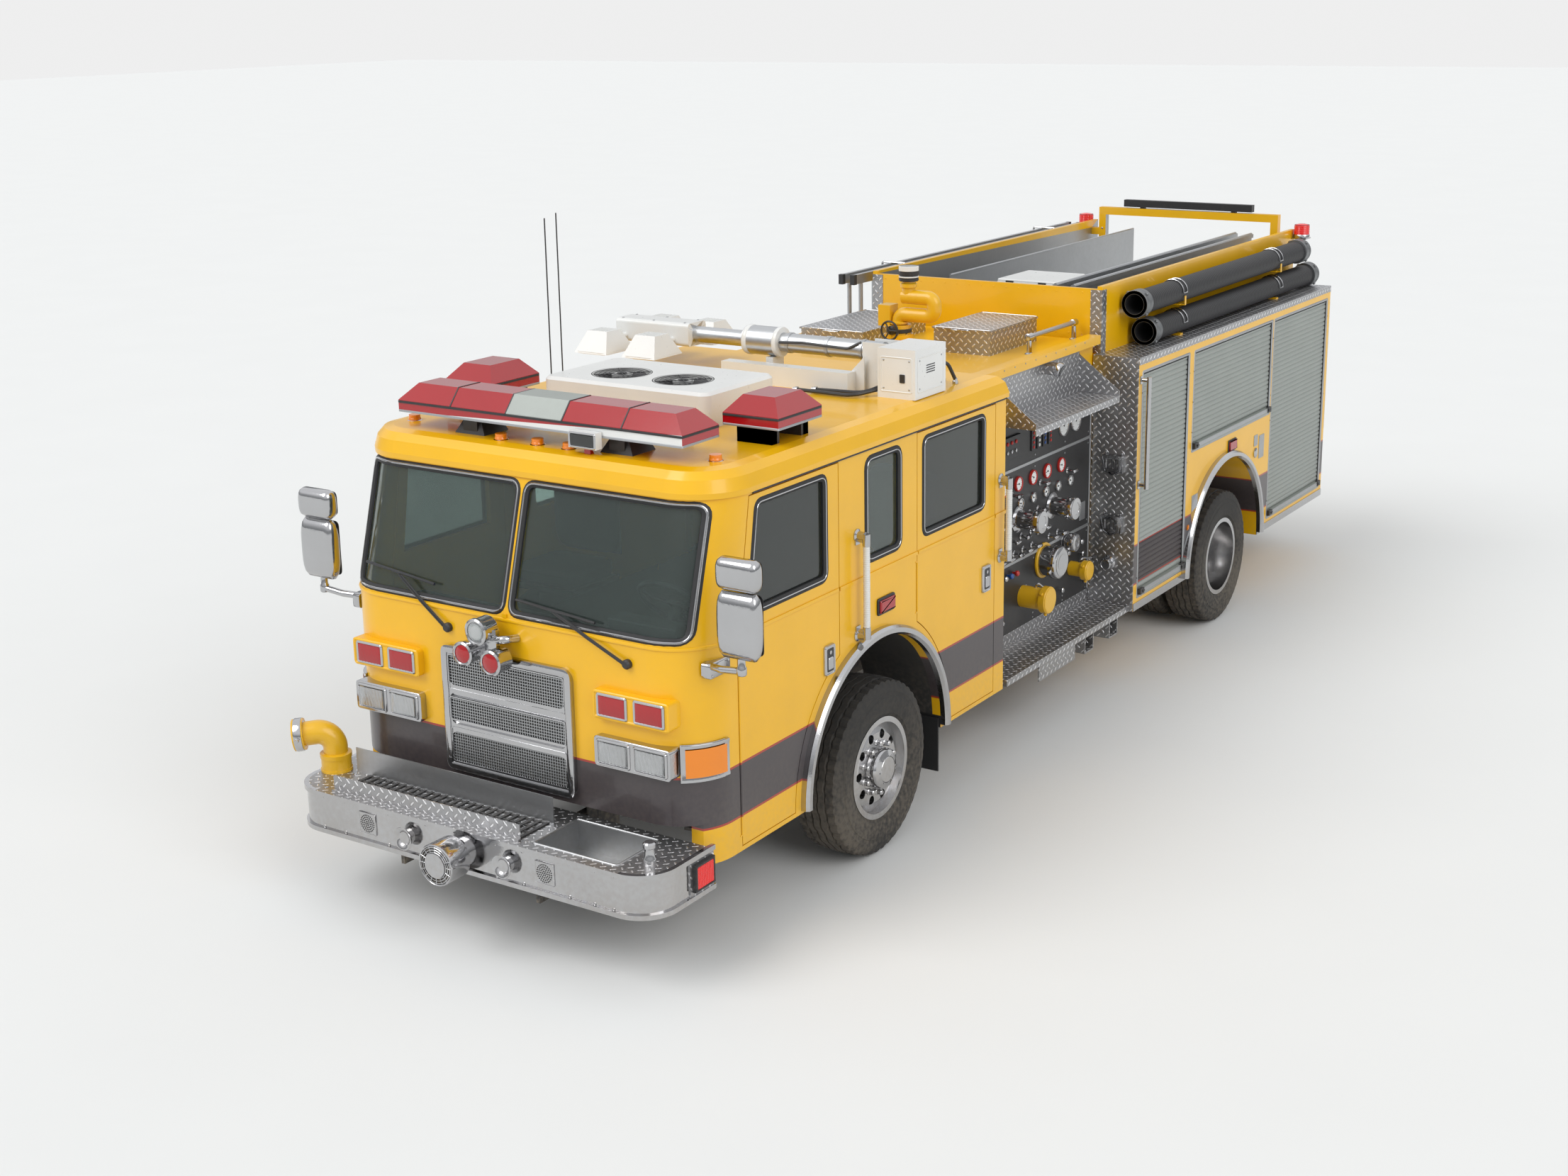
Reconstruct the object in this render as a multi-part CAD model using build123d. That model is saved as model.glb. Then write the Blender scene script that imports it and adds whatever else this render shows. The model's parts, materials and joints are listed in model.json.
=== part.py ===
from build123d import *
import math
import os

# Pumper fire truck, millimetres. X is across the truck and positive on the driver's side,
# the truck faces -Y, Z is up from the ground. Origin: ground point under the middle.

# Overall stations along the truck
FRONT_OVERHANG = 2380
WHEELBASE = 5200
REAR_OVERHANG = 2600
LENGTH = FRONT_OVERHANG + WHEELBASE + REAR_OVERHANG
FRONT_AXLE_Y = -LENGTH / 2 + FRONT_OVERHANG
REAR_AXLE_Y = FRONT_AXLE_Y + WHEELBASE

# Clearances
RUNNING_GAP = 0.3
SEAT_GAP = 0.3
PANEL_GAP = 6

# Wheels and tyres
TYRE_RADIUS = 520
TYRE_WIDTH = 305
BEAD_RADIUS = 290
RIM_BORE = 270
WHEEL_OUTER_X = 1262
DUAL_SPACING = 345
AXLE_Z = TYRE_RADIUS
STUB_RADIUS = 45
KINGPIN_X = 925
KINGPIN_RADIUS = 24
STEER_ARM = 180

# Chassis frame
RAIL_X = 430
RAIL_FLANGE = 80
RAIL_GAUGE = 10
RAIL_BOTTOM = 640
RAIL_TOP = 900
FRAME_REAR_Y = REAR_AXLE_Y + 2260

# Bumper
BUMPER_FRONT_Y = FRONT_AXLE_Y - 2190
BUMPER_BACK_Y = FRONT_AXLE_Y - 1650
BUMPER_HALF = 1250
BUMPER_BOTTOM = 431
BUMPER_TOP = 670
BUMPER_CORNER = 210
BUMPER_GAUGE = 12
SHELL_INSET = 14

# Cab
CAB_HALF = 1218
CAB_FRONT_Y = FRONT_AXLE_Y - 1744
CAB_REAR_Y = FRONT_AXLE_Y + 1563
CAB_BOTTOM = 520
CAB_NOSE_BOTTOM = 745
CAB_NOSE_BACK_Y = CAB_FRONT_Y + 120
BELT_Z = 1690
GUTTER_Z = 2414
ROOF_Z = 2560
CAB_RAKE = 205
CAB_CORNER = 300
CAB_WALL = 55
ROOF_GAUGE = 30
FLOOR_Z = 1000
FLOOR_GAUGE = 40
ARCH_Z = 550
ARCH_RADIUS = 750
ARCH_TRIM_WIDTH = 55
ARCH_TRIM_PROUD = 50
DOOR_ARCH_RADIUS = ARCH_RADIUS + 110
TILT_Y = CAB_FRONT_Y + 124
TILT_Z = 805
TILT_PIN_RADIUS = 22
TILT_EAR_GAP = 12
TILT_EAR = 40
TILT_SKIN = 8
FRAME_FRONT_Y = TILT_Y - 32

# Body, hose bed and pump house
BODY_HALF = 1250
BODY_FRONT_Y = REAR_AXLE_Y - 1693
BODY_REAR_Y = REAR_AXLE_Y + 2304
BODY_BOTTOM = 516
BODY_TOP = 2350
BODY_WALL = 30
LOWER_LOCKER_X = 650
UPPER_LOCKER_X = 900
LOCKER_STEP_Z = 1450
BED_WALL_TOP = 2820
BED_FLOOR_Z = 1860
PUMP_FRONT_Y = CAB_REAR_Y + 60
PUMP_HALF = 894
PUMP_TOP = 2450
STEP_TOP = 560
STEP_HALF = 1218
STEP_GAUGE = 45
REAR_STEP_DEPTH = LENGTH / 2 - BODY_REAR_Y


def slab(x0, x1, y0, y1, z0, z1):
    """Box between two corners."""
    centre = ((x0 + x1) / 2, (y0 + y1) / 2, (z0 + z1) / 2)
    return Pos(*centre) * Box(abs(x1 - x0), abs(y1 - y0), abs(z1 - z0))


def rod(start, end, radius):
    """Round bar between two points."""
    start = Vector(*start)
    along = Vector(*end) - start
    seat = Plane(origin=start, z_dir=along)
    return seat * Cylinder(radius, along.length, align=(Align.CENTER, Align.CENTER, Align.MIN))


def pipe(points, radius, bend):
    """Round bar along straight runs joined by arcs."""
    path = FilletPolyline(*points, radius=bend)
    section = Plane(origin=path @ 0, z_dir=path % 0) * Circle(radius)
    return sweep(section, path=path)


def turned(points, y, z):
    """Solid of revolution about a line along X; points are (x, radius)."""
    return Pos(0, y, z) * revolve(make_face(Polyline(*points, close=True)), axis=Axis.X)


def plate_yz(points, x0, x1):
    """Flat plate with its outline in the side view; points are (y, z)."""
    face = make_face(Polyline(*[(x0, y, z) for y, z in points], close=True))
    return extrude(face, amount=abs(x1 - x0), dir=(math.copysign(1, x1 - x0), 0, 0))


def plate_xz(points, y0, y1):
    """Flat plate with its outline in the front view; points are (x, z)."""
    face = make_face(Polyline(*[(x, y0, z) for x, z in points], close=True))
    return extrude(face, amount=abs(y1 - y0), dir=(0, math.copysign(1, y1 - y0), 0))


def other_side(shape):
    """The same piece on the other side of the truck."""
    return mirror(shape, about=Plane.YZ)


def both_sides(shape):
    """The piece and its mirror image."""
    return Part() + [shape, other_side(shape)]


def join(pieces):
    """One shape from a list of pieces."""
    return Part() + list(pieces)


def save(name, shape):
    """Write one named piece."""
    export_step(shape, os.path.join("parts", name + ".step"))


# Wheels: profiles are (x from the wheel's outer plane, radius), for the driver's side.
def tyre(outer_x):
    """Plain tyre whose outer sidewall bulges to outer_x."""
    width = TYRE_WIDTH
    shape = [
        (0.12, BEAD_RADIUS), (0.12, BEAD_RADIUS + 14), (0.0, BEAD_RADIUS + 95), (0.035, TYRE_RADIUS - 55),
        (0.12, TYRE_RADIUS - 8), (0.3, TYRE_RADIUS), (0.7, TYRE_RADIUS),
        (0.88, TYRE_RADIUS - 8), (0.965, TYRE_RADIUS - 55), (1.0, BEAD_RADIUS + 95),
        (0.88, BEAD_RADIUS + 14), (0.88, BEAD_RADIUS),
    ]
    return turned([(outer_x - share * width, radius) for share, radius in shape], 0, 0)


def rim_barrel(outer_x):
    """Drop-centre rim ring inside a tyre."""
    width = TYRE_WIDTH
    points = [
        (outer_x - 0.06 * width, BEAD_RADIUS + 12), (outer_x - 0.12 * width, BEAD_RADIUS + 12),
        (outer_x - 0.12 * width, BEAD_RADIUS), (outer_x - 0.88 * width, BEAD_RADIUS),
        (outer_x - 0.88 * width, BEAD_RADIUS + 12), (outer_x - 0.94 * width, BEAD_RADIUS + 12),
        (outer_x - 0.94 * width, RIM_BORE), (outer_x - 0.06 * width, RIM_BORE),
    ]
    return turned(points, 0, 0)


HAND_HOLES = 10
HAND_HOLE_RADIUS = 27
HAND_HOLE_CIRCLE = 195
FRONT_DISC_X = WHEEL_OUTER_X - 45
FRONT_DISC_GAUGE = 24
FRONT_HUB_RADIUS = 118
FRONT_HUB_NOSE = 75
DRUM_RADIUS = 200


def hand_holes(disc_x, depth):
    """Ring of hand holes through a wheel disc."""
    cutters = []
    for index in range(HAND_HOLES):
        angle = 2 * math.pi * index / HAND_HOLES
        y = HAND_HOLE_CIRCLE * math.cos(angle)
        z = HAND_HOLE_CIRCLE * math.sin(angle)
        cutters.append(rod((disc_x - depth, y, z), (disc_x + depth, y, z), HAND_HOLE_RADIUS))
    return cutters


def front_wheel():
    """Front rim with its disc, hub and brake drum, axis along X through the origin."""
    disc = turned([
        (FRONT_DISC_X - FRONT_DISC_GAUGE - 30, RIM_BORE + 5), (FRONT_DISC_X - 30, RIM_BORE + 5),
        (FRONT_DISC_X, FRONT_HUB_RADIUS + 90), (FRONT_DISC_X, FRONT_HUB_RADIUS - 10),
        (FRONT_DISC_X - FRONT_DISC_GAUGE, FRONT_HUB_RADIUS - 10),
        (FRONT_DISC_X - FRONT_DISC_GAUGE, FRONT_HUB_RADIUS + 90),
    ], 0, 0)
    disc = disc - hand_holes(FRONT_DISC_X, 90)
    nose = FRONT_DISC_X + FRONT_HUB_NOSE
    bore = STUB_RADIUS + RUNNING_GAP
    hub = turned([
        (KINGPIN_X + 75, bore), (KINGPIN_X + 75, DRUM_RADIUS), (KINGPIN_X + 165, DRUM_RADIUS),
        (KINGPIN_X + 165, FRONT_HUB_RADIUS), (FRONT_DISC_X + 20, FRONT_HUB_RADIUS),
        (nose - 20, FRONT_HUB_RADIUS - 28), (nose, FRONT_HUB_RADIUS - 45), (nose, 0),
        (nose - 40, 0), (nose - 40, bore),
    ], 0, 0)
    return join([rim_barrel(WHEEL_OUTER_X), disc, hub])


REAR_DISC_X = WHEEL_OUTER_X - TYRE_WIDTH - (DUAL_SPACING - TYRE_WIDTH) / 2
REAR_HUB_RADIUS = 130
REAR_HUB_NOSE = 150
REAR_DRUM_BACK = 90


def rear_wheel_pair():
    """Both rims of a twin rear wheel with the hub and drum, axis along X."""
    inner_x = WHEEL_OUTER_X - DUAL_SPACING
    gauge = 14
    slope = 60
    outer_disc = turned([
        (REAR_DISC_X, REAR_HUB_RADIUS - 10), (REAR_DISC_X + gauge, REAR_HUB_RADIUS - 10),
        (REAR_DISC_X + gauge, 215), (REAR_DISC_X + slope + gauge, RIM_BORE + 5),
        (REAR_DISC_X + slope, RIM_BORE + 5), (REAR_DISC_X, 225),
    ], 0, 0)
    inner_disc = turned([
        (REAR_DISC_X, REAR_HUB_RADIUS - 10), (REAR_DISC_X - gauge, REAR_HUB_RADIUS - 10),
        (REAR_DISC_X - gauge, 215), (REAR_DISC_X - slope - gauge, RIM_BORE + 5),
        (REAR_DISC_X - slope, RIM_BORE + 5), (REAR_DISC_X, 225),
    ], 0, 0)
    discs = join([outer_disc, inner_disc]) - hand_holes(REAR_DISC_X, 90)
    nose = REAR_DISC_X + REAR_HUB_NOSE
    bore = STUB_RADIUS + RUNNING_GAP
    back = inner_x - TYRE_WIDTH + REAR_DRUM_BACK
    hub = turned([
        (back, bore), (back, DRUM_RADIUS), (back + 150, DRUM_RADIUS), (back + 150, REAR_HUB_RADIUS),
        (REAR_DISC_X + 40, REAR_HUB_RADIUS), (nose - 40, REAR_HUB_RADIUS - 20),
        (nose - 8, REAR_HUB_RADIUS - 60), (nose, 0), (nose - 50, 0), (nose - 50, bore),
    ], 0, 0)
    return join([rim_barrel(WHEEL_OUTER_X), rim_barrel(inner_x), discs, hub])


def wheels():
    """Wheels and tyres at their stations, driver's side first."""
    inner_x = WHEEL_OUTER_X - DUAL_SPACING
    front_seat = Pos(0, FRONT_AXLE_Y, AXLE_Z)
    rear_seat = Pos(0, REAR_AXLE_Y, AXLE_Z)
    stations = [
        ("front_wheel", front_seat * front_wheel()),
        ("front_tyre", front_seat * tyre(WHEEL_OUTER_X)),
        ("rear_wheels", rear_seat * rear_wheel_pair()),
        ("rear_tyres", rear_seat * join([tyre(WHEEL_OUTER_X), tyre(inner_x)])),
    ]
    for name, shape in stations:
        save(name + "_left", shape)
        save(name + "_right", other_side(shape))


# Running gear under the frame
BEAM_HALF = 42
FORK_GAP = 0.3


def knuckle():
    """Steering knuckle on the driver's side: fork, kingpin bore, stub and steering arm."""
    arm_low = AXLE_Z - BEAM_HALF - FORK_GAP
    arm_high = AXLE_Z + BEAM_HALF + FORK_GAP
    y = FRONT_AXLE_Y
    post = slab(KINGPIN_X + 38, KINGPIN_X + 70, y - 70, y + 70, arm_low - 45, arm_high + 45)
    ears = [
        slab(KINGPIN_X - 38, KINGPIN_X + 70, y - 45, y + 45, arm_high, arm_high + 45),
        slab(KINGPIN_X - 38, KINGPIN_X + 70, y - 45, y + 45, arm_low - 45, arm_low),
    ]
    stub = rod((KINGPIN_X + 60, y, AXLE_Z), (FRONT_DISC_X + FRONT_HUB_NOSE - 45, y, AXLE_Z), STUB_RADIUS)
    arm = slab(KINGPIN_X - 18, KINGPIN_X + 18, y + 30, y + STEER_ARM + 24, arm_low - 45, arm_low - 15)
    ball = rod((KINGPIN_X, y + STEER_ARM, arm_low - 95), (KINGPIN_X, y + STEER_ARM, arm_low - 40), 14)
    bore = rod((KINGPIN_X, y, arm_low - 60), (KINGPIN_X, y, arm_high + 60), KINGPIN_RADIUS + RUNNING_GAP)
    return join([post, stub, arm, ball] + ears) - bore


def track_rod():
    """Rod between the two steering arms."""
    y = FRONT_AXLE_Y + STEER_ARM
    z = AXLE_Z - BEAM_HALF - FORK_GAP - 80
    reach = KINGPIN_X
    bar = rod((-reach, y, z), (reach, y, z), 18)
    eyes = [rod((side * reach, y, z - 24), (side * reach, y, z + 24), 28) for side in (-1, 1)]
    bores = [rod((side * reach, y, z - 30), (side * reach, y, z + 30), 14 + RUNNING_GAP) for side in (-1, 1)]
    return join([bar] + eyes) - bores


def front_axle():
    """Dropped beam with kingpins and spring seats."""
    y = FRONT_AXLE_Y
    drop = 70
    low = AXLE_Z - drop
    profile = [
        (-KINGPIN_X, AXLE_Z - BEAM_HALF), (-KINGPIN_X + 130, AXLE_Z - BEAM_HALF), (-KINGPIN_X + 230, low - 40),
        (KINGPIN_X - 230, low - 40), (KINGPIN_X - 130, AXLE_Z - BEAM_HALF), (KINGPIN_X, AXLE_Z - BEAM_HALF),
        (KINGPIN_X, AXLE_Z + BEAM_HALF), (KINGPIN_X - 140, AXLE_Z + BEAM_HALF), (KINGPIN_X - 240, low + 40),
        (-KINGPIN_X + 240, low + 40), (-KINGPIN_X + 140, AXLE_Z + BEAM_HALF), (-KINGPIN_X, AXLE_Z + BEAM_HALF),
    ]
    beam = plate_xz(profile, y - 35, y + 35)
    pins = []
    for side in (-1, 1):
        x = side * KINGPIN_X
        pins.append(rod((x, y, AXLE_Z - 88), (x, y, AXLE_Z + 88), KINGPIN_RADIUS))
        pins.append(slab(side * (RAIL_X - RAIL_FLANGE), side * RAIL_X, y - 90, y + 90, low + 30, SPRING_LOW))
    return join([beam] + pins)


SPRING_HALF = 680
SPRING_EYE = 24
LEAF_GAUGE = 11
LEAVES = 5
SPRING_LOW = AXLE_Z + 12
REAR_SPRING_X = 470
REAR_SPRING_WIDTH = 75
AXLE_TUBE = 72


def leaf_pack(x0, x1, axle_y, low):
    """Stacked leaves, longest on top, shortest below."""
    leaves = []
    for index in range(LEAVES):
        reach = SPRING_HALF - 110 * (LEAVES - 1 - index)
        z = low + index * LEAF_GAUGE
        leaves.append(slab(x0, x1, axle_y - reach, axle_y + reach, z, z + LEAF_GAUGE))
    return join(leaves)


def leaf_springs():
    """Front springs under the rails and rear springs outside them, with their hangers."""
    top = SPRING_LOW + LEAVES * LEAF_GAUGE
    front = [leaf_pack(RAIL_X - RAIL_FLANGE, RAIL_X, FRONT_AXLE_Y, SPRING_LOW)]
    for end in (-1, 1):
        y = FRONT_AXLE_Y + end * (SPRING_HALF - 45)
        front.append(slab(RAIL_X - RAIL_FLANGE, RAIL_X, y - 45, y + 45, top, RAIL_BOTTOM))
    low = AXLE_Z + AXLE_TUBE
    high = low + LEAVES * LEAF_GAUGE
    x1 = REAR_SPRING_X + REAR_SPRING_WIDTH
    rear = [leaf_pack(REAR_SPRING_X, x1, REAR_AXLE_Y, low)]
    for end in (-1, 1):
        y = REAR_AXLE_Y + end * (SPRING_HALF - 45)
        rear.append(slab(RAIL_X, x1, y - 45, y + 45, high, high + 90))
    return join([both_sides(join(front)), both_sides(join(rear))])


def rear_axle():
    """Banjo axle: tube, bowl, nose and the two stubs that carry the hubs."""
    y = REAR_AXLE_Y
    drum_back = WHEEL_OUTER_X - DUAL_SPACING - TYRE_WIDTH + REAR_DRUM_BACK
    tube_end = drum_back - 12
    tube = rod((-tube_end, y, AXLE_Z), (tube_end, y, AXLE_Z), AXLE_TUBE)
    bowl = rod((0, y - 150, AXLE_Z), (0, y + 110, AXLE_Z), 205)
    nose = rod((0, y - 330, AXLE_Z), (0, y - 150, AXLE_Z), 95)
    stub_end = REAR_DISC_X + REAR_HUB_NOSE - 55
    stub = rod((-stub_end, y, AXLE_Z), (stub_end, y, AXLE_Z), STUB_RADIUS)
    return join([tube, bowl, nose, stub])


ENGINE_HALF = 360
ENGINE_FRONT_Y = FRONT_AXLE_Y - 1150
ENGINE_REAR_Y = FRONT_AXLE_Y + 250
ENGINE_TOP = 1360
GEARBOX_REAR_Y = FRONT_AXLE_Y + 1100
SHAFT_Z = 760
SHAFT_RADIUS = 45


def drive_line():
    """Engine and gearbox as one plain heavy block, with the propeller shaft."""
    block = slab(-ENGINE_HALF + 30, ENGINE_HALF - 30, ENGINE_FRONT_Y, ENGINE_REAR_Y, SHAFT_Z - 60, ENGINE_TOP)
    gearbox = slab(-190, 190, ENGINE_REAR_Y, GEARBOX_REAR_Y, SHAFT_Z - 110, SHAFT_Z + 190)
    return join([block, gearbox, drive_shaft()])


def drive_shaft():
    """Propeller shaft from the gearbox back to the axle nose."""
    start = (0, GEARBOX_REAR_Y, SHAFT_Z)
    end = (0, REAR_AXLE_Y - 330, AXLE_Z)
    shaft = rod(start, end, SHAFT_RADIUS)
    return shaft - rod((0, REAR_AXLE_Y - 330, AXLE_Z), (0, REAR_AXLE_Y, AXLE_Z), 110)


CROSSMEMBERS = [FRONT_AXLE_Y + 1350, FRONT_AXLE_Y + 2250, REAR_AXLE_Y - 1150, REAR_AXLE_Y + 750, FRAME_REAR_Y - 60]
CAB_REST_Y = CAB_REAR_Y - 120


def frame_rails():
    """Two channel rails with crossmembers, bumper horns, tilt pins, engine bearers and cab rests."""
    rail = join([
        slab(RAIL_X - RAIL_GAUGE, RAIL_X, FRAME_FRONT_Y, FRAME_REAR_Y, RAIL_BOTTOM, RAIL_TOP),
        slab(RAIL_X - RAIL_FLANGE, RAIL_X, FRAME_FRONT_Y, FRAME_REAR_Y, RAIL_TOP - RAIL_GAUGE, RAIL_TOP),
        slab(RAIL_X - RAIL_FLANGE, RAIL_X, FRAME_FRONT_Y, FRAME_REAR_Y, RAIL_BOTTOM, RAIL_BOTTOM + RAIL_GAUGE),
        slab(RAIL_X - RAIL_FLANGE, RAIL_X, BUMPER_FRONT_Y + SHELL_INSET + BUMPER_GAUGE, FRAME_FRONT_Y + 260,
             BUMPER_BOTTOM + 50, RAIL_BOTTOM),
        rod((RAIL_X - 30, TILT_Y, TILT_Z), (RAIL_X + TILT_EAR_GAP + TILT_EAR, TILT_Y, TILT_Z), TILT_PIN_RADIUS),
        slab(RAIL_X - RAIL_FLANGE, RAIL_X, CAB_REST_Y - 60, CAB_REST_Y + 60, RAIL_TOP, FLOOR_Z - SEAT_GAP),
        slab(ENGINE_HALF - 30, RAIL_X - RAIL_GAUGE, ENGINE_FRONT_Y + 150, ENGINE_FRONT_Y + 250,
             SHAFT_Z - 20, SHAFT_Z + 60),
        slab(ENGINE_HALF - 30, RAIL_X - RAIL_GAUGE, ENGINE_REAR_Y - 250, ENGINE_REAR_Y - 150,
             SHAFT_Z - 20, SHAFT_Z + 60),
    ])
    cross = []
    inner = RAIL_X - RAIL_GAUGE
    for y in CROSSMEMBERS:
        cross.append(slab(-inner, inner, y - 40, y + 40, RAIL_TOP - 90, RAIL_TOP - RAIL_GAUGE))
    return join([rail, other_side(rail)] + cross)


TANK_REAR_Y = FRAME_REAR_Y - 160


def tank_and_exhaust():
    """Fuel tank under the rails behind the rear axle, and the exhaust on the officer's side."""
    shell = slab(-320, 320, REAR_AXLE_Y + 900, TANK_REAR_Y - 300, 470, RAIL_BOTTOM)
    lug = slab(-RAIL_X, RAIL_X, REAR_AXLE_Y + 1000, REAR_AXLE_Y + 1060, RAIL_BOTTOM - 30, RAIL_BOTTOM)
    return join([shell, lug, Pos(0, 400, 0) * lug, exhaust()])


def exhaust():
    """Silencer below the pump compartment with its inlet, tail pipe and hanger."""
    y0 = FRONT_AXLE_Y + 1750
    x = -650
    z = 380
    can = rod((x, y0, z), (x, y0 + 880, z), 108)
    inlet = pipe([(-RAIL_X, y0 - 440, 700), (x, y0 - 440, 700), (x, y0 - 330, z), (x, y0 + 20, z)], 50, 70)
    outlet = pipe([(x, y0 + 860, z), (x, y0 + 1210, z), (-1150, y0 + 1350, z - 20)], 50, 80)
    hanger = join([
        slab(x - 20, x + 20, y0 + 420, y0 + 460, z + 90, RAIL_BOTTOM),
        slab(x - 20, -RAIL_X + RAIL_FLANGE, y0 + 420, y0 + 460, RAIL_BOTTOM - 40, RAIL_BOTTOM),
    ])
    return join([can, inlet, outlet, hanger])


# Bumper and what stands on it
def bumper_plan(grow):
    """Plan outline of the bumper, moved in or out by grow."""
    front = BUMPER_FRONT_Y - grow
    half = BUMPER_HALF + grow
    outline = Polygon(
        (-half, front), (half, front), (half, BUMPER_BACK_Y), (-half, BUMPER_BACK_Y), align=None)
    corners = outline.vertices().sort_by(Axis.Y)[0:2]
    return fillet(corners, BUMPER_CORNER + grow)


def front_bumper():
    """Polished wrap-round channel with rolled edges."""
    height = BUMPER_TOP - BUMPER_BOTTOM
    outer = Pos(0, 0, BUMPER_BOTTOM) * extrude(bumper_plan(-SHELL_INSET), amount=height)
    inner = Pos(0, 0, BUMPER_BOTTOM - 1) * extrude(bumper_plan(-SHELL_INSET - BUMPER_GAUGE), amount=height + 2)
    bead = 26
    low = Pos(0, 0, BUMPER_BOTTOM) * extrude(bumper_plan(0), amount=bead)
    high = Pos(0, 0, BUMPER_TOP - bead) * extrude(bumper_plan(0), amount=bead)
    shell = join([outer, low, high]) - inner
    backs = slab(-BUMPER_HALF - 9, BUMPER_HALF + 9, BUMPER_BACK_Y, BUMPER_BACK_Y + 400, 0, 900)
    return shell - backs


DECK_GAUGE = 6
WELL = (455, 975, FRONT_AXLE_Y - 2110, FRONT_AXLE_Y - 1770)
WELL_DEPTH = 165
TRAY_X0 = -1036
TRAY_X1 = 375
TRAY_FRONT_Y = FRONT_AXLE_Y - 2130
TRAY_BACK_Y = FRONT_AXLE_Y - 1865
TRAY_FRONT_TOP = 760
TRAY_BACK_TOP = 815
DECK_BACK_Y = CAB_FRONT_Y + 50


def bumper_deck():
    """Tread plate deck with a hose tray and a well, and the end plates."""
    deck = Pos(0, 0, BUMPER_TOP - DECK_GAUGE) * extrude(bumper_plan(-SHELL_INSET - BUMPER_GAUGE), amount=DECK_GAUGE)
    x0, x1, y0, y1 = WELL
    low = BUMPER_TOP - WELL_DEPTH
    well = slab(x0 - 4, x1 + 4, y0 - 4, y1 + 4, low, BUMPER_TOP) - slab(x0, x1, y0, y1, low + 4, BUMPER_TOP + 1)
    deck = deck - slab(x0, x1, y0, y1, BUMPER_TOP - 60, BUMPER_TOP + 1)
    deck = deck - slab(-BUMPER_HALF, BUMPER_HALF, DECK_BACK_Y, BUMPER_BACK_Y + 10, 0, BUMPER_TOP + 1)
    back = slab(TRAY_X0, TRAY_X1, TRAY_BACK_Y - DECK_GAUGE, TRAY_BACK_Y, BUMPER_TOP, TRAY_BACK_TOP)
    front = slab(TRAY_X0 + 90, TRAY_X1, TRAY_FRONT_Y - DECK_GAUGE, TRAY_FRONT_Y, BUMPER_TOP, TRAY_FRONT_TOP)
    lip = slab(TRAY_X0 + 90, TRAY_X1, TRAY_FRONT_Y - 26, TRAY_FRONT_Y, BUMPER_TOP, BUMPER_TOP + 14)
    return join([deck, well, back, front, lip])


SIREN_RADIUS = 112
SIREN_Z = 540
HORN_X = (-375, 310)
SPEAKER_X = (-665, 565)
TOW_EYE_X = (-450, 487)


def bumper_fittings():
    """Siren, trumpet horns, speaker grilles, end lamps, tow eyes and the discharge elbow."""
    face = BUMPER_FRONT_Y + SHELL_INSET
    front = -LENGTH / 2
    siren = join([
        rod((0, face, SIREN_Z), (0, face - 60, SIREN_Z), SIREN_RADIUS * 0.72),
        rod((0, face - 55, SIREN_Z), (0, front + 12, SIREN_Z), SIREN_RADIUS),
        rod((0, front + 12, SIREN_Z), (0, front, SIREN_Z), SIREN_RADIUS * 0.6),
    ])
    pieces = [siren]
    for x in HORN_X:
        cup = Plane(origin=(x, face, 545), z_dir=(0, -1, 0)) * Cone(
            30, 55, 30, align=(Align.CENTER, Align.CENTER, Align.MIN))
        pieces.append(cup)
    for x in SPEAKER_X:
        pieces.append(slab(x - 60, x + 60, face - 6, face, 495, 615))
    for x in TOW_EYE_X:
        pieces.append(tow_eye(x))
    for side in (-1, 1):
        x = side * (BUMPER_HALF - SHELL_INSET)
        pieces.append(slab(x, x + side * 28, BUMPER_BACK_Y - 195, BUMPER_BACK_Y - 25, 480, 625))
    pieces.append(discharge_elbow())
    return join(pieces)


def tow_eye(x):
    """Forged eye below the bumper, on a frame horn."""
    y = BUMPER_FRONT_Y + 85
    top = BUMPER_TOP - WELL_DEPTH - 5
    ring = slab(x - 12, x + 12, y - 45, y + 45, 360, top)
    hole = rod((x - 20, y, 400), (x + 20, y, 400), 22)
    bar = slab(math.copysign(RAIL_X, x), x, y - 45, y + 45, top - 30, top)
    return join([ring - hole, bar])


ELBOW_X = -1165
ELBOW_Y = FRONT_AXLE_Y - 1900
ELBOW_RADIUS = 68


def discharge_elbow():
    """Painted elbow on the deck with a chrome cap that faces forward and outward."""
    top = 905
    cap_x = ELBOW_X - 150
    cap_y = ELBOW_Y - 120
    riser = pipe([(ELBOW_X, ELBOW_Y, BUMPER_TOP), (ELBOW_X, ELBOW_Y, top), (cap_x, cap_y, top - 20)],
                 ELBOW_RADIUS, 90)
    flange = rod((ELBOW_X, ELBOW_Y, BUMPER_TOP), (ELBOW_X, ELBOW_Y, BUMPER_TOP + 90), ELBOW_RADIUS + 16)
    drift = Vector(cap_x - ELBOW_X, cap_y - ELBOW_Y, -20).normalized()
    start = Vector(cap_x, cap_y, top - 20) - drift * 30
    cap = rod(tuple(start), tuple(start + drift * 60), ELBOW_RADIUS + 22)
    return join([riser, flange, cap])


# Cab
def cab_plan(z, grow, front_y):
    """Plan outline of the cab with rounded front corners at one height."""
    half = CAB_HALF + grow
    front = front_y - grow
    rear = CAB_REAR_Y + grow
    outline = Polygon((-half, front), (half, front), (half, rear), (-half, rear), align=None)
    corners = outline.vertices().sort_by(Axis.Y)[0:2]
    return Pos(0, 0, z) * fillet(corners, CAB_CORNER + grow)


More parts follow.
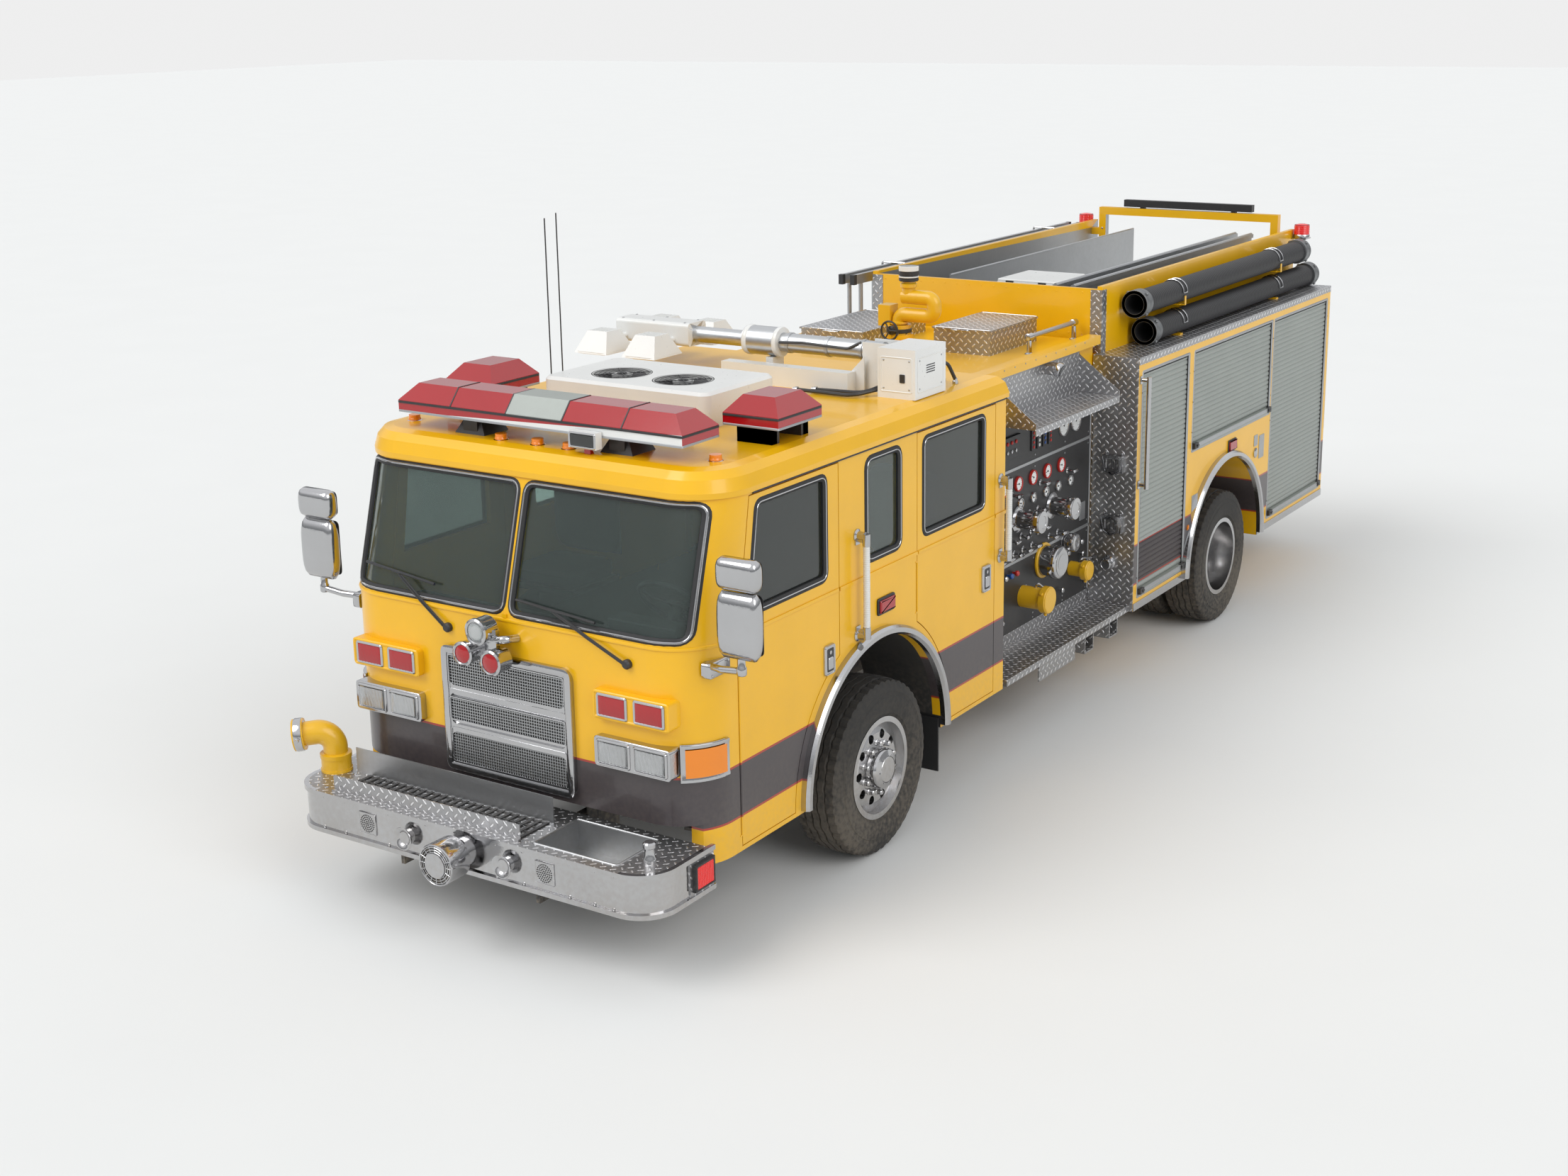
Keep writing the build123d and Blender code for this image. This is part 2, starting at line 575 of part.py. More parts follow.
def cab_solid(grow, low):
    """Full outside form of the cab up to the gutter, moved in or out by grow."""
    body = extrude(cab_plan(low, grow, CAB_FRONT_Y), amount=BELT_Z - low)
    top_front = CAB_FRONT_Y + CAB_RAKE
    upper = loft([cab_plan(BELT_Z, grow, CAB_FRONT_Y), cab_plan(GUTTER_Z, grow, top_front)], ruled=True)
    return join([body, upper])


def side_prism(points, x_low, x_high):
    """Cutter for one side of the cab; points are (y, z)."""
    return plate_yz(points, x_low, x_high)


DOORS = [
    # name, front edge y, front edge y at the gutter, rear edge y, window (y0, y0 top, y1)
    ("front_door", FRONT_AXLE_Y - 1360, FRONT_AXLE_Y - 1236, FRONT_AXLE_Y - 394,
     (FRONT_AXLE_Y - 1264, FRONT_AXLE_Y - 1173, FRONT_AXLE_Y - 520)),
    ("rear_door", FRONT_AXLE_Y + 467, FRONT_AXLE_Y + 467, FRONT_AXLE_Y + 1426,
     (FRONT_AXLE_Y + 540, FRONT_AXLE_Y + 540, FRONT_AXLE_Y + 1285)),
]
DOOR_BOTTOM = CAB_BOTTOM + 30
DOOR_TOP = GUTTER_Z - 20
WINDOW_LOW = 1780
WINDOW_HIGH = 2348
MID_WINDOW = (FRONT_AXLE_Y - 100, FRONT_AXLE_Y + 272, 1775, 2352, 60)
HINGE_RADIUS = 7
HINGE_PIN = 2.5
REAR_OPENING_HALF = 800


def door_outline(front, front_top, rear, grow):
    """Side outline of a door, moved out by grow."""
    return [
        (front - grow, DOOR_BOTTOM - grow), (rear + grow, DOOR_BOTTOM - grow), (rear + grow, DOOR_TOP + grow),
        (front_top - grow, DOOR_TOP + grow), (front - grow, BELT_Z),
    ]


def arch_cutter(radius, y):
    """Cylinder along X across the whole truck at a wheel arch."""
    return rod((-BODY_HALF - 200, y, ARCH_Z), (BODY_HALF + 200, y, ARCH_Z), radius)


def hinge_spans(front):
    """Height spans of a door's piano hinge, clear of the wheel arch."""
    reach = abs(front - FRONT_AXLE_Y)
    low = DOOR_BOTTOM + 60
    if reach < DOOR_ARCH_RADIUS:
        low = ARCH_Z + math.sqrt(DOOR_ARCH_RADIUS ** 2 - reach ** 2) + 60
    return low, BELT_Z - 60


def door_panel(entry):
    """One door leaf, as thick as the cab wall, with its window cut and its hinge barrel."""
    name, front, front_top, rear, window = entry
    leaf = side_prism(door_outline(front, front_top, rear, 0), CAB_HALF - CAB_WALL, CAB_HALF)
    hole = side_prism(window_outline(window, 0), CAB_HALF - 200, CAB_HALF + 50)
    leaf = leaf - hole - arch_cutter(DOOR_ARCH_RADIUS, FRONT_AXLE_Y)
    low, high = hinge_spans(front)
    axis_y = front - PANEL_GAP / 2
    barrel = rod((CAB_HALF, axis_y, low), (CAB_HALF, axis_y, high), HINGE_RADIUS)
    bore = rod((CAB_HALF, axis_y, low - 1), (CAB_HALF, axis_y, high + 1), HINGE_PIN + RUNNING_GAP)
    handle_y = rear - 115
    handle = slab(CAB_HALF, CAB_HALF + 14, handle_y - 45, handle_y + 45, 1240, 1400)
    return join([leaf, barrel, handle]) - bore


def window_outline(window, grow):
    """Side outline of a door window."""
    y0, y0_top, y1 = window
    return [
        (y0 - grow, WINDOW_LOW - grow), (y1 + grow, WINDOW_LOW - grow), (y1 + grow, WINDOW_HIGH + grow),
        (y0_top - grow, WINDOW_HIGH + grow),
    ]


GLASS_GAUGE = 6
GLASS_INSET = 18
GLASS_FIT = 0.2


def door_glass(entry):
    """Pane set in a door's window."""
    outer = CAB_HALF - GLASS_INSET
    return side_prism(window_outline(entry[4], -GLASS_FIT), outer - GLASS_GAUGE, outer)


def rounded_window(grow):
    """Face of the fixed side window, with rounded corners, in the side view."""
    y0, y1, z0, z1, radius = MID_WINDOW
    face = Plane(origin=(0, (y0 + y1) / 2, (z0 + z1) / 2), x_dir=(0, 1, 0), z_dir=(1, 0, 0)) * \
        RectangleRounded(y1 - y0 + 2 * grow, z1 - z0 + 2 * grow, radius + grow)
    return face


SCREEN_LOW = 1722
SCREEN_HIGH = 2388
SCREEN_X0 = 24
SCREEN_X1 = 1128
SCREEN_RADIUS = 60


def screen_prism(grow):
    """Front-view prism of the driver's windscreen half."""
    width = SCREEN_X1 - SCREEN_X0 + 2 * grow
    height = SCREEN_HIGH - SCREEN_LOW + 2 * grow
    seat = Plane(origin=((SCREEN_X0 + SCREEN_X1) / 2, CAB_FRONT_Y - 100, (SCREEN_LOW + SCREEN_HIGH) / 2),
                 x_dir=(1, 0, 0), z_dir=(0, 1, 0))
    face = seat * RectangleRounded(width, height, SCREEN_RADIUS + grow)
    return extrude(face, amount=CAB_CORNER + CAB_RAKE + 95, dir=(0, 1, 0))


def cab_glass():
    """Two-piece windscreen and the two fixed side windows."""
    sheet = cab_solid(-GLASS_INSET, BELT_Z - 300) - cab_solid(-GLASS_INSET - GLASS_GAUGE, BELT_Z - 301)
    screen = sheet & screen_prism(-GLASS_FIT)
    outer = CAB_HALF - GLASS_INSET
    side = Pos(outer - GLASS_GAUGE, 0, 0) * extrude(rounded_window(-GLASS_FIT), amount=GLASS_GAUGE, dir=(1, 0, 0))
    return join([both_sides(screen), both_sides(side)])


def cab_shell():
    """Hollow cab wall: nose, sides with door openings, arches, windows, and the rear wall."""
    shell = cab_solid(0, CAB_BOTTOM) - cab_solid(-CAB_WALL, CAB_BOTTOM - 1)
    shell = shell - slab(-2000, 2000, CAB_FRONT_Y - 50, CAB_NOSE_BACK_Y, CAB_BOTTOM - 1, CAB_NOSE_BOTTOM)
    shell = shell - arch_cutter(ARCH_RADIUS, FRONT_AXLE_Y)
    cutters = []
    lugs = []
    for name, front, front_top, rear, window in DOORS:
        opening = side_prism(door_outline(front, front_top, rear, PANEL_GAP), CAB_HALF - 200, CAB_HALF + 50)
        opening = opening - rod((0, FRONT_AXLE_Y, ARCH_Z), (2000, FRONT_AXLE_Y, ARCH_Z), DOOR_ARCH_RADIUS - PANEL_GAP)
        low, high = hinge_spans(front)
        axis_y = front - PANEL_GAP / 2
        barrel_room = rod((CAB_HALF, axis_y, low - 8), (CAB_HALF, axis_y, high + 8), HINGE_RADIUS + 5)
        cutters += [opening, other_side(opening), barrel_room, other_side(barrel_room)]
        for end, way in ((low, -1), (high, 1)):
            pin = rod((CAB_HALF, axis_y, end - way * 40), (CAB_HALF, axis_y, end + way * 7), HINGE_PIN)
            seat = slab(CAB_HALF - 6, CAB_HALF + HINGE_PIN, axis_y - 20, axis_y,
                        end + way * SEAT_GAP, end + way * 8)
            lugs += [pin, seat, other_side(pin), other_side(seat)]
    side_window = extrude(rounded_window(0), amount=CAB_HALF + 50, dir=(1, 0, 0))
    cutters += [side_window, other_side(side_window), screen_prism(0), other_side(screen_prism(0))]
    rear_gap = slab(-REAR_OPENING_HALF, REAR_OPENING_HALF, CAB_REAR_Y - 200, CAB_REAR_Y + 1,
                    CAB_BOTTOM - 1, FLOOR_Z)
    rail_room = slab(RAIL_X - RAIL_FLANGE - 12, RAIL_X + 12, CAB_FRONT_Y + TILT_SKIN, CAB_FRONT_Y + 200,
                     CAB_BOTTOM - 1, FLOOR_Z)
    shell = shell - cutters - [rear_gap, rail_room, other_side(rail_room)]
    return join([shell] + lugs)


WELL_INNER_X = 560
TUNNEL_HALF = 480
TUNNEL_FRONT_Y = ENGINE_FRONT_Y - 100
TUNNEL_REAR_Y = FRONT_AXLE_Y + 560
TUNNEL_TOP = 1440
TUNNEL_WALL = 20
LINER_GAUGE = 12
FLAP_GAUGE = 12
STEP_DEPTH = 324
STEP_SPANS = [
    # front y, rear y of each door step
    (FRONT_AXLE_Y - 1330, FRONT_AXLE_Y - 790),
    (FRONT_AXLE_Y + 790, FRONT_AXLE_Y + 1400),
]


def cab_floor():
    """Floor with engine tunnel, wheel wells, door steps, tilt ears and the front mud flaps."""
    half = CAB_HALF - CAB_WALL
    edge = half - PANEL_GAP
    plate = extrude(cab_plan(FLOOR_Z, -CAB_WALL, CAB_FRONT_Y), amount=FLOOR_GAUGE)
    top = FLOOR_Z + FLOOR_GAUGE + 1
    openings = [slab(edge, half + 1, entry[1] - 12, entry[3] + 12, FLOOR_Z - 1, top) for entry in DOORS]
    tunnel = slab(-TUNNEL_HALF, TUNNEL_HALF, TUNNEL_FRONT_Y, TUNNEL_REAR_Y, FLOOR_Z, TUNNEL_TOP)
    room = slab(-TUNNEL_HALF + TUNNEL_WALL, TUNNEL_HALF - TUNNEL_WALL, TUNNEL_FRONT_Y + TUNNEL_WALL,
                TUNNEL_REAR_Y - TUNNEL_WALL, FLOOR_Z - 1, TUNNEL_TOP - TUNNEL_WALL)
    outer_radius = ARCH_RADIUS + LINER_GAUGE
    liner = rod((WELL_INNER_X - LINER_GAUGE, FRONT_AXLE_Y, ARCH_Z), (half, FRONT_AXLE_Y, ARCH_Z), outer_radius)
    hollow = rod((WELL_INNER_X, FRONT_AXLE_Y, ARCH_Z), (half + 1, FRONT_AXLE_Y, ARCH_Z), ARCH_RADIUS)
    below = slab(-2000, 2000, FRONT_AXLE_Y - 1000, FRONT_AXLE_Y + 1000, -400, CAB_BOTTOM)
    inner_below = slab(-700, 700, FRONT_AXLE_Y - 1000, FRONT_AXLE_Y + 1000, -400, RAIL_TOP + 30)
    wells = both_sides(liner) - below - inner_below
    steps = []
    for y0, y1 in STEP_SPANS:
        steps.append(slab(edge - STEP_DEPTH, edge, y0, y1, CAB_BOTTOM + 15, CAB_BOTTOM + 35))
        steps.append(slab(edge - STEP_DEPTH - 15, edge - STEP_DEPTH, y0, y1, CAB_BOTTOM + 15, FLOOR_Z))
        openings.append(slab(edge - STEP_DEPTH, half + 1, y0, y1, FLOOR_Z - 1, top))
    ear_x = RAIL_X + TILT_EAR_GAP
    ear = slab(ear_x, ear_x + TILT_EAR - 8, TILT_Y - 45, TILT_Y + 60, TILT_Z - 45, FLOOR_Z)
    eye = rod((ear_x - 5, TILT_Y, TILT_Z), (ear_x + TILT_EAR, TILT_Y, TILT_Z), TILT_PIN_RADIUS + RUNNING_GAP)
    cut = both_sides(join(openings))
    floor = join([plate - cut, tunnel, wells, both_sides(join(steps)), both_sides(ear)])
    floor = floor - [room, hollow, other_side(hollow), eye, other_side(eye)]
    return join([floor, mud_flaps()])


def mud_flaps():
    """Flaps behind the front wheels, hung from the wheel wells."""
    y1 = FRONT_AXLE_Y + ARCH_RADIUS - 4
    flap = slab(880, CAB_HALF - 10, y1 - FLAP_GAUGE, y1, 240, CAB_BOTTOM + 60)
    tab = slab(880, CAB_HALF - CAB_WALL - 12, y1, y1 + 10, CAB_BOTTOM + 10, CAB_BOTTOM + 60)
    return both_sides(join([flap, tab]))


ROOF_RINGS = [
    # height, growth over the cab plan
    (GUTTER_Z, 14), (GUTTER_Z + 30, 16), (GUTTER_Z + 95, -4), (ROOF_Z - 12, -40), (ROOF_Z, -95),
]


def cab_roof():
    """Roof cap with a rounded brow, hollow underneath."""
    front = CAB_FRONT_Y + CAB_RAKE
    cap = loft([cab_plan(z, grow, front) for z, grow in ROOF_RINGS], ruled=True)
    hollow = loft([
        cab_plan(GUTTER_Z - 1, -CAB_WALL, front), cab_plan(GUTTER_Z + 60, -CAB_WALL, front),
        cab_plan(ROOF_Z - ROOF_GAUGE, -CAB_WALL - 90, front),
    ], ruled=True)
    return cap - hollow


GRILLE_HALF = 445
GRILLE_LOW = 782
GRILLE_HIGH = 1492
GRILLE_PROUD = 24
GRILLE_BAR = 45


def grille():
    """Bright frame with three mesh windows on the nose."""
    front = CAB_FRONT_Y - GRILLE_PROUD
    frame = slab(-GRILLE_HALF, GRILLE_HALF, front, CAB_FRONT_Y, GRILLE_LOW, GRILLE_HIGH)
    frame = fillet(frame.edges().filter_by(Axis.Y), 70)
    rows = 3
    pitch = (GRILLE_HIGH - GRILLE_LOW - GRILLE_BAR) / rows
    holes = []
    for index in range(rows):
        low = GRILLE_LOW + GRILLE_BAR + index * pitch
        hole = slab(-GRILLE_HALF + GRILLE_BAR, GRILLE_HALF - GRILLE_BAR, front - 1, front + 12,
                    low, low + pitch - GRILLE_BAR)
        holes.append(fillet(hole.edges().filter_by(Axis.Y), 40))
    return frame - holes


LAMP_BOXES = [
    # x inner, x outer, z low, z high, front face in front of the nose
    (600, 1085, 1275, 1430, 42),
    (600, 1085, 1015, 1180, 42),
]
SIGNAL = (CAB_HALF - 130, CAB_HALF + 42, 985, 1190)


def nose_lamps():
    """Lamp boxes and wrap-round corner lamps on both sides of the grille, and the centre spot lamps."""
    form = cab_solid(0, CAB_BOTTOM)
    pieces = []
    for x0, x1, z0, z1, proud in LAMP_BOXES:
        box = slab(x0, x1, CAB_FRONT_Y - proud, CAB_FRONT_Y + 150, z0, z1)
        box = fillet(box.edges().filter_by(Axis.Y), 22)
        pieces.append(box - form)
    x0, x1, z0, z1 = SIGNAL
    swell = cab_solid(14, CAB_BOTTOM)
    wrap = (swell - form) & slab(x0, x1, CAB_FRONT_Y - 60, CAB_FRONT_Y + 235, z0, z1)
    pieces.append(wrap)
    return join([both_sides(join(pieces)), spot_lamps()])


SPOT_Y = CAB_FRONT_Y - 120


def spot_lamps():
    """Cluster above the grille: one clear spot over two red ones, on a bright stalk."""
    stalk = pipe([(80, CAB_FRONT_Y, 1600), (60, SPOT_Y + 40, 1610), (-40, SPOT_Y + 40, 1590)], 22, 30)
    pieces = [stalk]
    for x, z, radius in ((-60, 1655, 68), (-160, 1520, 62), (30, 1500, 66)):
        pieces.append(rod((x, SPOT_Y - 40, z), (x, SPOT_Y + 55, z), radius))
    pieces.append(slab(-150, 20, SPOT_Y + 20, SPOT_Y + 50, 1500, 1660))
    return join(pieces) - cab_solid(0, CAB_BOTTOM)


MIRROR_X = 1430
MIRROR_Y = FRONT_AXLE_Y - 1640
MIRROR_LOW = 1690
MIRROR_HIGH = 2200


def mirrors():
    """Two mirror heads on corner arms."""
    head = slab(MIRROR_X - 125, MIRROR_X + 125, MIRROR_Y - 55, MIRROR_Y + 40, MIRROR_LOW, MIRROR_HIGH)
    head = fillet(head.edges().filter_by(Axis.Z), 30)
    post = rod((MIRROR_X, MIRROR_Y, MIRROR_LOW - 80), (MIRROR_X, MIRROR_Y, MIRROR_LOW + 10), 22)
    arm = rod((MIRROR_X, MIRROR_Y, MIRROR_LOW - 60), (CAB_HALF - 80, CAB_FRONT_Y + 150, MIRROR_LOW - 90), 20)
    foot = slab(CAB_HALF - 40, CAB_HALF + 14, CAB_FRONT_Y + 110, CAB_FRONT_Y + 300, MIRROR_LOW - 160, MIRROR_LOW - 70)
    return both_sides(join([head, post, arm, foot]) - cab_solid(0, CAB_BOTTOM))


GRAB_RAILS = [
    # y, z low, z high on the cab side
    (FRONT_AXLE_Y - 205, 1375, 1950),
    (FRONT_AXLE_Y + 1500, 1410, 1910),
]
GRAB_STAND = 62
GRAB_RADIUS = 17


def grab_rail(x, y, z0, z1):
    """Upright grab rail on two stand-off brackets, on the driver's side."""
    bar = rod((x + GRAB_STAND, y, z0), (x + GRAB_STAND, y, z1), GRAB_RADIUS)
    feet = [rod((x, y, z), (x + GRAB_STAND, y, z), 14) for z in (z0 + 25, z1 - 25)]
    pads = [slab(x, x + 8, y - 22, y + 22, z - 28, z + 28) for z in (z0 + 25, z1 - 25)]
    return join([bar] + feet + pads)


def arch_trim(x, axle_y):
    """Polished half-round ring over a wheel arch, on the driver's side."""
    outer = ARCH_RADIUS + ARCH_TRIM_WIDTH
    proud = x + ARCH_TRIM_PROUD
    ring = turned([
        (x, ARCH_RADIUS), (proud - 18, ARCH_RADIUS), (proud, ARCH_RADIUS + 14), (proud, outer - 14),
        (proud - 18, outer), (x, outer),
    ], axle_y, ARCH_Z)
    return ring - slab(x - 100, x + 200, axle_y - 1000, axle_y + 1000, -1000, CAB_BOTTOM + 20)


def cab_trim():
    """Grab rails and polished arch rings on the cab."""
    rails = [grab_rail(CAB_HALF, y, z0, z1) for y, z0, z1 in GRAB_RAILS]
    return both_sides(join([arch_trim(CAB_HALF, FRONT_AXLE_Y)] + rails))


SEATS = [
    # x, y of the seat's back, cushion lift
    (640, FRONT_AXLE_Y - 180, 270),
    (-640, FRONT_AXLE_Y - 180, 270),
    (560, FRONT_AXLE_Y + 1470, 0),
    (-560, FRONT_AXLE_Y + 1470, 0),
    (0, FRONT_AXLE_Y + 1470, 0),
]
SEAT_WIDTH = 480
SEAT_FLOOR = FLOOR_Z + FLOOR_GAUGE


def cab_interior():
    """Seats as plain cushions on pedestals, with the dash and the steering wheel."""
    pieces = [dashboard()]
    half = SEAT_WIDTH / 2
    liner = arch_cutter(ARCH_RADIUS + LINER_GAUGE, FRONT_AXLE_Y)
    for x, back, lift in SEATS:
        base = SEAT_FLOOR + lift
        pedestal = slab(x - 150, x + 150, back - 420, back - 60, SEAT_FLOOR, base + 180) - liner
        cushion = slab(x - half, x + half, back - 520, back - 20, base + 180, base + 310)
        rest = slab(x - half, x + half, back - 120, back - 20, base + 310, base + 900)
        pieces.append(join([pedestal, fillet(cushion.edges().filter_by(Axis.Y), 40), rest]))
    return join(pieces)


DASH_Y = CAB_FRONT_Y + 420


def dashboard():
    """Dash shelf under the windscreen with the steering column and wheel."""
    half = CAB_HALF - CAB_WALL - 250
    front = CAB_FRONT_Y + CAB_WALL
    shelf = slab(-half, half, front, DASH_Y, 1330, 1640)
    hub = Vector(700, DASH_Y + 160, 1720)
    column = rod((700, DASH_Y - 60, 1500), tuple(hub), 30)
    tilt = Plane(origin=hub, z_dir=(0, 0.72, 0.69))
    ring = tilt * Torus(225, 16)
    spokes = [
        tilt * (Rot(0, 0, angle) * (Pos(112, 0, 0) * Box(225, 26, 12))) for angle in (90, 210, 330)
    ]
    return join([shelf, column, ring] + spokes)


# Roof gear, all on the cab
LIGHT_BAR_Y = (FRONT_AXLE_Y - 1440, FRONT_AXLE_Y - 1120)
LIGHT_BAR_HALF = 960
LIGHT_BAR_Z = (2650, 2805)
SIDE_BAR = (800, 1150, FRONT_AXLE_Y - 860, FRONT_AXLE_Y - 440)


def bar_form(x0, x1, y0, y1, z0, z1, slope_x, slope_y):
    """Light bar body: vertical band with a bevelled hood above."""
    mid = z0 + (z1 - z0) * 0.42
    base = slab(x0, x1, y0, y1, z0, mid)
    cx = (x0 + x1) / 2
    cy = (y0 + y1) / 2
    low = Pos(cx, cy, mid) * Rectangle(x1 - x0, y1 - y0)
    high = Pos(cx, cy, z1) * Rectangle(x1 - x0 - 2 * slope_x, y1 - y0 - 2 * slope_y)
    return join([base, loft([low, high], ruled=True)])


def roof_lights():
    """Main bar, a short bar on each side, marker lamps, flood lamp and aerials."""
    y0, y1 = LIGHT_BAR_Y
    z0, z1 = LIGHT_BAR_Z
    main = bar_form(-LIGHT_BAR_HALF, LIGHT_BAR_HALF, y0, y1, z0, z1, 90, 75)
    pieces = [main]
    for side in (-1, 1):
        x = side * 500
        pieces.append(slab(x - 50, x + 50, y0 + 60, y1 - 60, ROOF_Z, z0))
    x0, x1, sy0, sy1 = SIDE_BAR
    short = bar_form(x0, x1, sy0, sy1, z0, z1, 75, 85)
    for y in (sy0 + 60, sy1 - 60):
        short = join([short, slab((x0 + x1) / 2 - 110, (x0 + x1) / 2 + 110, y - 25, y + 25, ROOF_Z, z0)])
    pieces += [short, other_side(short), roof_fittings()]
    return join(pieces)


AC_HALF = 570
AC_Y = (FRONT_AXLE_Y - 690, FRONT_AXLE_Y)
AC_TOP = 2760
FAN_X = (-215, 215)
FAN_RADIUS = 165


def air_conditioner():
    """White roof unit with two fans sunk in its top."""
    y0, y1 = AC_Y
    body = slab(-AC_HALF, AC_HALF, y0, y1, ROOF_Z, AC_TOP)
    body = fillet(body.edges().filter_by(Axis.Z), 60)
    body = chamfer(body.faces().sort_by(Axis.Z)[-1].edges(), 18)
    centre_y = (y0 + y1) / 2 - 60
    wells = [rod((x, centre_y, AC_TOP - 30), (x, centre_y, AC_TOP + 5), FAN_RADIUS) for x in FAN_X]
    hubs = [rod((x, centre_y, AC_TOP - 30), (x, centre_y, AC_TOP - 4), 60) for x in FAN_X]
    return join([body - wells] + hubs)


MARKERS = [(-1030, -1250), (-265, -1400), (-12, -1400), (198, -1400), (1027, -1250)]
ANTENNAS = [(-800, -330), (-930, -70)]
ANTENNA_TOP = 3600


def roof_fittings():
    """Amber marker lamps, a small flood lamp and two whip aerials."""
    pieces = []
    for x, offset in MARKERS:
        y = FRONT_AXLE_Y + offset
        pieces.append(rod((x, y, ROOF_Z), (x, y, ROOF_Z + 32), 32))
    lamp_y = FRONT_AXLE_Y - 1468
    pieces.append(slab(275, 455, lamp_y - 27, lamp_y + 23, ROOF_Z + 35, ROOF_Z + 122))
    pieces.append(slab(345, 385, lamp_y + 13, lamp_y + 43, ROOF_Z, ROOF_Z + 60))
    for x, offset in ANTENNAS:
        y = FRONT_AXLE_Y + offset
        pieces.append(rod((x, y, ROOF_Z), (x, y, ROOF_Z + 60), 22))
        pieces.append(rod((x, y, ROOF_Z + 60), (x, y, ANTENNA_TOP), 4))
    return join(pieces)


# Light tower on the roof
TOWER_Y = FRONT_AXLE_Y + 750
TOWER_Z = 2790
TOWER_PIVOT_X = 790
MAST_RADIUS = 58
MAST_BORE = 50
MAST_LEFT_X = -130
INNER_RADIUS = 49.5
COLLAR_RADIUS = 88
COLLAR_LENGTH = 250
CHEEK = 12
CHEEK_GAP = 6
HEAD_X = -520


def tower_base():
    """White end box, base bar and the two cheeks that carry the mast."""
    box = slab(900, 1150, TOWER_Y - 190, TOWER_Y + 170, ROOF_Z, ROOF_Z + 290)
    bar = slab(-200, 700, TOWER_Y - 200, TOWER_Y - 110, ROOF_Z, ROOF_Z + 120)
    pieces = [box, bar]
    for side in (-1, 1):
        y0 = TOWER_Y + side * (MAST_RADIUS + CHEEK_GAP)
        pieces.append(slab(TOWER_PIVOT_X - 60, 900, y0, y0 + side * CHEEK, ROOF_Z, TOWER_Z + 60))
    pin_reach = MAST_RADIUS + CHEEK_GAP + CHEEK
    pieces.append(rod((TOWER_PIVOT_X, TOWER_Y - pin_reach, TOWER_Z),
                      (TOWER_PIVOT_X, TOWER_Y + pin_reach, TOWER_Z), 15))
    cradle_x = 60
    pieces.append(slab(cradle_x - 25, cradle_x + 25, TOWER_Y - 60, TOWER_Y + 60,
                       ROOF_Z, TOWER_Z - COLLAR_RADIUS - SEAT_GAP))
    gusset = plate_xz([(560, ROOF_Z), (760, ROOF_Z), (760, ROOF_Z + 210)], TOWER_Y - 110, TOWER_Y - 98)
    pieces.append(gusset)
    return join(pieces)


def tower_mast():
    """Outer mast tube with its root block and end collar."""
    root_x = TOWER_PIVOT_X + MAST_RADIUS
    tube = rod((MAST_LEFT_X, TOWER_Y, TOWER_Z), (root_x - 10, TOWER_Y, TOWER_Z), MAST_RADIUS)
    collar = rod((MAST_LEFT_X, TOWER_Y, TOWER_Z), (MAST_LEFT_X + COLLAR_LENGTH, TOWER_Y, TOWER_Z), COLLAR_RADIUS)
    bore = rod((MAST_LEFT_X - 1, TOWER_Y, TOWER_Z), (TOWER_PIVOT_X - 70, TOWER_Y, TOWER_Z), MAST_BORE)
    pin = rod((TOWER_PIVOT_X, TOWER_Y - 200, TOWER_Z), (TOWER_PIVOT_X, TOWER_Y + 200, TOWER_Z), 15 + RUNNING_GAP)
    return join([tube, collar]) - [bore, pin]


FLOOD_X = (-640, -1010)
FLOOD_OFFSET = 310
FLOOD_SIZE = (250, 290, 130)


def tower_head():
    """Inner mast tube with the head box and four flood lamps."""
    tube = rod((HEAD_X - 10, TOWER_Y, TOWER_Z), (TOWER_PIVOT_X - 80, TOWER_Y, TOWER_Z), INNER_RADIUS)
    head = slab(-1080, HEAD_X, TOWER_Y - 95, TOWER_Y + 95, TOWER_Z - 70, TOWER_Z + 75)
    pieces = [tube, fillet(head.edges().filter_by(Axis.X), 25)]
    length, width, height = FLOOD_SIZE
    for x in FLOOD_X:
        for side in (-1, 1):
            y = TOWER_Y + side * FLOOD_OFFSET
            low = Pos(x, y, TOWER_Z - 95) * Rectangle(length, width)
            high = Pos(x, y, TOWER_Z - 95 + height) * Rectangle(length * 0.6, width * 0.45)
            pieces.append(loft([low, high], ruled=True))
            pieces.append(rod((x, TOWER_Y, TOWER_Z - 30), (x, y, TOWER_Z - 30), 18))
    return join(pieces)


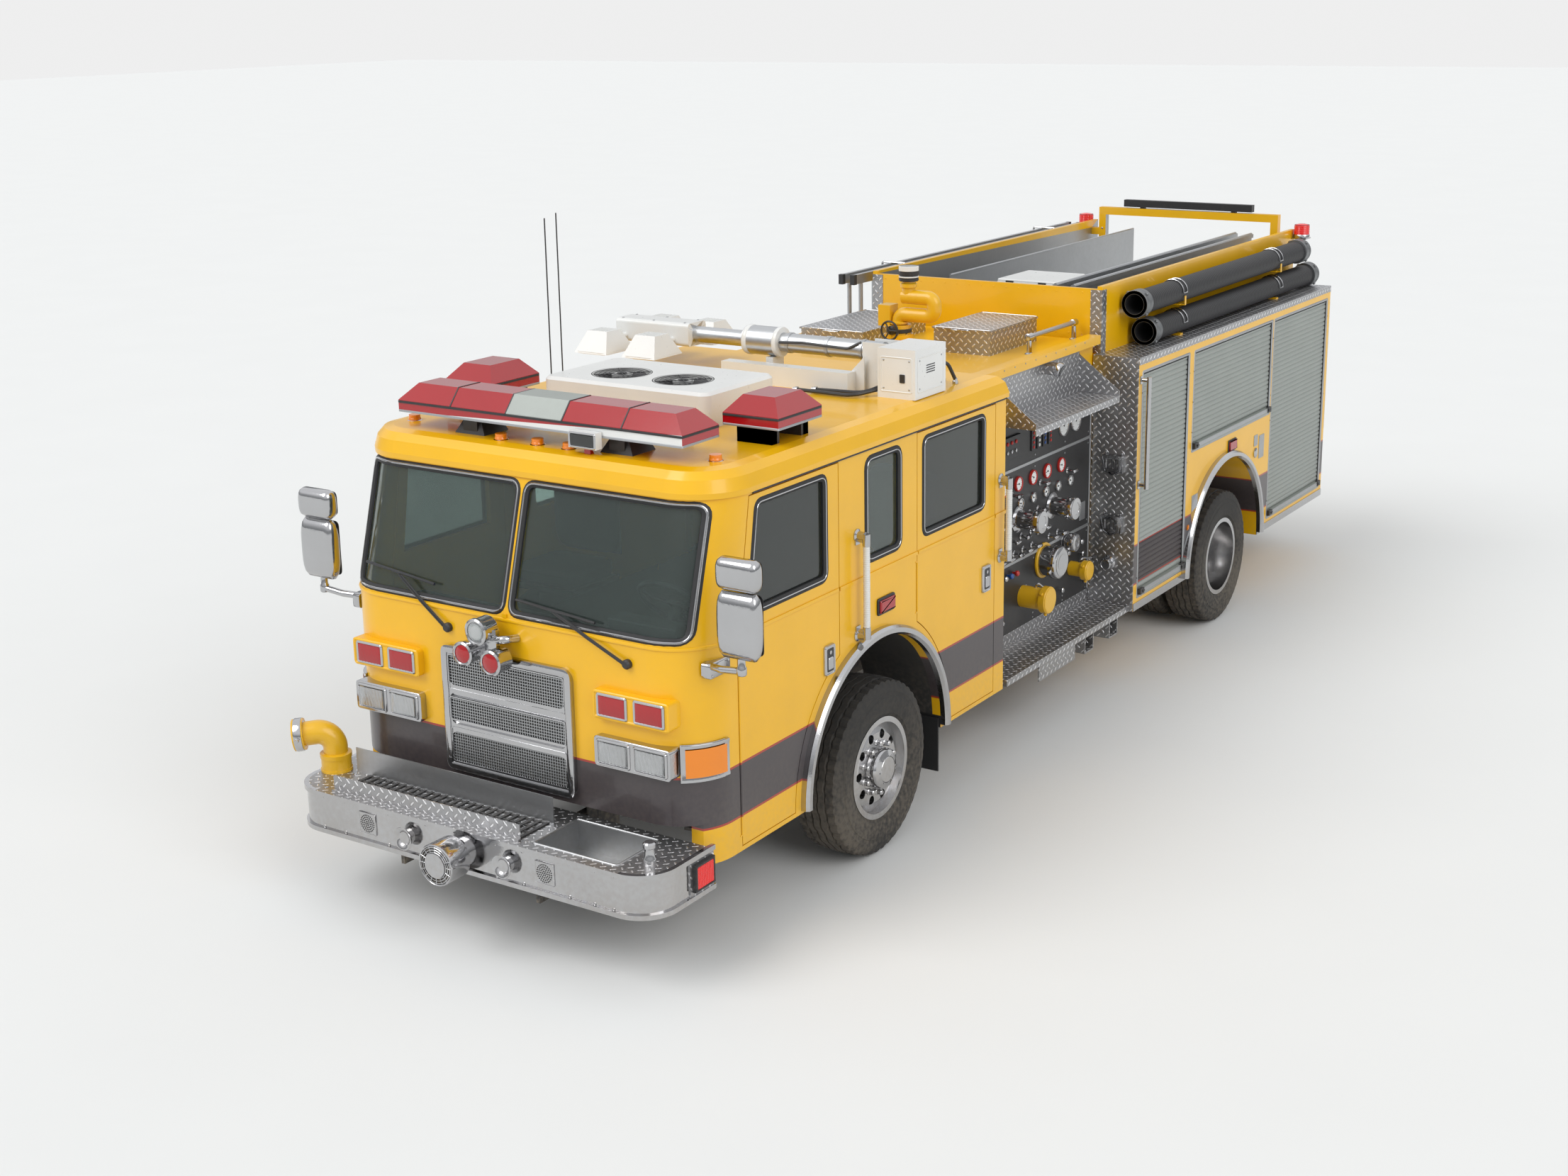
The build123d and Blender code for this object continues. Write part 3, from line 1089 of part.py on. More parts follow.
# Pump house
def pump_house():
    """Pump compartment: closed box on the frame with the pump, top rails and light hoods."""
    y0 = PUMP_FRONT_Y
    y1 = BODY_FRONT_Y
    low = STEP_TOP - STEP_GAUGE
    box = slab(-PUMP_HALF, PUMP_HALF, y0, y1, low, PUMP_TOP)
    reach = PUMP_HALF - BODY_WALL
    room = slab(-reach, reach, y0 + BODY_WALL, y1 - BODY_WALL, low - 1, PUMP_TOP - BODY_WALL)
    rails = [
        slab(PUMP_HALF, PUMP_HALF + 60, y0, y1, PUMP_TOP - 20, PUMP_TOP + 40),
        slab(PUMP_HALF - 40, PUMP_HALF, y0, y1, PUMP_TOP, PUMP_TOP + 40),
    ]
    cross = slab(-PUMP_HALF - 60, PUMP_HALF + 60, y0, y0 + 60, PUMP_TOP, PUMP_TOP + 40)
    bearers = [slab(-reach, reach, y, y + 80, RAIL_TOP, RAIL_TOP + 50) for y in (y0 + 350, y1 - 430)]
    pump = slab(-340, 340, y0 + 350, y1 - 350, RAIL_TOP + 50, RAIL_TOP + 520)
    slots = [
        slab(side * (RAIL_X - RAIL_FLANGE - 5), side * (RAIL_X + 5), y0 - 1, y1 + 1, RAIL_BOTTOM - 5, RAIL_TOP + 5)
        for side in (-1, 1)
    ]
    shell = box - room - slots
    shaft_room = rod((0, y0 - 100, 700), (0, y1 + 100, 620), 120)
    return join([shell - shaft_room, both_sides(join(rails)), cross, pump, pump_canopy()] + bearers)


CANOPY_Y = (CAB_REAR_Y + 447, BODY_FRONT_Y - 217)
CANOPY_X = 1205
CANOPY_Z = 2115


def pump_canopy():
    """Tread plate light hood over each pump panel, with end gussets and a turned-down lip."""
    y0, y1 = CANOPY_Y
    x0 = PUMP_HALF
    shelf = slab(x0, CANOPY_X, y0, y1, CANOPY_Z, CANOPY_Z + 8)
    lip = slab(CANOPY_X - 8, CANOPY_X, y0, y1, CANOPY_Z - 38, CANOPY_Z + 8)
    ends = [
        plate_xz([(x0, CANOPY_Z), (CANOPY_X, CANOPY_Z), (CANOPY_X, CANOPY_Z + 40), (x0, PUMP_TOP - 60)], y, y + 6)
        for y in (y0, y1 - 6)
    ]
    lamp = slab(x0, x0 + 80, (y0 + y1) / 2 + 60, (y0 + y1) / 2 + 200, PUMP_TOP - 110, PUMP_TOP - 50)
    return both_sides(join([shelf, lip, lamp] + ends))


def treads():
    """Tread plate side steps with the boxes and drain plate below, and the tailboard."""
    y0 = PUMP_FRONT_Y
    y1 = BODY_FRONT_Y
    board = slab(PUMP_HALF, STEP_HALF, y0, y1, STEP_TOP - STEP_GAUGE, STEP_TOP)
    kick = slab(PUMP_HALF, PUMP_HALF + 6, y0, y1, STEP_TOP, STEP_TOP + 90)
    under = STEP_TOP - STEP_GAUGE
    boxes = []
    for y in (BODY_FRONT_Y - 607, BODY_FRONT_Y - 207):
        frame = slab(STEP_HALF - 230, STEP_HALF - 20, y - 70, y + 70, under - 130, under)
        boxes.append(frame - slab(STEP_HALF - 300, STEP_HALF, y - 60, y + 60, under - 120, under - 10))
    drain = slab(STEP_HALF - 40, STEP_HALF - 32, FRONT_AXLE_Y + 2150, FRONT_AXLE_Y + 2700, under - 130, under)
    return join([both_sides(join([board, kick, drain] + boxes)), rear_step()])


PANEL_PROUD = 10
CAP_RADIUS = 92
PANEL_LOW = STEP_TOP + 90
PANEL_HIGH = CANOPY_Z
DISCHARGES = [
    # y offset from the front axle, z, radius, reach
    (2360, 1420, 62, 190), (2870, 1400, 62, 190), (3100, 1090, 48, 90),
]
PANEL_VALVES = [(2450, 860, 75, 210), (3200, 870, 52, 150)]
MAIN_INLET = (2750, 1040)


def pump_panels():
    """Control panel plates with the main inlet cap, discharges and valve bodies."""
    y0 = PUMP_FRONT_Y + 20
    y1 = BODY_FRONT_Y - 20
    x0 = PUMP_HALF
    plate = slab(x0, x0 + PANEL_PROUD, y0, y1, PANEL_LOW, PANEL_HIGH - 4)
    face = x0 + PANEL_PROUD
    pieces = [plate]
    y, z = MAIN_INLET
    y = FRONT_AXLE_Y + y
    pieces.append(rod((face, y, z), (face + 120, y, z), CAP_RADIUS + 12))
    pieces.append(rod((face + 120, y, z), (face + 150, y, z), CAP_RADIUS))
    for offset, z, radius, reach in DISCHARGES + PANEL_VALVES:
        y = FRONT_AXLE_Y + offset
        pieces.append(rod((face, y, z), (face + reach, y, z), radius))
        pieces.append(rod((face + reach - 30, y, z), (face + reach, y, z), radius + 12))
    return both_sides(join(pieces))


# Body
SHUTTERS = [
    # y0, y1, z0, z1 of each side opening
    (REAR_AXLE_Y - 1628, REAR_AXLE_Y - 781, 604, 2248),
    (REAR_AXLE_Y - 691, REAR_AXLE_Y + 932, 1488, 2248),
    (REAR_AXLE_Y + 964, REAR_AXLE_Y + 2239, 604, 2248),
]
REAR_SHUTTER = (-520, 520, 760, 1740)
TANK_HALF = 590
SHUTTER_INSET = 16
SHUTTER_GAUGE = 12
SHUTTER_BAR = 26


def body_shell():
    """Locker body: side lockers, front and rear walls, rear centre, top decks and wheel housings."""
    y0 = BODY_FRONT_Y
    y1 = BODY_REAR_Y
    side = join([
        slab(LOWER_LOCKER_X, BODY_HALF, y0, y1, BODY_BOTTOM, LOCKER_STEP_Z),
        slab(UPPER_LOCKER_X, BODY_HALF, y0, y1, LOCKER_STEP_Z, BODY_TOP),
    ])
    rooms = []
    for sy0, sy1, sz0, sz1 in SHUTTERS:
        rooms.append(slab(UPPER_LOCKER_X + BODY_WALL, BODY_HALF + 1, sy0, sy1, max(sz0, LOCKER_STEP_Z), sz1))
        if sz0 < LOCKER_STEP_Z:
            rooms.append(slab(LOWER_LOCKER_X + BODY_WALL, BODY_HALF + 1, sy0, sy1, sz0, LOCKER_STEP_Z - BODY_WALL))
            rooms.append(slab(UPPER_LOCKER_X + BODY_WALL, BODY_HALF + 1, sy0, sy1, LOCKER_STEP_Z - BODY_WALL - 1,
                              LOCKER_STEP_Z + 1))
    side = side - rooms - arch_cutter(ARCH_RADIUS, REAR_AXLE_Y)
    sx0, sx1, rz0, rz1 = REAR_SHUTTER
    rear = slab(-LOWER_LOCKER_X, LOWER_LOCKER_X, y1 - BODY_WALL, y1, 700, BED_FLOOR_Z - 30)
    rear = rear - slab(sx0, sx1, y1 - BODY_WALL - 1, y1 + 1, rz0, rz1)
    front = slab(-LOWER_LOCKER_X, LOWER_LOCKER_X, y0, y0 + BODY_WALL, RAIL_TOP + 40, BED_FLOOR_Z - 30)
    bearers = [
        slab(-LOWER_LOCKER_X, LOWER_LOCKER_X, y, y + 80, RAIL_TOP, RAIL_TOP + 60)
        for y in (y0 + 40, y1 - 110)
    ]
    return join([both_sides(side), rear, front] + bearers)


def water_tank():
    """Booster tank under the hose bed, on the frame."""
    y0 = BODY_FRONT_Y + BODY_WALL
    y1 = BODY_REAR_Y - 700
    tank = slab(-TANK_HALF, TANK_HALF, y0, y1, RAIL_TOP + 60, BED_FLOOR_Z - 30)
    feet = [slab(-RAIL_X, RAIL_X, y, y + 80, RAIL_TOP, RAIL_TOP + 60) for y in (y0 + 700, y1 - 500)]
    return join([tank] + feet)


def roller_shutters():
    """Slatted shutters with their bottom bars, closed, three a side and one at the back."""
    pieces = []
    for y0, y1, z0, z1 in SHUTTERS:
        outer = BODY_HALF - SHUTTER_INSET
        sheet = slab(outer - SHUTTER_GAUGE, outer, y0, y1, z0, z1)
        bar = slab(outer, outer + SHUTTER_BAR + 8, y0 + 40, y1 - 40, z0 + 18, z0 + 60)
        pieces.append(join([sheet, bar]))
    rear_y = BODY_REAR_Y - SHUTTER_INSET
    x0, x1, z0, z1 = REAR_SHUTTER
    back = join([
        slab(x0, x1, rear_y - SHUTTER_GAUGE, rear_y, z0, z1),
        slab(x0 + 40, x1 - 40, rear_y, rear_y + SHUTTER_BAR, z0 + 18, z0 + 60),
    ])
    return join([both_sides(join(pieces)), back])


BED_WALL = 30
BED_HALF = 930
BED_FRONT_Y = BODY_FRONT_Y + 60
BED_REAR_Y = BODY_REAR_Y - 60
HOOP_X = 760
HOOP_Y = BODY_REAR_Y - 190
HOOP_TOP = 2945
HOOP_BAR = 65


def hose_bed():
    """Hose bed over the water tank, with its walls, rear hoop and the suction hose brackets."""
    floor = slab(-BED_HALF + BED_WALL, BED_HALF - BED_WALL, BED_FRONT_Y, BED_REAR_Y, BED_FLOOR_Z - 30, BED_FLOOR_Z)
    wall = slab(BED_HALF - BED_WALL, BED_HALF, BED_FRONT_Y, BED_REAR_Y, BODY_TOP, BED_WALL_TOP)
    inner = slab(BED_HALF - BED_WALL - 6, BED_HALF - BED_WALL, BED_FRONT_Y, BED_REAR_Y, BED_FLOOR_Z, BED_WALL_TOP)
    front = slab(-BED_HALF + BED_WALL, BED_HALF - BED_WALL, BED_FRONT_Y, BED_FRONT_Y + BED_WALL,
                 BED_FLOOR_Z, BED_WALL_TOP - 20)
    post = slab(HOOP_X, HOOP_X + HOOP_BAR, HOOP_Y, HOOP_Y + HOOP_BAR, BED_FLOOR_Z, HOOP_TOP)
    foot = slab(HOOP_X, BED_HALF, HOOP_Y, HOOP_Y + HOOP_BAR, BED_WALL_TOP - 120, BED_WALL_TOP - 60)
    top = slab(-HOOP_X, HOOP_X, HOOP_Y, HOOP_Y + HOOP_BAR, HOOP_TOP - HOOP_BAR, HOOP_TOP)
    sides = both_sides(join([wall, inner, post, foot]))
    return join([floor, front, top, sides, water_tank(), hose_brackets()])


DIVIDER_X = -440
BED_RAIL_X = (500, 640)


def hose_bed_dividers():
    """Tall sheet divider, two low rails and the white box in the hose bed."""
    divider = slab(DIVIDER_X - 6, DIVIDER_X + 6, BED_FRONT_Y + 300, BED_REAR_Y - 250, BED_FLOOR_Z, BED_WALL_TOP - 40)
    pieces = [divider]
    for x in BED_RAIL_X:
        sheet = slab(x - 5, x + 5, BED_FRONT_Y + 140, BED_REAR_Y - 250, BED_FLOOR_Z, 2760)
        cap = slab(x - 20, x + 20, BED_FRONT_Y + 140, BED_REAR_Y - 250, 2760, 2790)
        pieces += [sheet, cap]
    box = slab(20, 480, BED_FRONT_Y + 180, BED_FRONT_Y + 680, BED_FLOOR_Z, 2790)
    pieces.append(box)
    return join(pieces)


def rear_lights():
    """Black light bar on the hoop, two beacons on brackets, and the tail lamp clusters."""
    bar_y = HOOP_Y + HOOP_BAR / 2
    bar = slab(-590, 590, bar_y - 30, bar_y + 30, HOOP_TOP + 12, HOOP_TOP + 72)
    feet = [slab(x - 20, x + 20, bar_y - 20, bar_y + 20, HOOP_TOP, HOOP_TOP + 12) for x in (-420, 420)]
    pieces = [bar] + feet
    shelf_y = BED_REAR_Y - 80
    shelf = slab(BED_HALF, BED_HALF + 130, shelf_y, shelf_y + 120, BED_WALL_TOP - 75, BED_WALL_TOP - 65)
    beacon_x = BED_HALF + 70
    beacon = rod((beacon_x, shelf_y + 60, BED_WALL_TOP - 65), (beacon_x, shelf_y + 60, BED_WALL_TOP + 45), 62)
    lamp = slab(960, 1180, BODY_REAR_Y, BODY_REAR_Y + 40, 1050, 1560)
    pieces.append(both_sides(join([shelf, beacon, lamp])))
    return join(pieces)


HOSE_RADIUS = 85
HOSE_BORE = 72
HOSE_CUFF = 98
CUFF_LENGTH = 110
SUCTION_HOSES = [
    # x, z, front y, rear y
    (1050, 2667, REAR_AXLE_Y - 1350, REAR_AXLE_Y + 2050),
    (1060, 2449, REAR_AXLE_Y - 1190, REAR_AXLE_Y + 2260),
]
HOSE_BRACKETS = [REAR_AXLE_Y - 640, REAR_AXLE_Y + 1360]


def suction_hoses():
    """Two stiff suction hoses with end couplings, lying along the driver's side."""
    hoses = []
    for x, z, y0, y1 in SUCTION_HOSES:
        body = rod((x, y0, z), (x, y1, z), HOSE_RADIUS)
        cuffs = [rod((x, y, z), (x, y + CUFF_LENGTH, z), HOSE_CUFF) for y in (y0, y1 - CUFF_LENGTH)]
        bore = rod((x, y0 - 1, z), (x, y1 + 1, z), HOSE_BORE)
        hoses.append(join([body] + cuffs) - bore)
    return join(hoses)


def hose_brackets():
    """Shelf brackets and hooks that hold the suction hoses."""
    pieces = []
    (ux, uz, uy0, uy1), (lx, lz, ly0, ly1) = SUCTION_HOSES
    for y in HOSE_BRACKETS:
        top = uz - HOSE_RADIUS - SEAT_GAP
        arm = slab(BED_HALF, ux + 60, y - 25, y + 25, top - 8, top)
        hook = slab(ux + 88, ux + 94, y - 12, y + 12, top - 8, top + 60)
        foot = slab(ux + 60, ux + 94, y - 12, y + 12, top - 8, top)
        base = lz - HOSE_RADIUS - SEAT_GAP
        saddle = slab(lx - 60, lx + 60, y - 25, y + 25, BODY_TOP, base)
        pieces += [join([arm, hook, foot]), saddle]
    return join(pieces)


LADDERS = [
    # x centre, front y, rear y, z low, z high
    (-1010, REAR_AXLE_Y - 1800, REAR_AXLE_Y + 2100, 2385, 2800),
    (-1110, REAR_AXLE_Y - 1800, REAR_AXLE_Y + 2100, 2385, 2800),
]
LADDER_RAIL = 34
LADDER_DEPTH = 70
RUNG_PITCH = 355
RUNG_RADIUS = 16


def ladders():
    """Ladders stored on edge along the officer's side, with their hangers."""
    pieces = []
    for x, y0, y1, z0, z1 in LADDERS:
        half = LADDER_RAIL / 2
        rails = [slab(x - half, x + half, y0, y1, z, z + LADDER_DEPTH) for z in (z0, z1 - LADDER_DEPTH)]
        count = int((y1 - y0 - 200) // RUNG_PITCH)
        rungs = []
        for index in range(count + 1):
            y = y0 + 120 + index * RUNG_PITCH
            rungs.append(rod((x, y, z0 + 20), (x, y, z1 - 20), RUNG_RADIUS))
        pieces.append(join(rails + rungs))
    z0 = LADDERS[0][3]
    for y in (REAR_AXLE_Y - 1100, REAR_AXLE_Y + 1500):
        shoe = slab(-1150, -970, y - 30, y + 30, BODY_TOP, z0)
        pieces.append(shoe)
    return join(pieces)


def body_trim():
    """Polished rear arch rings, grab rail, folding steps and the rear handrails."""
    rail = grab_rail(BODY_HALF, BODY_FRONT_Y + 35, 1420, 2220)
    pieces = [arch_trim(BODY_HALF, REAR_AXLE_Y), rail]
    for z in (1150, 1590):
        step = slab(1000, 1160, BODY_FRONT_Y - 40, BODY_FRONT_Y, z - 60, z + 60)
        pieces.append(step - slab(1030, 1130, BODY_FRONT_Y - 41, BODY_FRONT_Y - 12, z - 35, z + 35))
    rear = join([
        rod((1215, BODY_REAR_Y + 60, 1100), (1215, BODY_REAR_Y + 60, 2200), 16),
        rod((1215, BODY_REAR_Y, 1130), (1215, BODY_REAR_Y + 60, 1130), 13),
        rod((1215, BODY_REAR_Y, 2170), (1215, BODY_REAR_Y + 60, 2170), 13),
    ])
    pieces.append(rear)
    return both_sides(join(pieces))


REAR_STEP_HALF = 1100


def rear_step():
    """Tread plate tailboard on two brackets from the frame."""
    end = BODY_REAR_Y + REAR_STEP_DEPTH
    inner = RAIL_X - RAIL_FLANGE
    board = slab(-REAR_STEP_HALF, REAR_STEP_HALF, BODY_REAR_Y, end, BODY_BOTTOM, BODY_BOTTOM + 50)
    arm = slab(inner, RAIL_X, FRAME_REAR_Y - 300, end - 60, BODY_BOTTOM - 60, BODY_BOTTOM)
    drop = slab(inner, RAIL_X, FRAME_REAR_Y - 300, FRAME_REAR_Y - 160, BODY_BOTTOM - 60, RAIL_BOTTOM)
    return join([board, both_sides(join([arm, drop]))])


# Deck gun, chest and cover on top of the pump house
GUN_X = 60
GUN_Y = FRONT_AXLE_Y + 2250
GUN_FLANGE_TOP = 2620
GUN_PIPE = 48
GUN_ELBOW_X = 330
GUN_PIVOT_Z = 2870
GUN_TIP_Z = 3056
NOZZLE_BORE = 32


def pump_top():
    """Riser and flange under the deck gun, with the two boxes on the pump deck."""
    riser = rod((GUN_X, GUN_Y, PUMP_TOP), (GUN_X, GUN_Y, GUN_FLANGE_TOP - 30), GUN_PIPE)
    flange = rod((GUN_X, GUN_Y, GUN_FLANGE_TOP - 30), (GUN_X, GUN_Y, GUN_FLANGE_TOP), 95)
    boxes = [chest_box(*sizes) for name, *sizes in CHESTS]
    return join([riser, flange] + boxes)


def gun_swivel():
    """Swivel housing and the looped pipe of the deck gun."""
    z0 = GUN_FLANGE_TOP + RUNNING_GAP
    housing = rod((GUN_X, GUN_Y, z0), (GUN_X, GUN_Y, z0 + 60), 80)
    loop = pipe([
        (GUN_X, GUN_Y, z0 + 40), (GUN_X, GUN_Y, z0 + 130), (GUN_ELBOW_X, GUN_Y, z0 + 130),
        (GUN_ELBOW_X, GUN_Y, GUN_PIVOT_Z), (GUN_ELBOW_X - 110, GUN_Y, GUN_PIVOT_Z)], GUN_PIPE, 50)
    box = slab(GUN_X - 130, GUN_X - 40, GUN_Y - 55, GUN_Y + 55, z0 + 50, z0 + 190)
    return join([housing, loop, box])


def gun_barrel():
    """Elevating elbow and nozzle, pointing straight up."""
    x1 = GUN_ELBOW_X - 110 - RUNNING_GAP
    barrel_x = GUN_X + 75
    arm = rod((barrel_x - 40, GUN_Y, GUN_PIVOT_Z), (x1, GUN_Y, GUN_PIVOT_Z), GUN_PIPE)
    tube = rod((barrel_x, GUN_Y, GUN_PIVOT_Z), (barrel_x, GUN_Y, GUN_TIP_Z - 80), GUN_PIPE - 4)
    nozzle = rod((barrel_x, GUN_Y, GUN_TIP_Z - 80), (barrel_x, GUN_Y, GUN_TIP_Z), 62)
    bore = rod((barrel_x, GUN_Y, GUN_TIP_Z - 60), (barrel_x, GUN_Y, GUN_TIP_Z + 1), NOZZLE_BORE)
    return join([arm, tube, nozzle]) - bore


CHESTS = [
    # name, x0, x1, y0, y1, top of the box
    ("chest", 130, 560, BODY_FRONT_Y - 907, BODY_FRONT_Y - 207, 2610),
    ("deck_cover", -830, -330, BODY_FRONT_Y - 1087, BODY_FRONT_Y - 207, 2560),
]
CHEST_WALL = 8
LID_GAUGE = 12
LID_BARREL = 9
LID_PIN = 4


def chest_box(x0, x1, y0, y1, top):
    """Open box on the pump deck with hinge pins along its rear edge."""
    box = slab(x0, x1, y0, y1, PUMP_TOP, top) - slab(
        x0 + CHEST_WALL, x1 - CHEST_WALL, y0 + CHEST_WALL, y1 - CHEST_WALL, PUMP_TOP + CHEST_WALL, top + 1)
    axis_y = y1 + LID_BARREL + 6
    axis_z = top + LID_GAUGE / 2
    pieces = [box]
    for x in (x0 + 60, x1 - 60):
        pieces.append(slab(x - 12, x + 12, y1, axis_y + 6, axis_z - 32, axis_z + 6))
        for way in (-1, 1):
            pieces.append(rod((x, axis_y, axis_z), (x + way * 40, axis_y, axis_z), LID_PIN))
    return join(pieces)


def chest_lid(x0, x1, y0, y1, top):
    """Lid with hinge knuckles round the pins of its box."""
    low = top + SEAT_GAP
    plate = slab(x0 - 10, x1 + 10, y0 - 10, y1, low, low + LID_GAUGE)
    axis_y = y1 + LID_BARREL + 6
    axis_z = top + LID_GAUGE / 2
    pieces = [plate]
    bores = []
    for x in (x0 + 60, x1 - 60):
        for way in (-1, 1):
            start = x + way * 18
            pieces.append(rod((start, axis_y, axis_z), (start + way * 22, axis_y, axis_z), LID_BARREL))
            pieces.append(slab(start, start + way * 22, y1 - 5, axis_y, low + 2, low + 10))
            bores.append(rod((start - way, axis_y, axis_z), (start + way * 23, axis_y, axis_z), LID_PIN + RUNNING_GAP))
    plate_cut = [slab(x - 16, x + 16, y1 - 2, y1 + 60, low - 1, low + 40) for x in (x0 + 60, x1 - 60)]
    return join(pieces) - bores - plate_cut


def main():
    """Build and write every piece."""
    os.makedirs("parts", exist_ok=True)
    wheels()
    left_knuckle = knuckle()
    save("knuckle_left", left_knuckle)
    save("knuckle_right", other_side(left_knuckle))
    for entry in DOORS:
        panel = door_panel(entry)
        glass = door_glass(entry)
        for side, place in (("left", lambda shape: shape), ("right", other_side)):
            save(entry[0] + "_" + side, place(panel))
            save(entry[0] + "_glass_" + side, place(glass))
    for name, *sizes in CHESTS:
        save(name + "_lid", chest_lid(*sizes))
    single = [
        track_rod, front_axle, leaf_springs, rear_axle, drive_line, frame_rails, tank_and_exhaust,
        front_bumper, bumper_deck, bumper_fittings, cab_shell, cab_floor, cab_roof, cab_glass, grille,
        nose_lamps, mirrors, cab_trim, cab_interior, roof_lights, air_conditioner, tower_base, tower_mast,
        tower_head, pump_house, treads, pump_panels, body_shell, roller_shutters, hose_bed,
        hose_bed_dividers, rear_lights, suction_hoses, ladders, body_trim, pump_top, gun_swivel, gun_barrel,
    ]
    for make in single:
        save(make.__name__, make())


main()
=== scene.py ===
"""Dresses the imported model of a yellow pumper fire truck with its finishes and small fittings."""
from __future__ import annotations

import json
import logging
import math
from dataclasses import dataclass
from enum import Enum
from typing import Callable, Iterable, Sequence

import bmesh
import bpy
from mathutils import Matrix, Vector

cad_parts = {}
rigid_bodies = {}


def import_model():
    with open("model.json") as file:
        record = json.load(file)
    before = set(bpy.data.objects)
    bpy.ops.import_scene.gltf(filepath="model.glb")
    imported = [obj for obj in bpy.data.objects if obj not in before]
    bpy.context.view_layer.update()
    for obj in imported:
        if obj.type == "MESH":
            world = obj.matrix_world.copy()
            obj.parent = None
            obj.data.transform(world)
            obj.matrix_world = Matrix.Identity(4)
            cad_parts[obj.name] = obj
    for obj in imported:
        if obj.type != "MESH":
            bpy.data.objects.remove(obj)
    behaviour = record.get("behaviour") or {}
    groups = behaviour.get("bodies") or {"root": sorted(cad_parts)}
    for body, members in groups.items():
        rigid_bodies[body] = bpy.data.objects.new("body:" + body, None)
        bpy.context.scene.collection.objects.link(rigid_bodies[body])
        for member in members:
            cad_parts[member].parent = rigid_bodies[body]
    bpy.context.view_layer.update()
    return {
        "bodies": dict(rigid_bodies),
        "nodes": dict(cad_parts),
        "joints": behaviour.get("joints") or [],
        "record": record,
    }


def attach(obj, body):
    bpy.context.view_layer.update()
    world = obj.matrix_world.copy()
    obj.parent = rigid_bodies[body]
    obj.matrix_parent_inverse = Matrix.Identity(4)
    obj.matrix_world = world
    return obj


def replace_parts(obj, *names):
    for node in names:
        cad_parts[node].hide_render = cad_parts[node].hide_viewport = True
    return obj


LOG = logging.getLogger("pumper")
Spot = Sequence[float]
FRONT_AXLE = -2.710
REAR_AXLE = 2.490
SIDES = (("left", 1.0), ("right", -1.0))
SIGNS = (1, -1)
HUB_HEIGHT = 0.520
NOSE_Y = -4.454
BEND_RADIUS = 0.300
BEND_X = 0.918
BEND_Y = -4.154
FRONT_SEAT_BACK = -2.90
SEAT_DEPTH = 0.42
DOOR_GRIPS = {"front": -3.219, "rear": -1.399}
UP = (0, 0, 1)
ACROSS = (1, 0, 0)
AHEAD = (0, -1, 0)
ASTERN = (0, 1, 0)
MARKERS = ((-1.030, -3.960), (-0.265, -4.110), (-0.012, -4.110), (0.198, -4.110), (1.027, -3.960))
SUCTION_HOSES = {"upper": (1.050, 2.667, 1.140, 4.540), "lower": (1.060, 2.449, 1.300, 4.750)}


class Tree:
    """A node tree with short calls for adding nodes and wiring them."""

    def __init__(self, tree: bpy.types.NodeTree) -> None:
        """Wraps a node tree."""
        self.tree = tree

    def add(self, kind: str, **values: object) -> bpy.types.Node:
        """Adds a node.

        Args:
            kind: Blender's type name of the node.
            values: Properties of the node to set.

        Returns:
            The new node.
        """
        node = self.tree.nodes.new(kind)
        for key, value in values.items():
            setattr(node, key, value)
        return node

    def wire(self, value: object, socket: bpy.types.NodeSocket) -> None:
        """Links an output to a socket, or sets a plain value on it."""
        if isinstance(value, bpy.types.NodeSocket):
            self.tree.links.new(value, socket)
        else:
            socket.default_value = value

    def sum(self, operation: str, *inputs: object, clamp: bool = False) -> bpy.types.NodeSocket:
        """One Math node.

        Args:
            operation: The node's operation.
            inputs: Sockets or numbers, in order.
            clamp: True to keep the result between 0 and 1.

        Returns:
            The node's output.
        """
        node = self.add("ShaderNodeMath", operation=operation, use_clamp=clamp)
        for value, socket in zip(inputs, node.inputs):
            self.wire(value, socket)
        return node.outputs[0]

    def noise(self, place: object, scale: object, detail: float = 3.0) -> bpy.types.NodeSocket:
        """Fractal noise between 0 and 1 at a place."""
        node = self.add("ShaderNodeTexNoise")
        self.wire(place, node.inputs["Vector"])
        self.wire(scale, node.inputs["Scale"])
        node.inputs["Detail"].default_value = detail
        return node.outputs["Fac"]

    def span(self, value: object, low: object, high: object) -> bpy.types.NodeSocket:
        """Smooth step of a value from 0 at low to 1 at high."""
        node = self.add("ShaderNodeMapRange", interpolation_type="SMOOTHSTEP")
        self.wire(value, node.inputs["Value"])
        self.wire(low, node.inputs["From Min"])
        self.wire(high, node.inputs["From Max"])
        return node.outputs["Result"]

    def mix(self, share: object, first: object, second: object) -> bpy.types.NodeSocket:
        """Colour mix of two colours by a share."""
        node = self.add("ShaderNodeMix", data_type="RGBA")
        self.wire(share, node.inputs["Factor"])
        self.wire(first, node.inputs["A"])
        self.wire(second, node.inputs["B"])
        return node.outputs["Result"]


Recipe = Callable[[Tree, bpy.types.Node, bpy.types.Node], None]


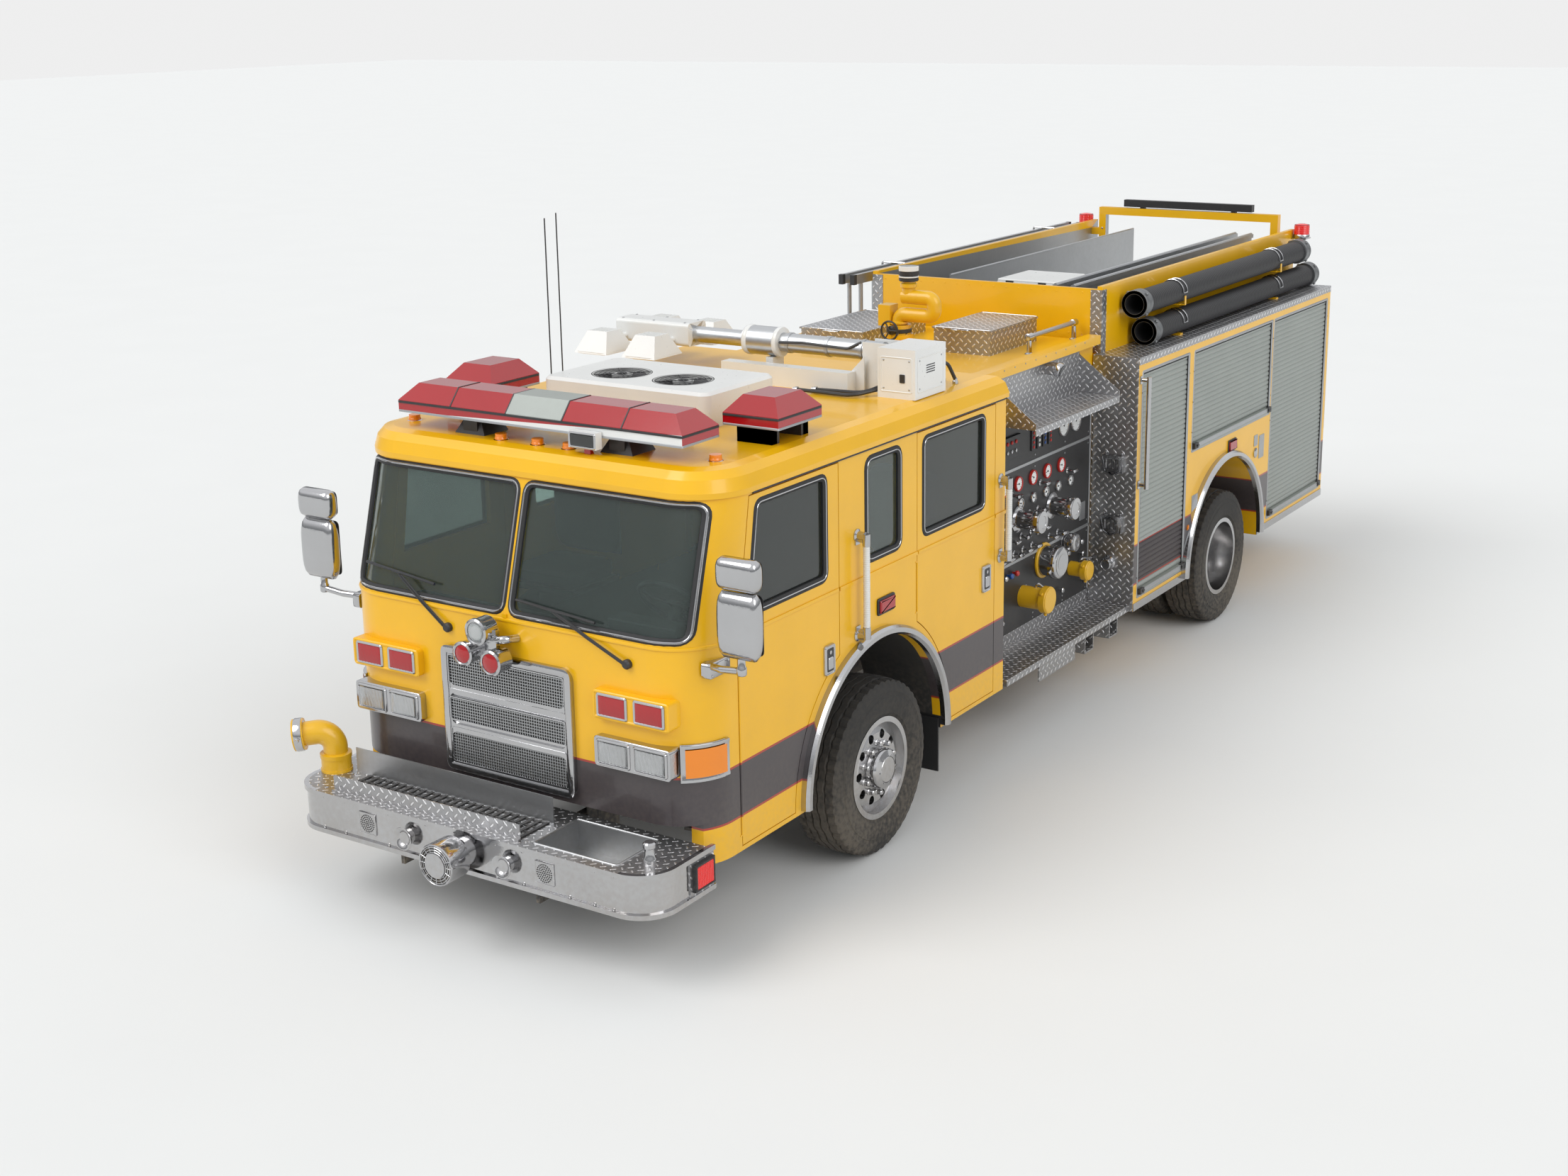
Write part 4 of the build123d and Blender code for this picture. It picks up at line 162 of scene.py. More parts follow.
def shared_group(
        name: str, inputs: Sequence[tuple[str, str, object]], outputs: Sequence[str], recipe: Recipe
) -> bpy.types.NodeTree:
    """A shader node group that is built once and then reused.

    Args:
        name: The group's name.
        inputs: Name, socket type and default of each input.
        outputs: Names of the float outputs.
        recipe: Fills the group from its tree, its input node and its output node.

    Returns:
        The node group.
    """
    found = bpy.data.node_groups.get(name)
    if found:
        return found
    group = bpy.data.node_groups.new(name, "ShaderNodeTree")
    for label, kind, default in inputs:
        socket = group.interface.new_socket(label, in_out="INPUT", socket_type=kind)
        if default is not None:
            socket.default_value = default
    for label in outputs:
        group.interface.new_socket(label, in_out="OUTPUT", socket_type="NodeSocketFloat")
    recipe(Tree(group), group.nodes.new("NodeGroupInput"), group.nodes.new("NodeGroupOutput"))
    return group


FLOAT = "NodeSocketFloat"
VECTOR = "NodeSocketVector"


def wear_group() -> bpy.types.NodeTree:
    """Group for uneven gloss, road dust and fine relief."""

    def fill(tree: Tree, start: bpy.types.Node, end: bpy.types.Node) -> None:
        """Wires the wear group."""
        place = start.outputs["Place"]
        broad = tree.noise(place, 1.7, 4.0)
        fine = tree.noise(place, 38.0, 5.0)
        drift = tree.sum("MULTIPLY", tree.sum("SUBTRACT", fine, 0.5), start.outputs["Spread"])
        tree.wire(tree.sum("ADD", start.outputs["Gloss"], drift, clamp=True), end.inputs["Roughness"])
        split = tree.add("ShaderNodeSeparateXYZ")
        tree.wire(place, split.inputs[0])
        low = tree.span(split.outputs["Z"], start.outputs["Clean above"], 0.1)
        speckle = tree.sum("ADD", tree.sum("MULTIPLY", fine, 0.7), tree.sum("MULTIPLY", broad, 0.6))
        dirty = tree.sum("MULTIPLY", tree.sum("ADD", low, 0.12), tree.span(speckle, 0.45, 0.85))
        tree.wire(tree.sum("MULTIPLY", dirty, start.outputs["Dust"], clamp=True), end.inputs["Dust"])
        tree.wire(tree.noise(place, start.outputs["Grain"], 2.0), end.inputs["Height"])

    return shared_group(
        "Road wear",
        [
            ("Place", VECTOR, None), ("Gloss", FLOAT, 0.4), ("Spread", FLOAT, 0.1), ("Dust", FLOAT, 0.0),
            ("Clean above", FLOAT, 1.1), ("Grain", FLOAT, 300.0)],
        ["Roughness", "Dust", "Height"], fill)


def tread_group() -> bpy.types.NodeTree:
    """Group for the raised bars of tread plate, laid on whichever way the face looks."""

    def fill(tree: Tree, start: bpy.types.Node, end: bpy.types.Node) -> None:
        """Wires the tread group."""
        place = tree.add("ShaderNodeSeparateXYZ")
        facing = tree.add("ShaderNodeSeparateXYZ")
        tree.wire(start.outputs["Place"], place.inputs[0])
        tree.wire(start.outputs["Facing"], facing.inputs[0])
        flat = tree.sum("GREATER_THAN", tree.sum("ABSOLUTE", facing.outputs["Z"]), 0.6)
        across = tree.sum("GREATER_THAN", tree.sum("ABSOLUTE", facing.outputs["X"]), 0.6)
        x, y, z = (place.outputs[axis] for axis in "XYZ")

        def choose(test: object, yes: object, no: object) -> bpy.types.NodeSocket:
            """yes where the test is 1, otherwise no."""
            chosen = tree.sum("MULTIPLY", test, yes)
            other = tree.sum("MULTIPLY", tree.sum("SUBTRACT", 1.0, test), no)
            return tree.sum("ADD", chosen, other)

        first = choose(across, y, x)
        second = choose(flat, y, z)
        pitch = start.outputs["Pitch"]
        along = tree.sum("DIVIDE", tree.sum("ADD", first, second), pitch)
        over = tree.sum("DIVIDE", tree.sum("SUBTRACT", first, second), pitch)
        cell = tree.sum("ADD", tree.sum("FLOOR", along), tree.sum("FLOOR", over))
        odd = tree.sum("GREATER_THAN", tree.sum("FLOORED_MODULO", cell, 2.0), 0.5)
        u = tree.sum("SUBTRACT", tree.sum("FRACT", along), 0.5)
        v = tree.sum("SUBTRACT", tree.sum("FRACT", over), 0.5)
        long_way = choose(odd, u, v)
        short_way = choose(odd, v, u)
        length = tree.sum("POWER", tree.sum("DIVIDE", long_way, 0.46), 2.0)
        breadth = tree.sum("POWER", tree.sum("DIVIDE", short_way, 0.15), 2.0)
        shape = tree.sum("ADD", length, breadth)
        tree.wire(tree.span(shape, 1.0, 0.35), end.inputs["Height"])

    return shared_group(
        "Tread bars", [("Place", VECTOR, None), ("Facing", VECTOR, None), ("Pitch", FLOAT, 0.05)],
        ["Height"], fill)


def stripe_group() -> bpy.types.NodeTree:
    """Group for the level stripe: its band and the thin lines along both edges."""

    def fill(tree: Tree, start: bpy.types.Node, end: bpy.types.Node) -> None:
        """Wires the stripe group."""
        split = tree.add("ShaderNodeSeparateXYZ")
        tree.wire(start.outputs["Place"], split.inputs[0])
        height = split.outputs["Z"]
        middle = tree.sum("ABSOLUTE", tree.sum("SUBTRACT", height, start.outputs["Middle"]))
        past = tree.sum("SUBTRACT", middle, start.outputs["Half"])
        tree.wire(tree.sum("LESS_THAN", past, 0.0), end.inputs["Band"])
        tree.wire(
            tree.sum("LESS_THAN", tree.sum("ABSOLUTE", tree.sum("ADD", past, 0.006)), 0.006),
            end.inputs["Line"])

    return shared_group(
        "Side stripe", [("Place", VECTOR, None), ("Middle", FLOAT, 0.86), ("Half", FLOAT, 0.15)],
        ["Band", "Line"], fill)


class Relief(Enum):
    """Which relief a finish carries besides its fine grain."""

    PLAIN = "plain"
    TREAD = "tread"


@dataclass(frozen=True)
class Finish:
    """One surface finish of the truck, made into a material when first used."""

    title: str
    slot: str
    colour: tuple[float, float, float]
    gloss: float = 0.4
    metal: float = 0.0
    spread: float = 0.12
    coat: float = 0.0
    dust: float = 0.0
    grain: float = 300.0
    grain_depth: float = 0.03
    relief: Relief = Relief.PLAIN
    pitch: float = 0.05
    striped: bool = False
    clear: float = 0.0
    glow: float = 0.0

    def material(self) -> bpy.types.Material:
        """The Blender material of this finish, built on first use."""
        found = bpy.data.materials.get(self.title)
        if found:
            return found
        made = bpy.data.materials.new(self.title)
        made.use_nodes = True
        made.node_tree.nodes.clear()
        tree = Tree(made.node_tree)
        shader = tree.add("ShaderNodeBsdfPrincipled")
        tree.wire(shader.outputs[0], tree.add("ShaderNodeOutputMaterial").inputs["Surface"])
        place = tree.add("ShaderNodeTexCoord").outputs["Object"]
        wear = tree.add("ShaderNodeGroup", node_tree=wear_group())
        for label, value in (
                ("Place", place), ("Gloss", self.gloss), ("Spread", self.spread), ("Dust", self.dust),
                ("Grain", self.grain)):
            tree.wire(value, wear.inputs[label])
        raised = self.raised(tree, place)
        tree.wire(self.tint(tree, place, wear.outputs["Dust"], raised), shader.inputs["Base Color"])
        tree.wire(wear.outputs["Roughness"], shader.inputs["Roughness"])
        tree.wire(self.surface(tree, wear.outputs["Height"], raised), shader.inputs["Normal"])
        shader.inputs["Metallic"].default_value = self.metal
        shader.inputs["Coat Weight"].default_value = self.coat
        shader.inputs["Coat Roughness"].default_value = 0.06
        shader.inputs["Transmission Weight"].default_value = self.clear
        if self.glow:
            shader.inputs["Emission Color"].default_value = (*self.colour, 1.0)
            shader.inputs["Emission Strength"].default_value = self.glow
        made.diffuse_color = (*self.colour, 1.0)
        return made

    def raised(self, tree: Tree, place: bpy.types.NodeSocket) -> bpy.types.NodeSocket | None:
        """Height of the finish's relief at each point, or None for a plain finish."""
        if self.relief is Relief.PLAIN:
            return None
        pattern = tree.add("ShaderNodeGroup", node_tree=tread_group())
        tree.wire(place, pattern.inputs["Place"])
        tree.wire(self.pitch, pattern.inputs["Pitch"])
        tree.wire(tree.add("ShaderNodeNewGeometry").outputs["True Normal"], pattern.inputs["Facing"])
        return pattern.outputs["Height"]

    def tint(
            self, tree: Tree, place: bpy.types.NodeSocket, dust: bpy.types.NodeSocket,
            raised: bpy.types.NodeSocket | None) -> bpy.types.NodeSocket:
        """Base colour with slight variation, bright relief, the stripe where there is one, and dust.

        Args:
            tree: The material's tree.
            place: Object coordinates.
            dust: Share of dust at each point.
            raised: Height of the relief, or None.

        Returns:
            The colour socket.
        """
        darker = tuple(part * 0.86 for part in self.colour)
        colour = tree.mix(tree.noise(place, 3.1), (*self.colour, 1.0), (*darker, 1.0))
        if raised:
            colour = tree.mix(raised, colour, (0.9, 0.9, 0.91, 1.0))
        if self.striped:
            stripe = tree.add("ShaderNodeGroup", node_tree=stripe_group())
            tree.wire(place, stripe.inputs["Place"])
            colour = tree.mix(stripe.outputs["Band"], colour, (0.055, 0.045, 0.048, 1.0))
            colour = tree.mix(stripe.outputs["Line"], colour, (0.38, 0.035, 0.02, 1.0))
        return tree.mix(dust, colour, (0.3, 0.25, 0.19, 1.0))

    def surface(
            self, tree: Tree, height: bpy.types.NodeSocket, raised: bpy.types.NodeSocket | None
    ) -> bpy.types.NodeSocket:
        """Normal from the fine grain and, where there is one, the relief.

        Args:
            tree: The material's tree.
            height: Height of the fine grain.
            raised: Height of the relief, or None.

        Returns:
            The normal socket.
        """
        grain = tree.add("ShaderNodeBump")
        grain.inputs["Strength"].default_value = 0.5
        grain.inputs["Distance"].default_value = self.grain_depth * 0.01
        tree.wire(height, grain.inputs["Height"])
        if not raised:
            return grain.outputs[0]
        bump = tree.add("ShaderNodeBump")
        bump.inputs["Strength"].default_value = 1.0
        bump.inputs["Distance"].default_value = 0.004
        tree.wire(raised, bump.inputs["Height"])
        tree.wire(grain.outputs[0], bump.inputs["Normal"])
        return bump.outputs[0]


YELLOW_PAINT = (0.91, 0.49, 0.002)


class Look(Enum):
    """The finishes of the truck."""

    YELLOW = Finish(
        "Yellow lacquer", "body_paint", YELLOW_PAINT, gloss=0.3, coat=0.3, dust=0.2, striped=True,
        spread=0.08, grain=160.0, grain_depth=0.04)
    PLAIN_YELLOW = Finish(
        "Yellow lacquer, no stripe", "body_paint", YELLOW_PAINT, gloss=0.3, coat=0.3, dust=0.15, spread=0.08,
        grain=160.0, grain_depth=0.04)
    POLISHED = Finish(
        "Polished steel", "polished_metal", (0.54, 0.54, 0.55), gloss=0.12, metal=1.0, spread=0.12, dust=0.3,
        grain=90.0, grain_depth=0.05)
    TREAD = Finish(
        "Tread plate", "tread_plate", (0.42, 0.42, 0.43), gloss=0.34, metal=0.9, dust=0.3, spread=0.2,
        relief=Relief.TREAD, pitch=0.062)
    ALLOY = Finish(
        "Wheel alloy", "wheel_alloy", (0.6, 0.6, 0.61), gloss=0.22, metal=1.0, dust=0.35, spread=0.18)
    BRUSHED = Finish(
        "Brushed sheet", "ladder_metal", (0.5, 0.51, 0.52), gloss=0.42, metal=1.0, dust=0.25, spread=0.2,
        grain=500.0, grain_depth=0.06)
    MAST = Finish("Mast tube", "mast_metal", (0.56, 0.57, 0.58), gloss=0.33, metal=1.0, spread=0.15)
    TYRE = Finish(
        "Tyre rubber", "tyre_rubber", (0.022, 0.021, 0.02), gloss=0.78, dust=0.3, grain=240.0,
        grain_depth=0.09)
    RUBBER = Finish("Black rubber", "black_housing", (0.018, 0.018, 0.019), gloss=0.6, grain=420.0)
    PLASTIC = Finish(
        "Black moulding", "black_housing", (0.024, 0.024, 0.026), gloss=0.42, grain=700.0, dust=0.2)
    CHASSIS = Finish(
        "Chassis black", "chassis_paint", (0.022, 0.022, 0.023), gloss=0.52, dust=0.8, spread=0.2,
        grain=120.0, grain_depth=0.08)
    FLOOR_LINER = Finish("Cab floor black", "cab_liner", (0.035, 0.034, 0.033), gloss=0.6, dust=0.5)
    WHITE = Finish(
        "White housing", "white_housing", (0.8, 0.8, 0.78), gloss=0.3, coat=0.25, spread=0.14, dust=0.1)
    SLATS = Finish(
        "Shutter slats", "shutter_slats", (0.36, 0.385, 0.36), gloss=0.46, metal=0.35, spread=0.14, dust=0.25
    )
    STRIPED_SLATS = Finish(
        "Shutter slats with stripe", "shutter_slats", (0.36, 0.385, 0.36), gloss=0.46, metal=0.3,
        spread=0.14, dust=0.25, striped=True)
    PANEL = Finish("Panel black", "panel_black", (0.02, 0.02, 0.021), gloss=0.4, dust=0.15, grain=520.0)
    HOSE = Finish("Hose cover", "hose_cover", (0.022, 0.022, 0.024), gloss=0.58, dust=0.15, grain=260.0)
    RED_LENS = Finish(
        "Red lens", "red_lens", (0.40, 0.004, 0.008), gloss=0.12, coat=0.6, spread=0.06, grain=40.0)
    RED_GLOW = Finish(
        "Red lamp", "red_lens", (0.75, 0.012, 0.01), gloss=0.15, coat=0.5, spread=0.06, glow=0.12)
    AMBER = Finish(
        "Amber lens", "red_lens", (0.85, 0.24, 0.006), gloss=0.16, coat=0.5, spread=0.06, glow=0.05)
    CLEAR_LENS = Finish(
        "Clear lens", "window_glass", (0.95, 0.97, 0.97), gloss=0.04, clear=0.96, spread=0.04)
    GLASS = Finish(
        "Tinted glass", "window_glass", (0.50, 0.62, 0.58), gloss=0.03, clear=0.95, spread=0.03, grain=6.0)
    DARK_GLASS = Finish(
        "Dark tinted glass", "window_glass", (0.16, 0.19, 0.18), gloss=0.03, clear=0.9, spread=0.03)
    CLOTH = Finish(
        "Upholstery cloth", "seat_cloth", (0.05, 0.052, 0.058), gloss=0.86, grain=900.0, grain_depth=0.2)
    DASH = Finish("Dash moulding", "seat_cloth", (0.06, 0.06, 0.062), gloss=0.6, grain=600.0)
    DIAL = Finish("Dial face", "white_housing", (0.82, 0.83, 0.82), gloss=0.35, spread=0.05)
    RED_TRIM = Finish("Red knobs", "red_lens", (0.5, 0.02, 0.015), gloss=0.38)
    BLUE_TRIM = Finish("Blue knobs", "panel_black", (0.02, 0.08, 0.3), gloss=0.38)
    BRASS = Finish("Yellow valve paint", "body_paint", (0.8, 0.45, 0.01), gloss=0.34, coat=0.3)
    GREY_COUPLING = Finish(
        "Grey coupling", "hose_cover", (0.2, 0.205, 0.21), gloss=0.42, metal=0.7, spread=0.15)


def fillet(corners: Sequence[Spot], radius: float, steps: int = 4, closed: bool = True) -> list[Vector]:
    """Path with each corner turned into a short arc.

    Args:
        corners: Corner points, in two or three dimensions.
        radius: Radius of the bends.
        steps: Points added for each bend.
        closed: True for a loop, False for an open path that keeps its ends.

    Returns:
        The points of the rounded path.
    """
    spots = [Vector(corner) for corner in corners]
    count = len(spots)
    path: list[Vector] = []
    for index, spot in enumerate(spots):
        if not closed and index in (0, count - 1):
            path.append(spot)
            continue
        before = (spots[index - 1] - spot).normalized()
        after = (spots[(index + 1) % count] - spot).normalized()
        half = before.angle(after) / 2
        reach = min(
            radius / max(math.tan(half), 1e-4), 0.48 * (spots[index - 1] - spot).length,
            0.48 * (spots[(index + 1) % count] - spot).length)
        first, last = spot + before * reach, spot + after * reach
        for step in range(steps + 1):
            share = step / steps
            path.append(first * (1 - share) ** 2 + spot * 2 * share * (1 - share) + last * share ** 2)
    return path


def oblong(width: float, height: float, radius: float, steps: int = 4) -> list[Vector]:
    """Rounded rectangle round the origin, as points in a plane."""
    u, v = width / 2, height / 2
    return fillet([(-u, -v), (u, -v), (u, v), (-u, v)], radius, steps)


def plaque(u: float, v: float, width: float, height: float, radius: float, steps: int = 4) -> list[Vector]:
    """Rounded rectangle round a point of a plane."""
    return [Vector((u + spot.x, v + spot.y)) for spot in oblong(width, height, radius, steps)]


def turns(count: int) -> list[float]:
    """Evenly spaced angles of one full turn, in radians."""
    return [2 * math.pi * step / count for step in range(count)]


def disc(radius: float, sides: int = 24) -> list[Vector]:
    """Circle round the origin, as points in a plane."""
    return [Vector((radius * math.cos(angle), radius * math.sin(angle))) for angle in turns(sides)]


def round_up(centre: Spot, radius: float, angle: float) -> tuple[float, float, float]:
    """Point on a level circle round a centre."""
    return centre[0] + radius * math.cos(angle), centre[1] + radius * math.sin(angle), centre[2]


def round_across(centre: Spot, radius: float, angle: float) -> tuple[float, float, float]:
    """Point on a circle round a centre that turns about the truck's width."""
    return centre[0], centre[1] + radius * math.cos(angle), centre[2] + radius * math.sin(angle)


def ribs(count: int, pitch: float, start: float, section: Sequence[Spot]) -> list[tuple[float, float]]:
    """Turned profile in which a section of radii and distances repeats at a pitch."""
    return [(radius, start + rib * pitch + shift) for rib in range(count) for radius, shift in section]


def swell(outline: Sequence[Vector], distance: float) -> list[Vector]:
    """Outline moved outwards by a distance, or inwards if it is negative."""
    moved = []
    for index, spot in enumerate(outline):
        along = outline[(index + 1) % len(outline)] - outline[index - 1]
        moved.append(spot + Vector((along.y, -along.x)).normalized() * distance)
    return moved


@dataclass(frozen=True)
class Face:
    """A flat working face: an origin and the directions of its two axes and of its normal."""

    origin: Vector
    u: Vector
    v: Vector

    @staticmethod
    def at(origin: Spot, u: Spot, v: Spot) -> Face:
        """Face through a point with the given axes."""
        return Face(Vector(origin), Vector(u).normalized(), Vector(v).normalized())

    @property
    def normal(self) -> Vector:
        """Direction that the face looks in."""
        return self.u.cross(self.v).normalized()

    def __call__(self, u: float, v: float) -> tuple[Vector, Vector]:
        """Point on the face and its normal."""
        return self.origin + self.u * u + self.v * v, self.normal


def side_face(sign: float, reach: float) -> Face:
    """Upright face on one side of the truck, at a reach from its middle."""
    return Face.at((sign * reach, 0, 0), (0, sign, 0), UP)


def front_face(y: float) -> Face:
    """Upright face that looks ahead."""
    return Face.at((0, y, 0), ACROSS, UP)


def rear_face(y: float, x: float = 0.0, z: float = 0.0) -> Face:
    """Upright face that looks back."""
    return Face.at((x, y, z), (-1, 0, 0), UP)


Surface = Callable[[float, float], tuple[Vector, Vector]]


class Piece:
    """A mesh in the making that rides on one body and may carry several finishes."""

    def __init__(self, name: str, body: str, look: Look) -> None:
        """Starts an empty piece.

        Args:
            name: The piece's name.
            body: The CAD body that it rides on.
            look: Its first finish.
        """
        self.name = name
        self.body = body
        self.mesh = bmesh.new()
        self.looks = [look]
        self.current = 0

    def use(self, look: Look) -> Piece:
        """Sets the finish for the shapes that follow."""
        if look not in self.looks:
            self.looks.append(look)
        self.current = self.looks.index(look)
        return self

    def skin(self, spots: Sequence[Spot], loops: Iterable[Sequence[int]]) -> None:
        """Adds points and the faces over them."""
        corners = [self.mesh.verts.new(spot) for spot in spots]
        for loop in loops:
            face = self.mesh.faces.new([corners[index] for index in loop])
            face.material_index = self.current
            face.smooth = True

    def loft(
            self, rings: Sequence[Sequence[Spot]], caps: bool = True, cyclic: bool = False,
            open_ring: bool = False) -> Piece:
        """Skin through rings with the same number of points.

        Args:
            rings: The rings, in order.
            caps: True to close the first and the last ring.
            cyclic: True to join the last ring to the first.
            open_ring: True where a ring isn't a closed loop.

        Returns:
            This piece.
        """
        count = len(rings[0])
        loops = []
        for ring in range(len(rings) if cyclic else len(rings) - 1):
            here, there = ring * count, (ring + 1) % len(rings) * count
            for spot in range(count - 1 if open_ring else count):
                after = (spot + 1) % count
                loops.append((here + spot, here + after, there + after, there + spot))
        if caps and not cyclic:
            loops.append(tuple(reversed(range(count))))
            loops.append(tuple(range((len(rings) - 1) * count, len(rings) * count)))
        self.skin([spot for ring in rings for spot in ring], loops)
        return self

    def box(self, low: Spot, high: Spot, turn: Matrix | None = None) -> Piece:
        """Block between two corners, turned about its middle if asked."""
        middle = (Vector(low) + Vector(high)) / 2
        half = (Vector(high) - Vector(low)) / 2
        rings = []
        for z in (-half.z, half.z):
            ring = [
                Vector((x, y, z)) for x,
                y in ((-half.x, -half.y), (half.x, -half.y), (half.x, half.y), (-half.x, half.y))]
            rings.append([middle + (turn @ spot if turn else spot) for spot in ring])
        return self.loft(rings)

    def side_box(self, sign: float, across: Spot, low: Spot, high: Spot) -> Piece:
        """Block on one side, from its two reaches across and its lower and upper corners along and up."""
        inner, outer = sorted((sign * across[0], sign * across[1]))
        return self.box((inner, *low), (outer, *high))

    def hoop(self, path: Sequence[Spot], radius: float, sides: int) -> Piece:
        """Round bar bent into a closed loop."""
        return self.tube(path, radius, sides, caps=False, closed=True)

    def slab(
            self, outline: Sequence[Spot], face: Surface, low: float, high: float, lip: float = 0.0
    ) -> Piece:
        """Plate of an outline between two heights over a face, with a chamfered upper rim if asked."""
        levels = [(0.0, low), (0.0, high - lip), (-lip, high)] if lip else [(0.0, low), (0.0, high)]
        flat = [Vector(spot) for spot in outline]
        rings = []
        for inset, level in levels:
            rings.append(
                [
                    at + normal * level for at,
                    normal in (face(*spot) for spot in (swell(flat, inset) if inset else flat))])
        return self.loft(rings)

    def band(
            self, outline: Sequence[Vector], face: Surface, inner: float, outer: float, low: float,
            high: float, soft: float = 0.3) -> Piece:
        """Closed strip along an outline on a face, such as a gasket or bezel.

        Args:
            outline: The line that it follows, in the face's two directions.
            face: The surface that it lies on.
            inner: Offset of its inner edge.
            outer: Offset of its outer edge.
            low: Height of its underside over the face.
            high: Height of its crown.
            soft: Share of its width that slopes at each edge.

        Returns:
            This piece.
        """
        slope = (outer - inner) * soft
        drop = (high - low) * 0.45
        section = [
            (inner, low), (inner, high - drop), (inner + slope, high), (outer - slope, high),
            (outer, high - drop), (outer, low)]
        rings = []
        for offset, level in section:
            rings.append(
                [at + normal * level for at, normal in (face(*spot) for spot in swell(outline, offset))])
        return self.loft(rings, caps=False)

    def tube(
            self, path: Sequence[Spot], radius: float, sides: int = 10, caps: bool = True,
            closed: bool = False) -> Piece:
        """Round bar along a path.

        Args:
            path: Points along its middle.
            radius: Its radius.
            sides: Number of sides.
            caps: True to close its ends.
            closed: True where the path is a loop.

        Returns:
            This piece.
        """
        spots = [Vector(spot) for spot in path]
        last = len(spots) - 1
        rings = []
        ahead = (spots[1] - spots[0]).normalized()
        across = ahead.orthogonal().normalized()
        for index, spot in enumerate(spots):
            before = spots[index - 1] if index or closed else spot
            after = spots[(index + 1) % len(spots)] if index < last or closed else spot
            now = (after - before).normalized()
            across = (ahead.rotation_difference(now) @ across).normalized()
            ahead = now
            over = ahead.cross(across)
            rings.append(
                [
                    spot + (across * math.cos(angle) + over * math.sin(angle)) * radius
                    for angle in turns(sides)])
        return self.loft(rings, caps=caps, cyclic=closed)

    def turned(
            self, profile: Sequence[tuple[float, float]], centre: Spot, axis: Spot, sides: int = 32,
            caps: bool = True, cyclic: bool = False) -> Piece:
        """Turned shape round an axis.

        Args:
            profile: Radius and distance along the axis of each ring.
            centre: Where the distance is nought.
            axis: Direction of the axis.
            sides: Number of sides.
            caps: True to close both ends.
            cyclic: True where the profile is a closed section.

        Returns:
            This piece.
        """
        along = Vector(axis).normalized()
        across = along.orthogonal().normalized()
        if abs(along.z) < 0.9:
            across = along.cross(Vector(UP)).normalized()
        over = along.cross(across)
        rings = []
        for radius, distance in profile:
            ring = []
            for angle in turns(sides):
                outward = across * math.cos(angle) + over * math.sin(angle)
                ring.append(Vector(centre) + along * distance + outward * max(radius, 1e-4))
            rings.append(ring)
        return self.loft(rings, caps=caps, cyclic=cyclic)

    def bolts(
            self, places: Iterable[Spot], axis: Spot, radius: float, height: float, sides: int = 8) -> Piece:
        """Row of domed bolt heads that stand along an axis."""
        for place in places:
            self.turned(
                [(radius, -0.001), (radius, height * 0.6), (radius * 0.6, height)], place, axis, sides)
        return self

    def lugs(
            self, profile: Sequence[Spot], count: int, start: float, middle: Vector, radius: float,
            sides: int) -> None:
        """Turned shapes that point outwards from a ring which lies along and up the truck."""
        for index in range(count):
            turn = 2 * math.pi * index / count + start
            axis = Vector((0, math.cos(turn), math.sin(turn)))
            self.turned(profile, middle + axis * radius, axis, sides)

    def knob(
            self, face: Surface, u: float, v: float, radius: float, height: float, neck: float = 0.4
    ) -> Piece:
        """Round knob on a face, with a thinner stem."""
        at, normal = face(u, v)
        return self.turned(
            [
                (radius * neck, 0), (radius * neck, height * 0.45), (radius * 0.9, height * 0.5),
                (radius, height * 0.62), (radius, height * 0.86), (radius * 0.7, height)],
            at, normal, 14)

    def done(self, round_off: float = 0.0, steps: int = 2, seam: float = 35.0) -> bpy.types.Object:
        """Finishes the piece.

        Args:
            round_off: Width of the bevel on its edges, or 0 for none.
            steps: Segments of that bevel.
            seam: Angle in degrees over which an edge shades as a corner.

        Returns:
            The object, in place on its body.
        """
        bmesh.ops.recalc_face_normals(self.mesh, faces=self.mesh.faces)
        data = bpy.data.meshes.new(self.name)
        self.mesh.to_mesh(data)
        self.mesh.free()
        for look in self.looks:
            data.materials.append(look.value.material())
        data.set_sharp_from_angle(angle=math.radians(seam))
        made = bpy.data.objects.new(self.name, data)
        bpy.context.scene.collection.objects.link(made)
        if round_off:
            bevel = made.modifiers.new("Rounding", "BEVEL")
            bevel.width = round_off
            bevel.segments = steps
            bevel.limit_method = "ANGLE"
            bevel.angle_limit = math.radians(50)
            bevel.harden_normals = True
            bevel.use_clamp_overlap = True
        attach(made, self.body)
        LOG.info("made %s with %d faces", self.name, len(data.polygons))
        return made


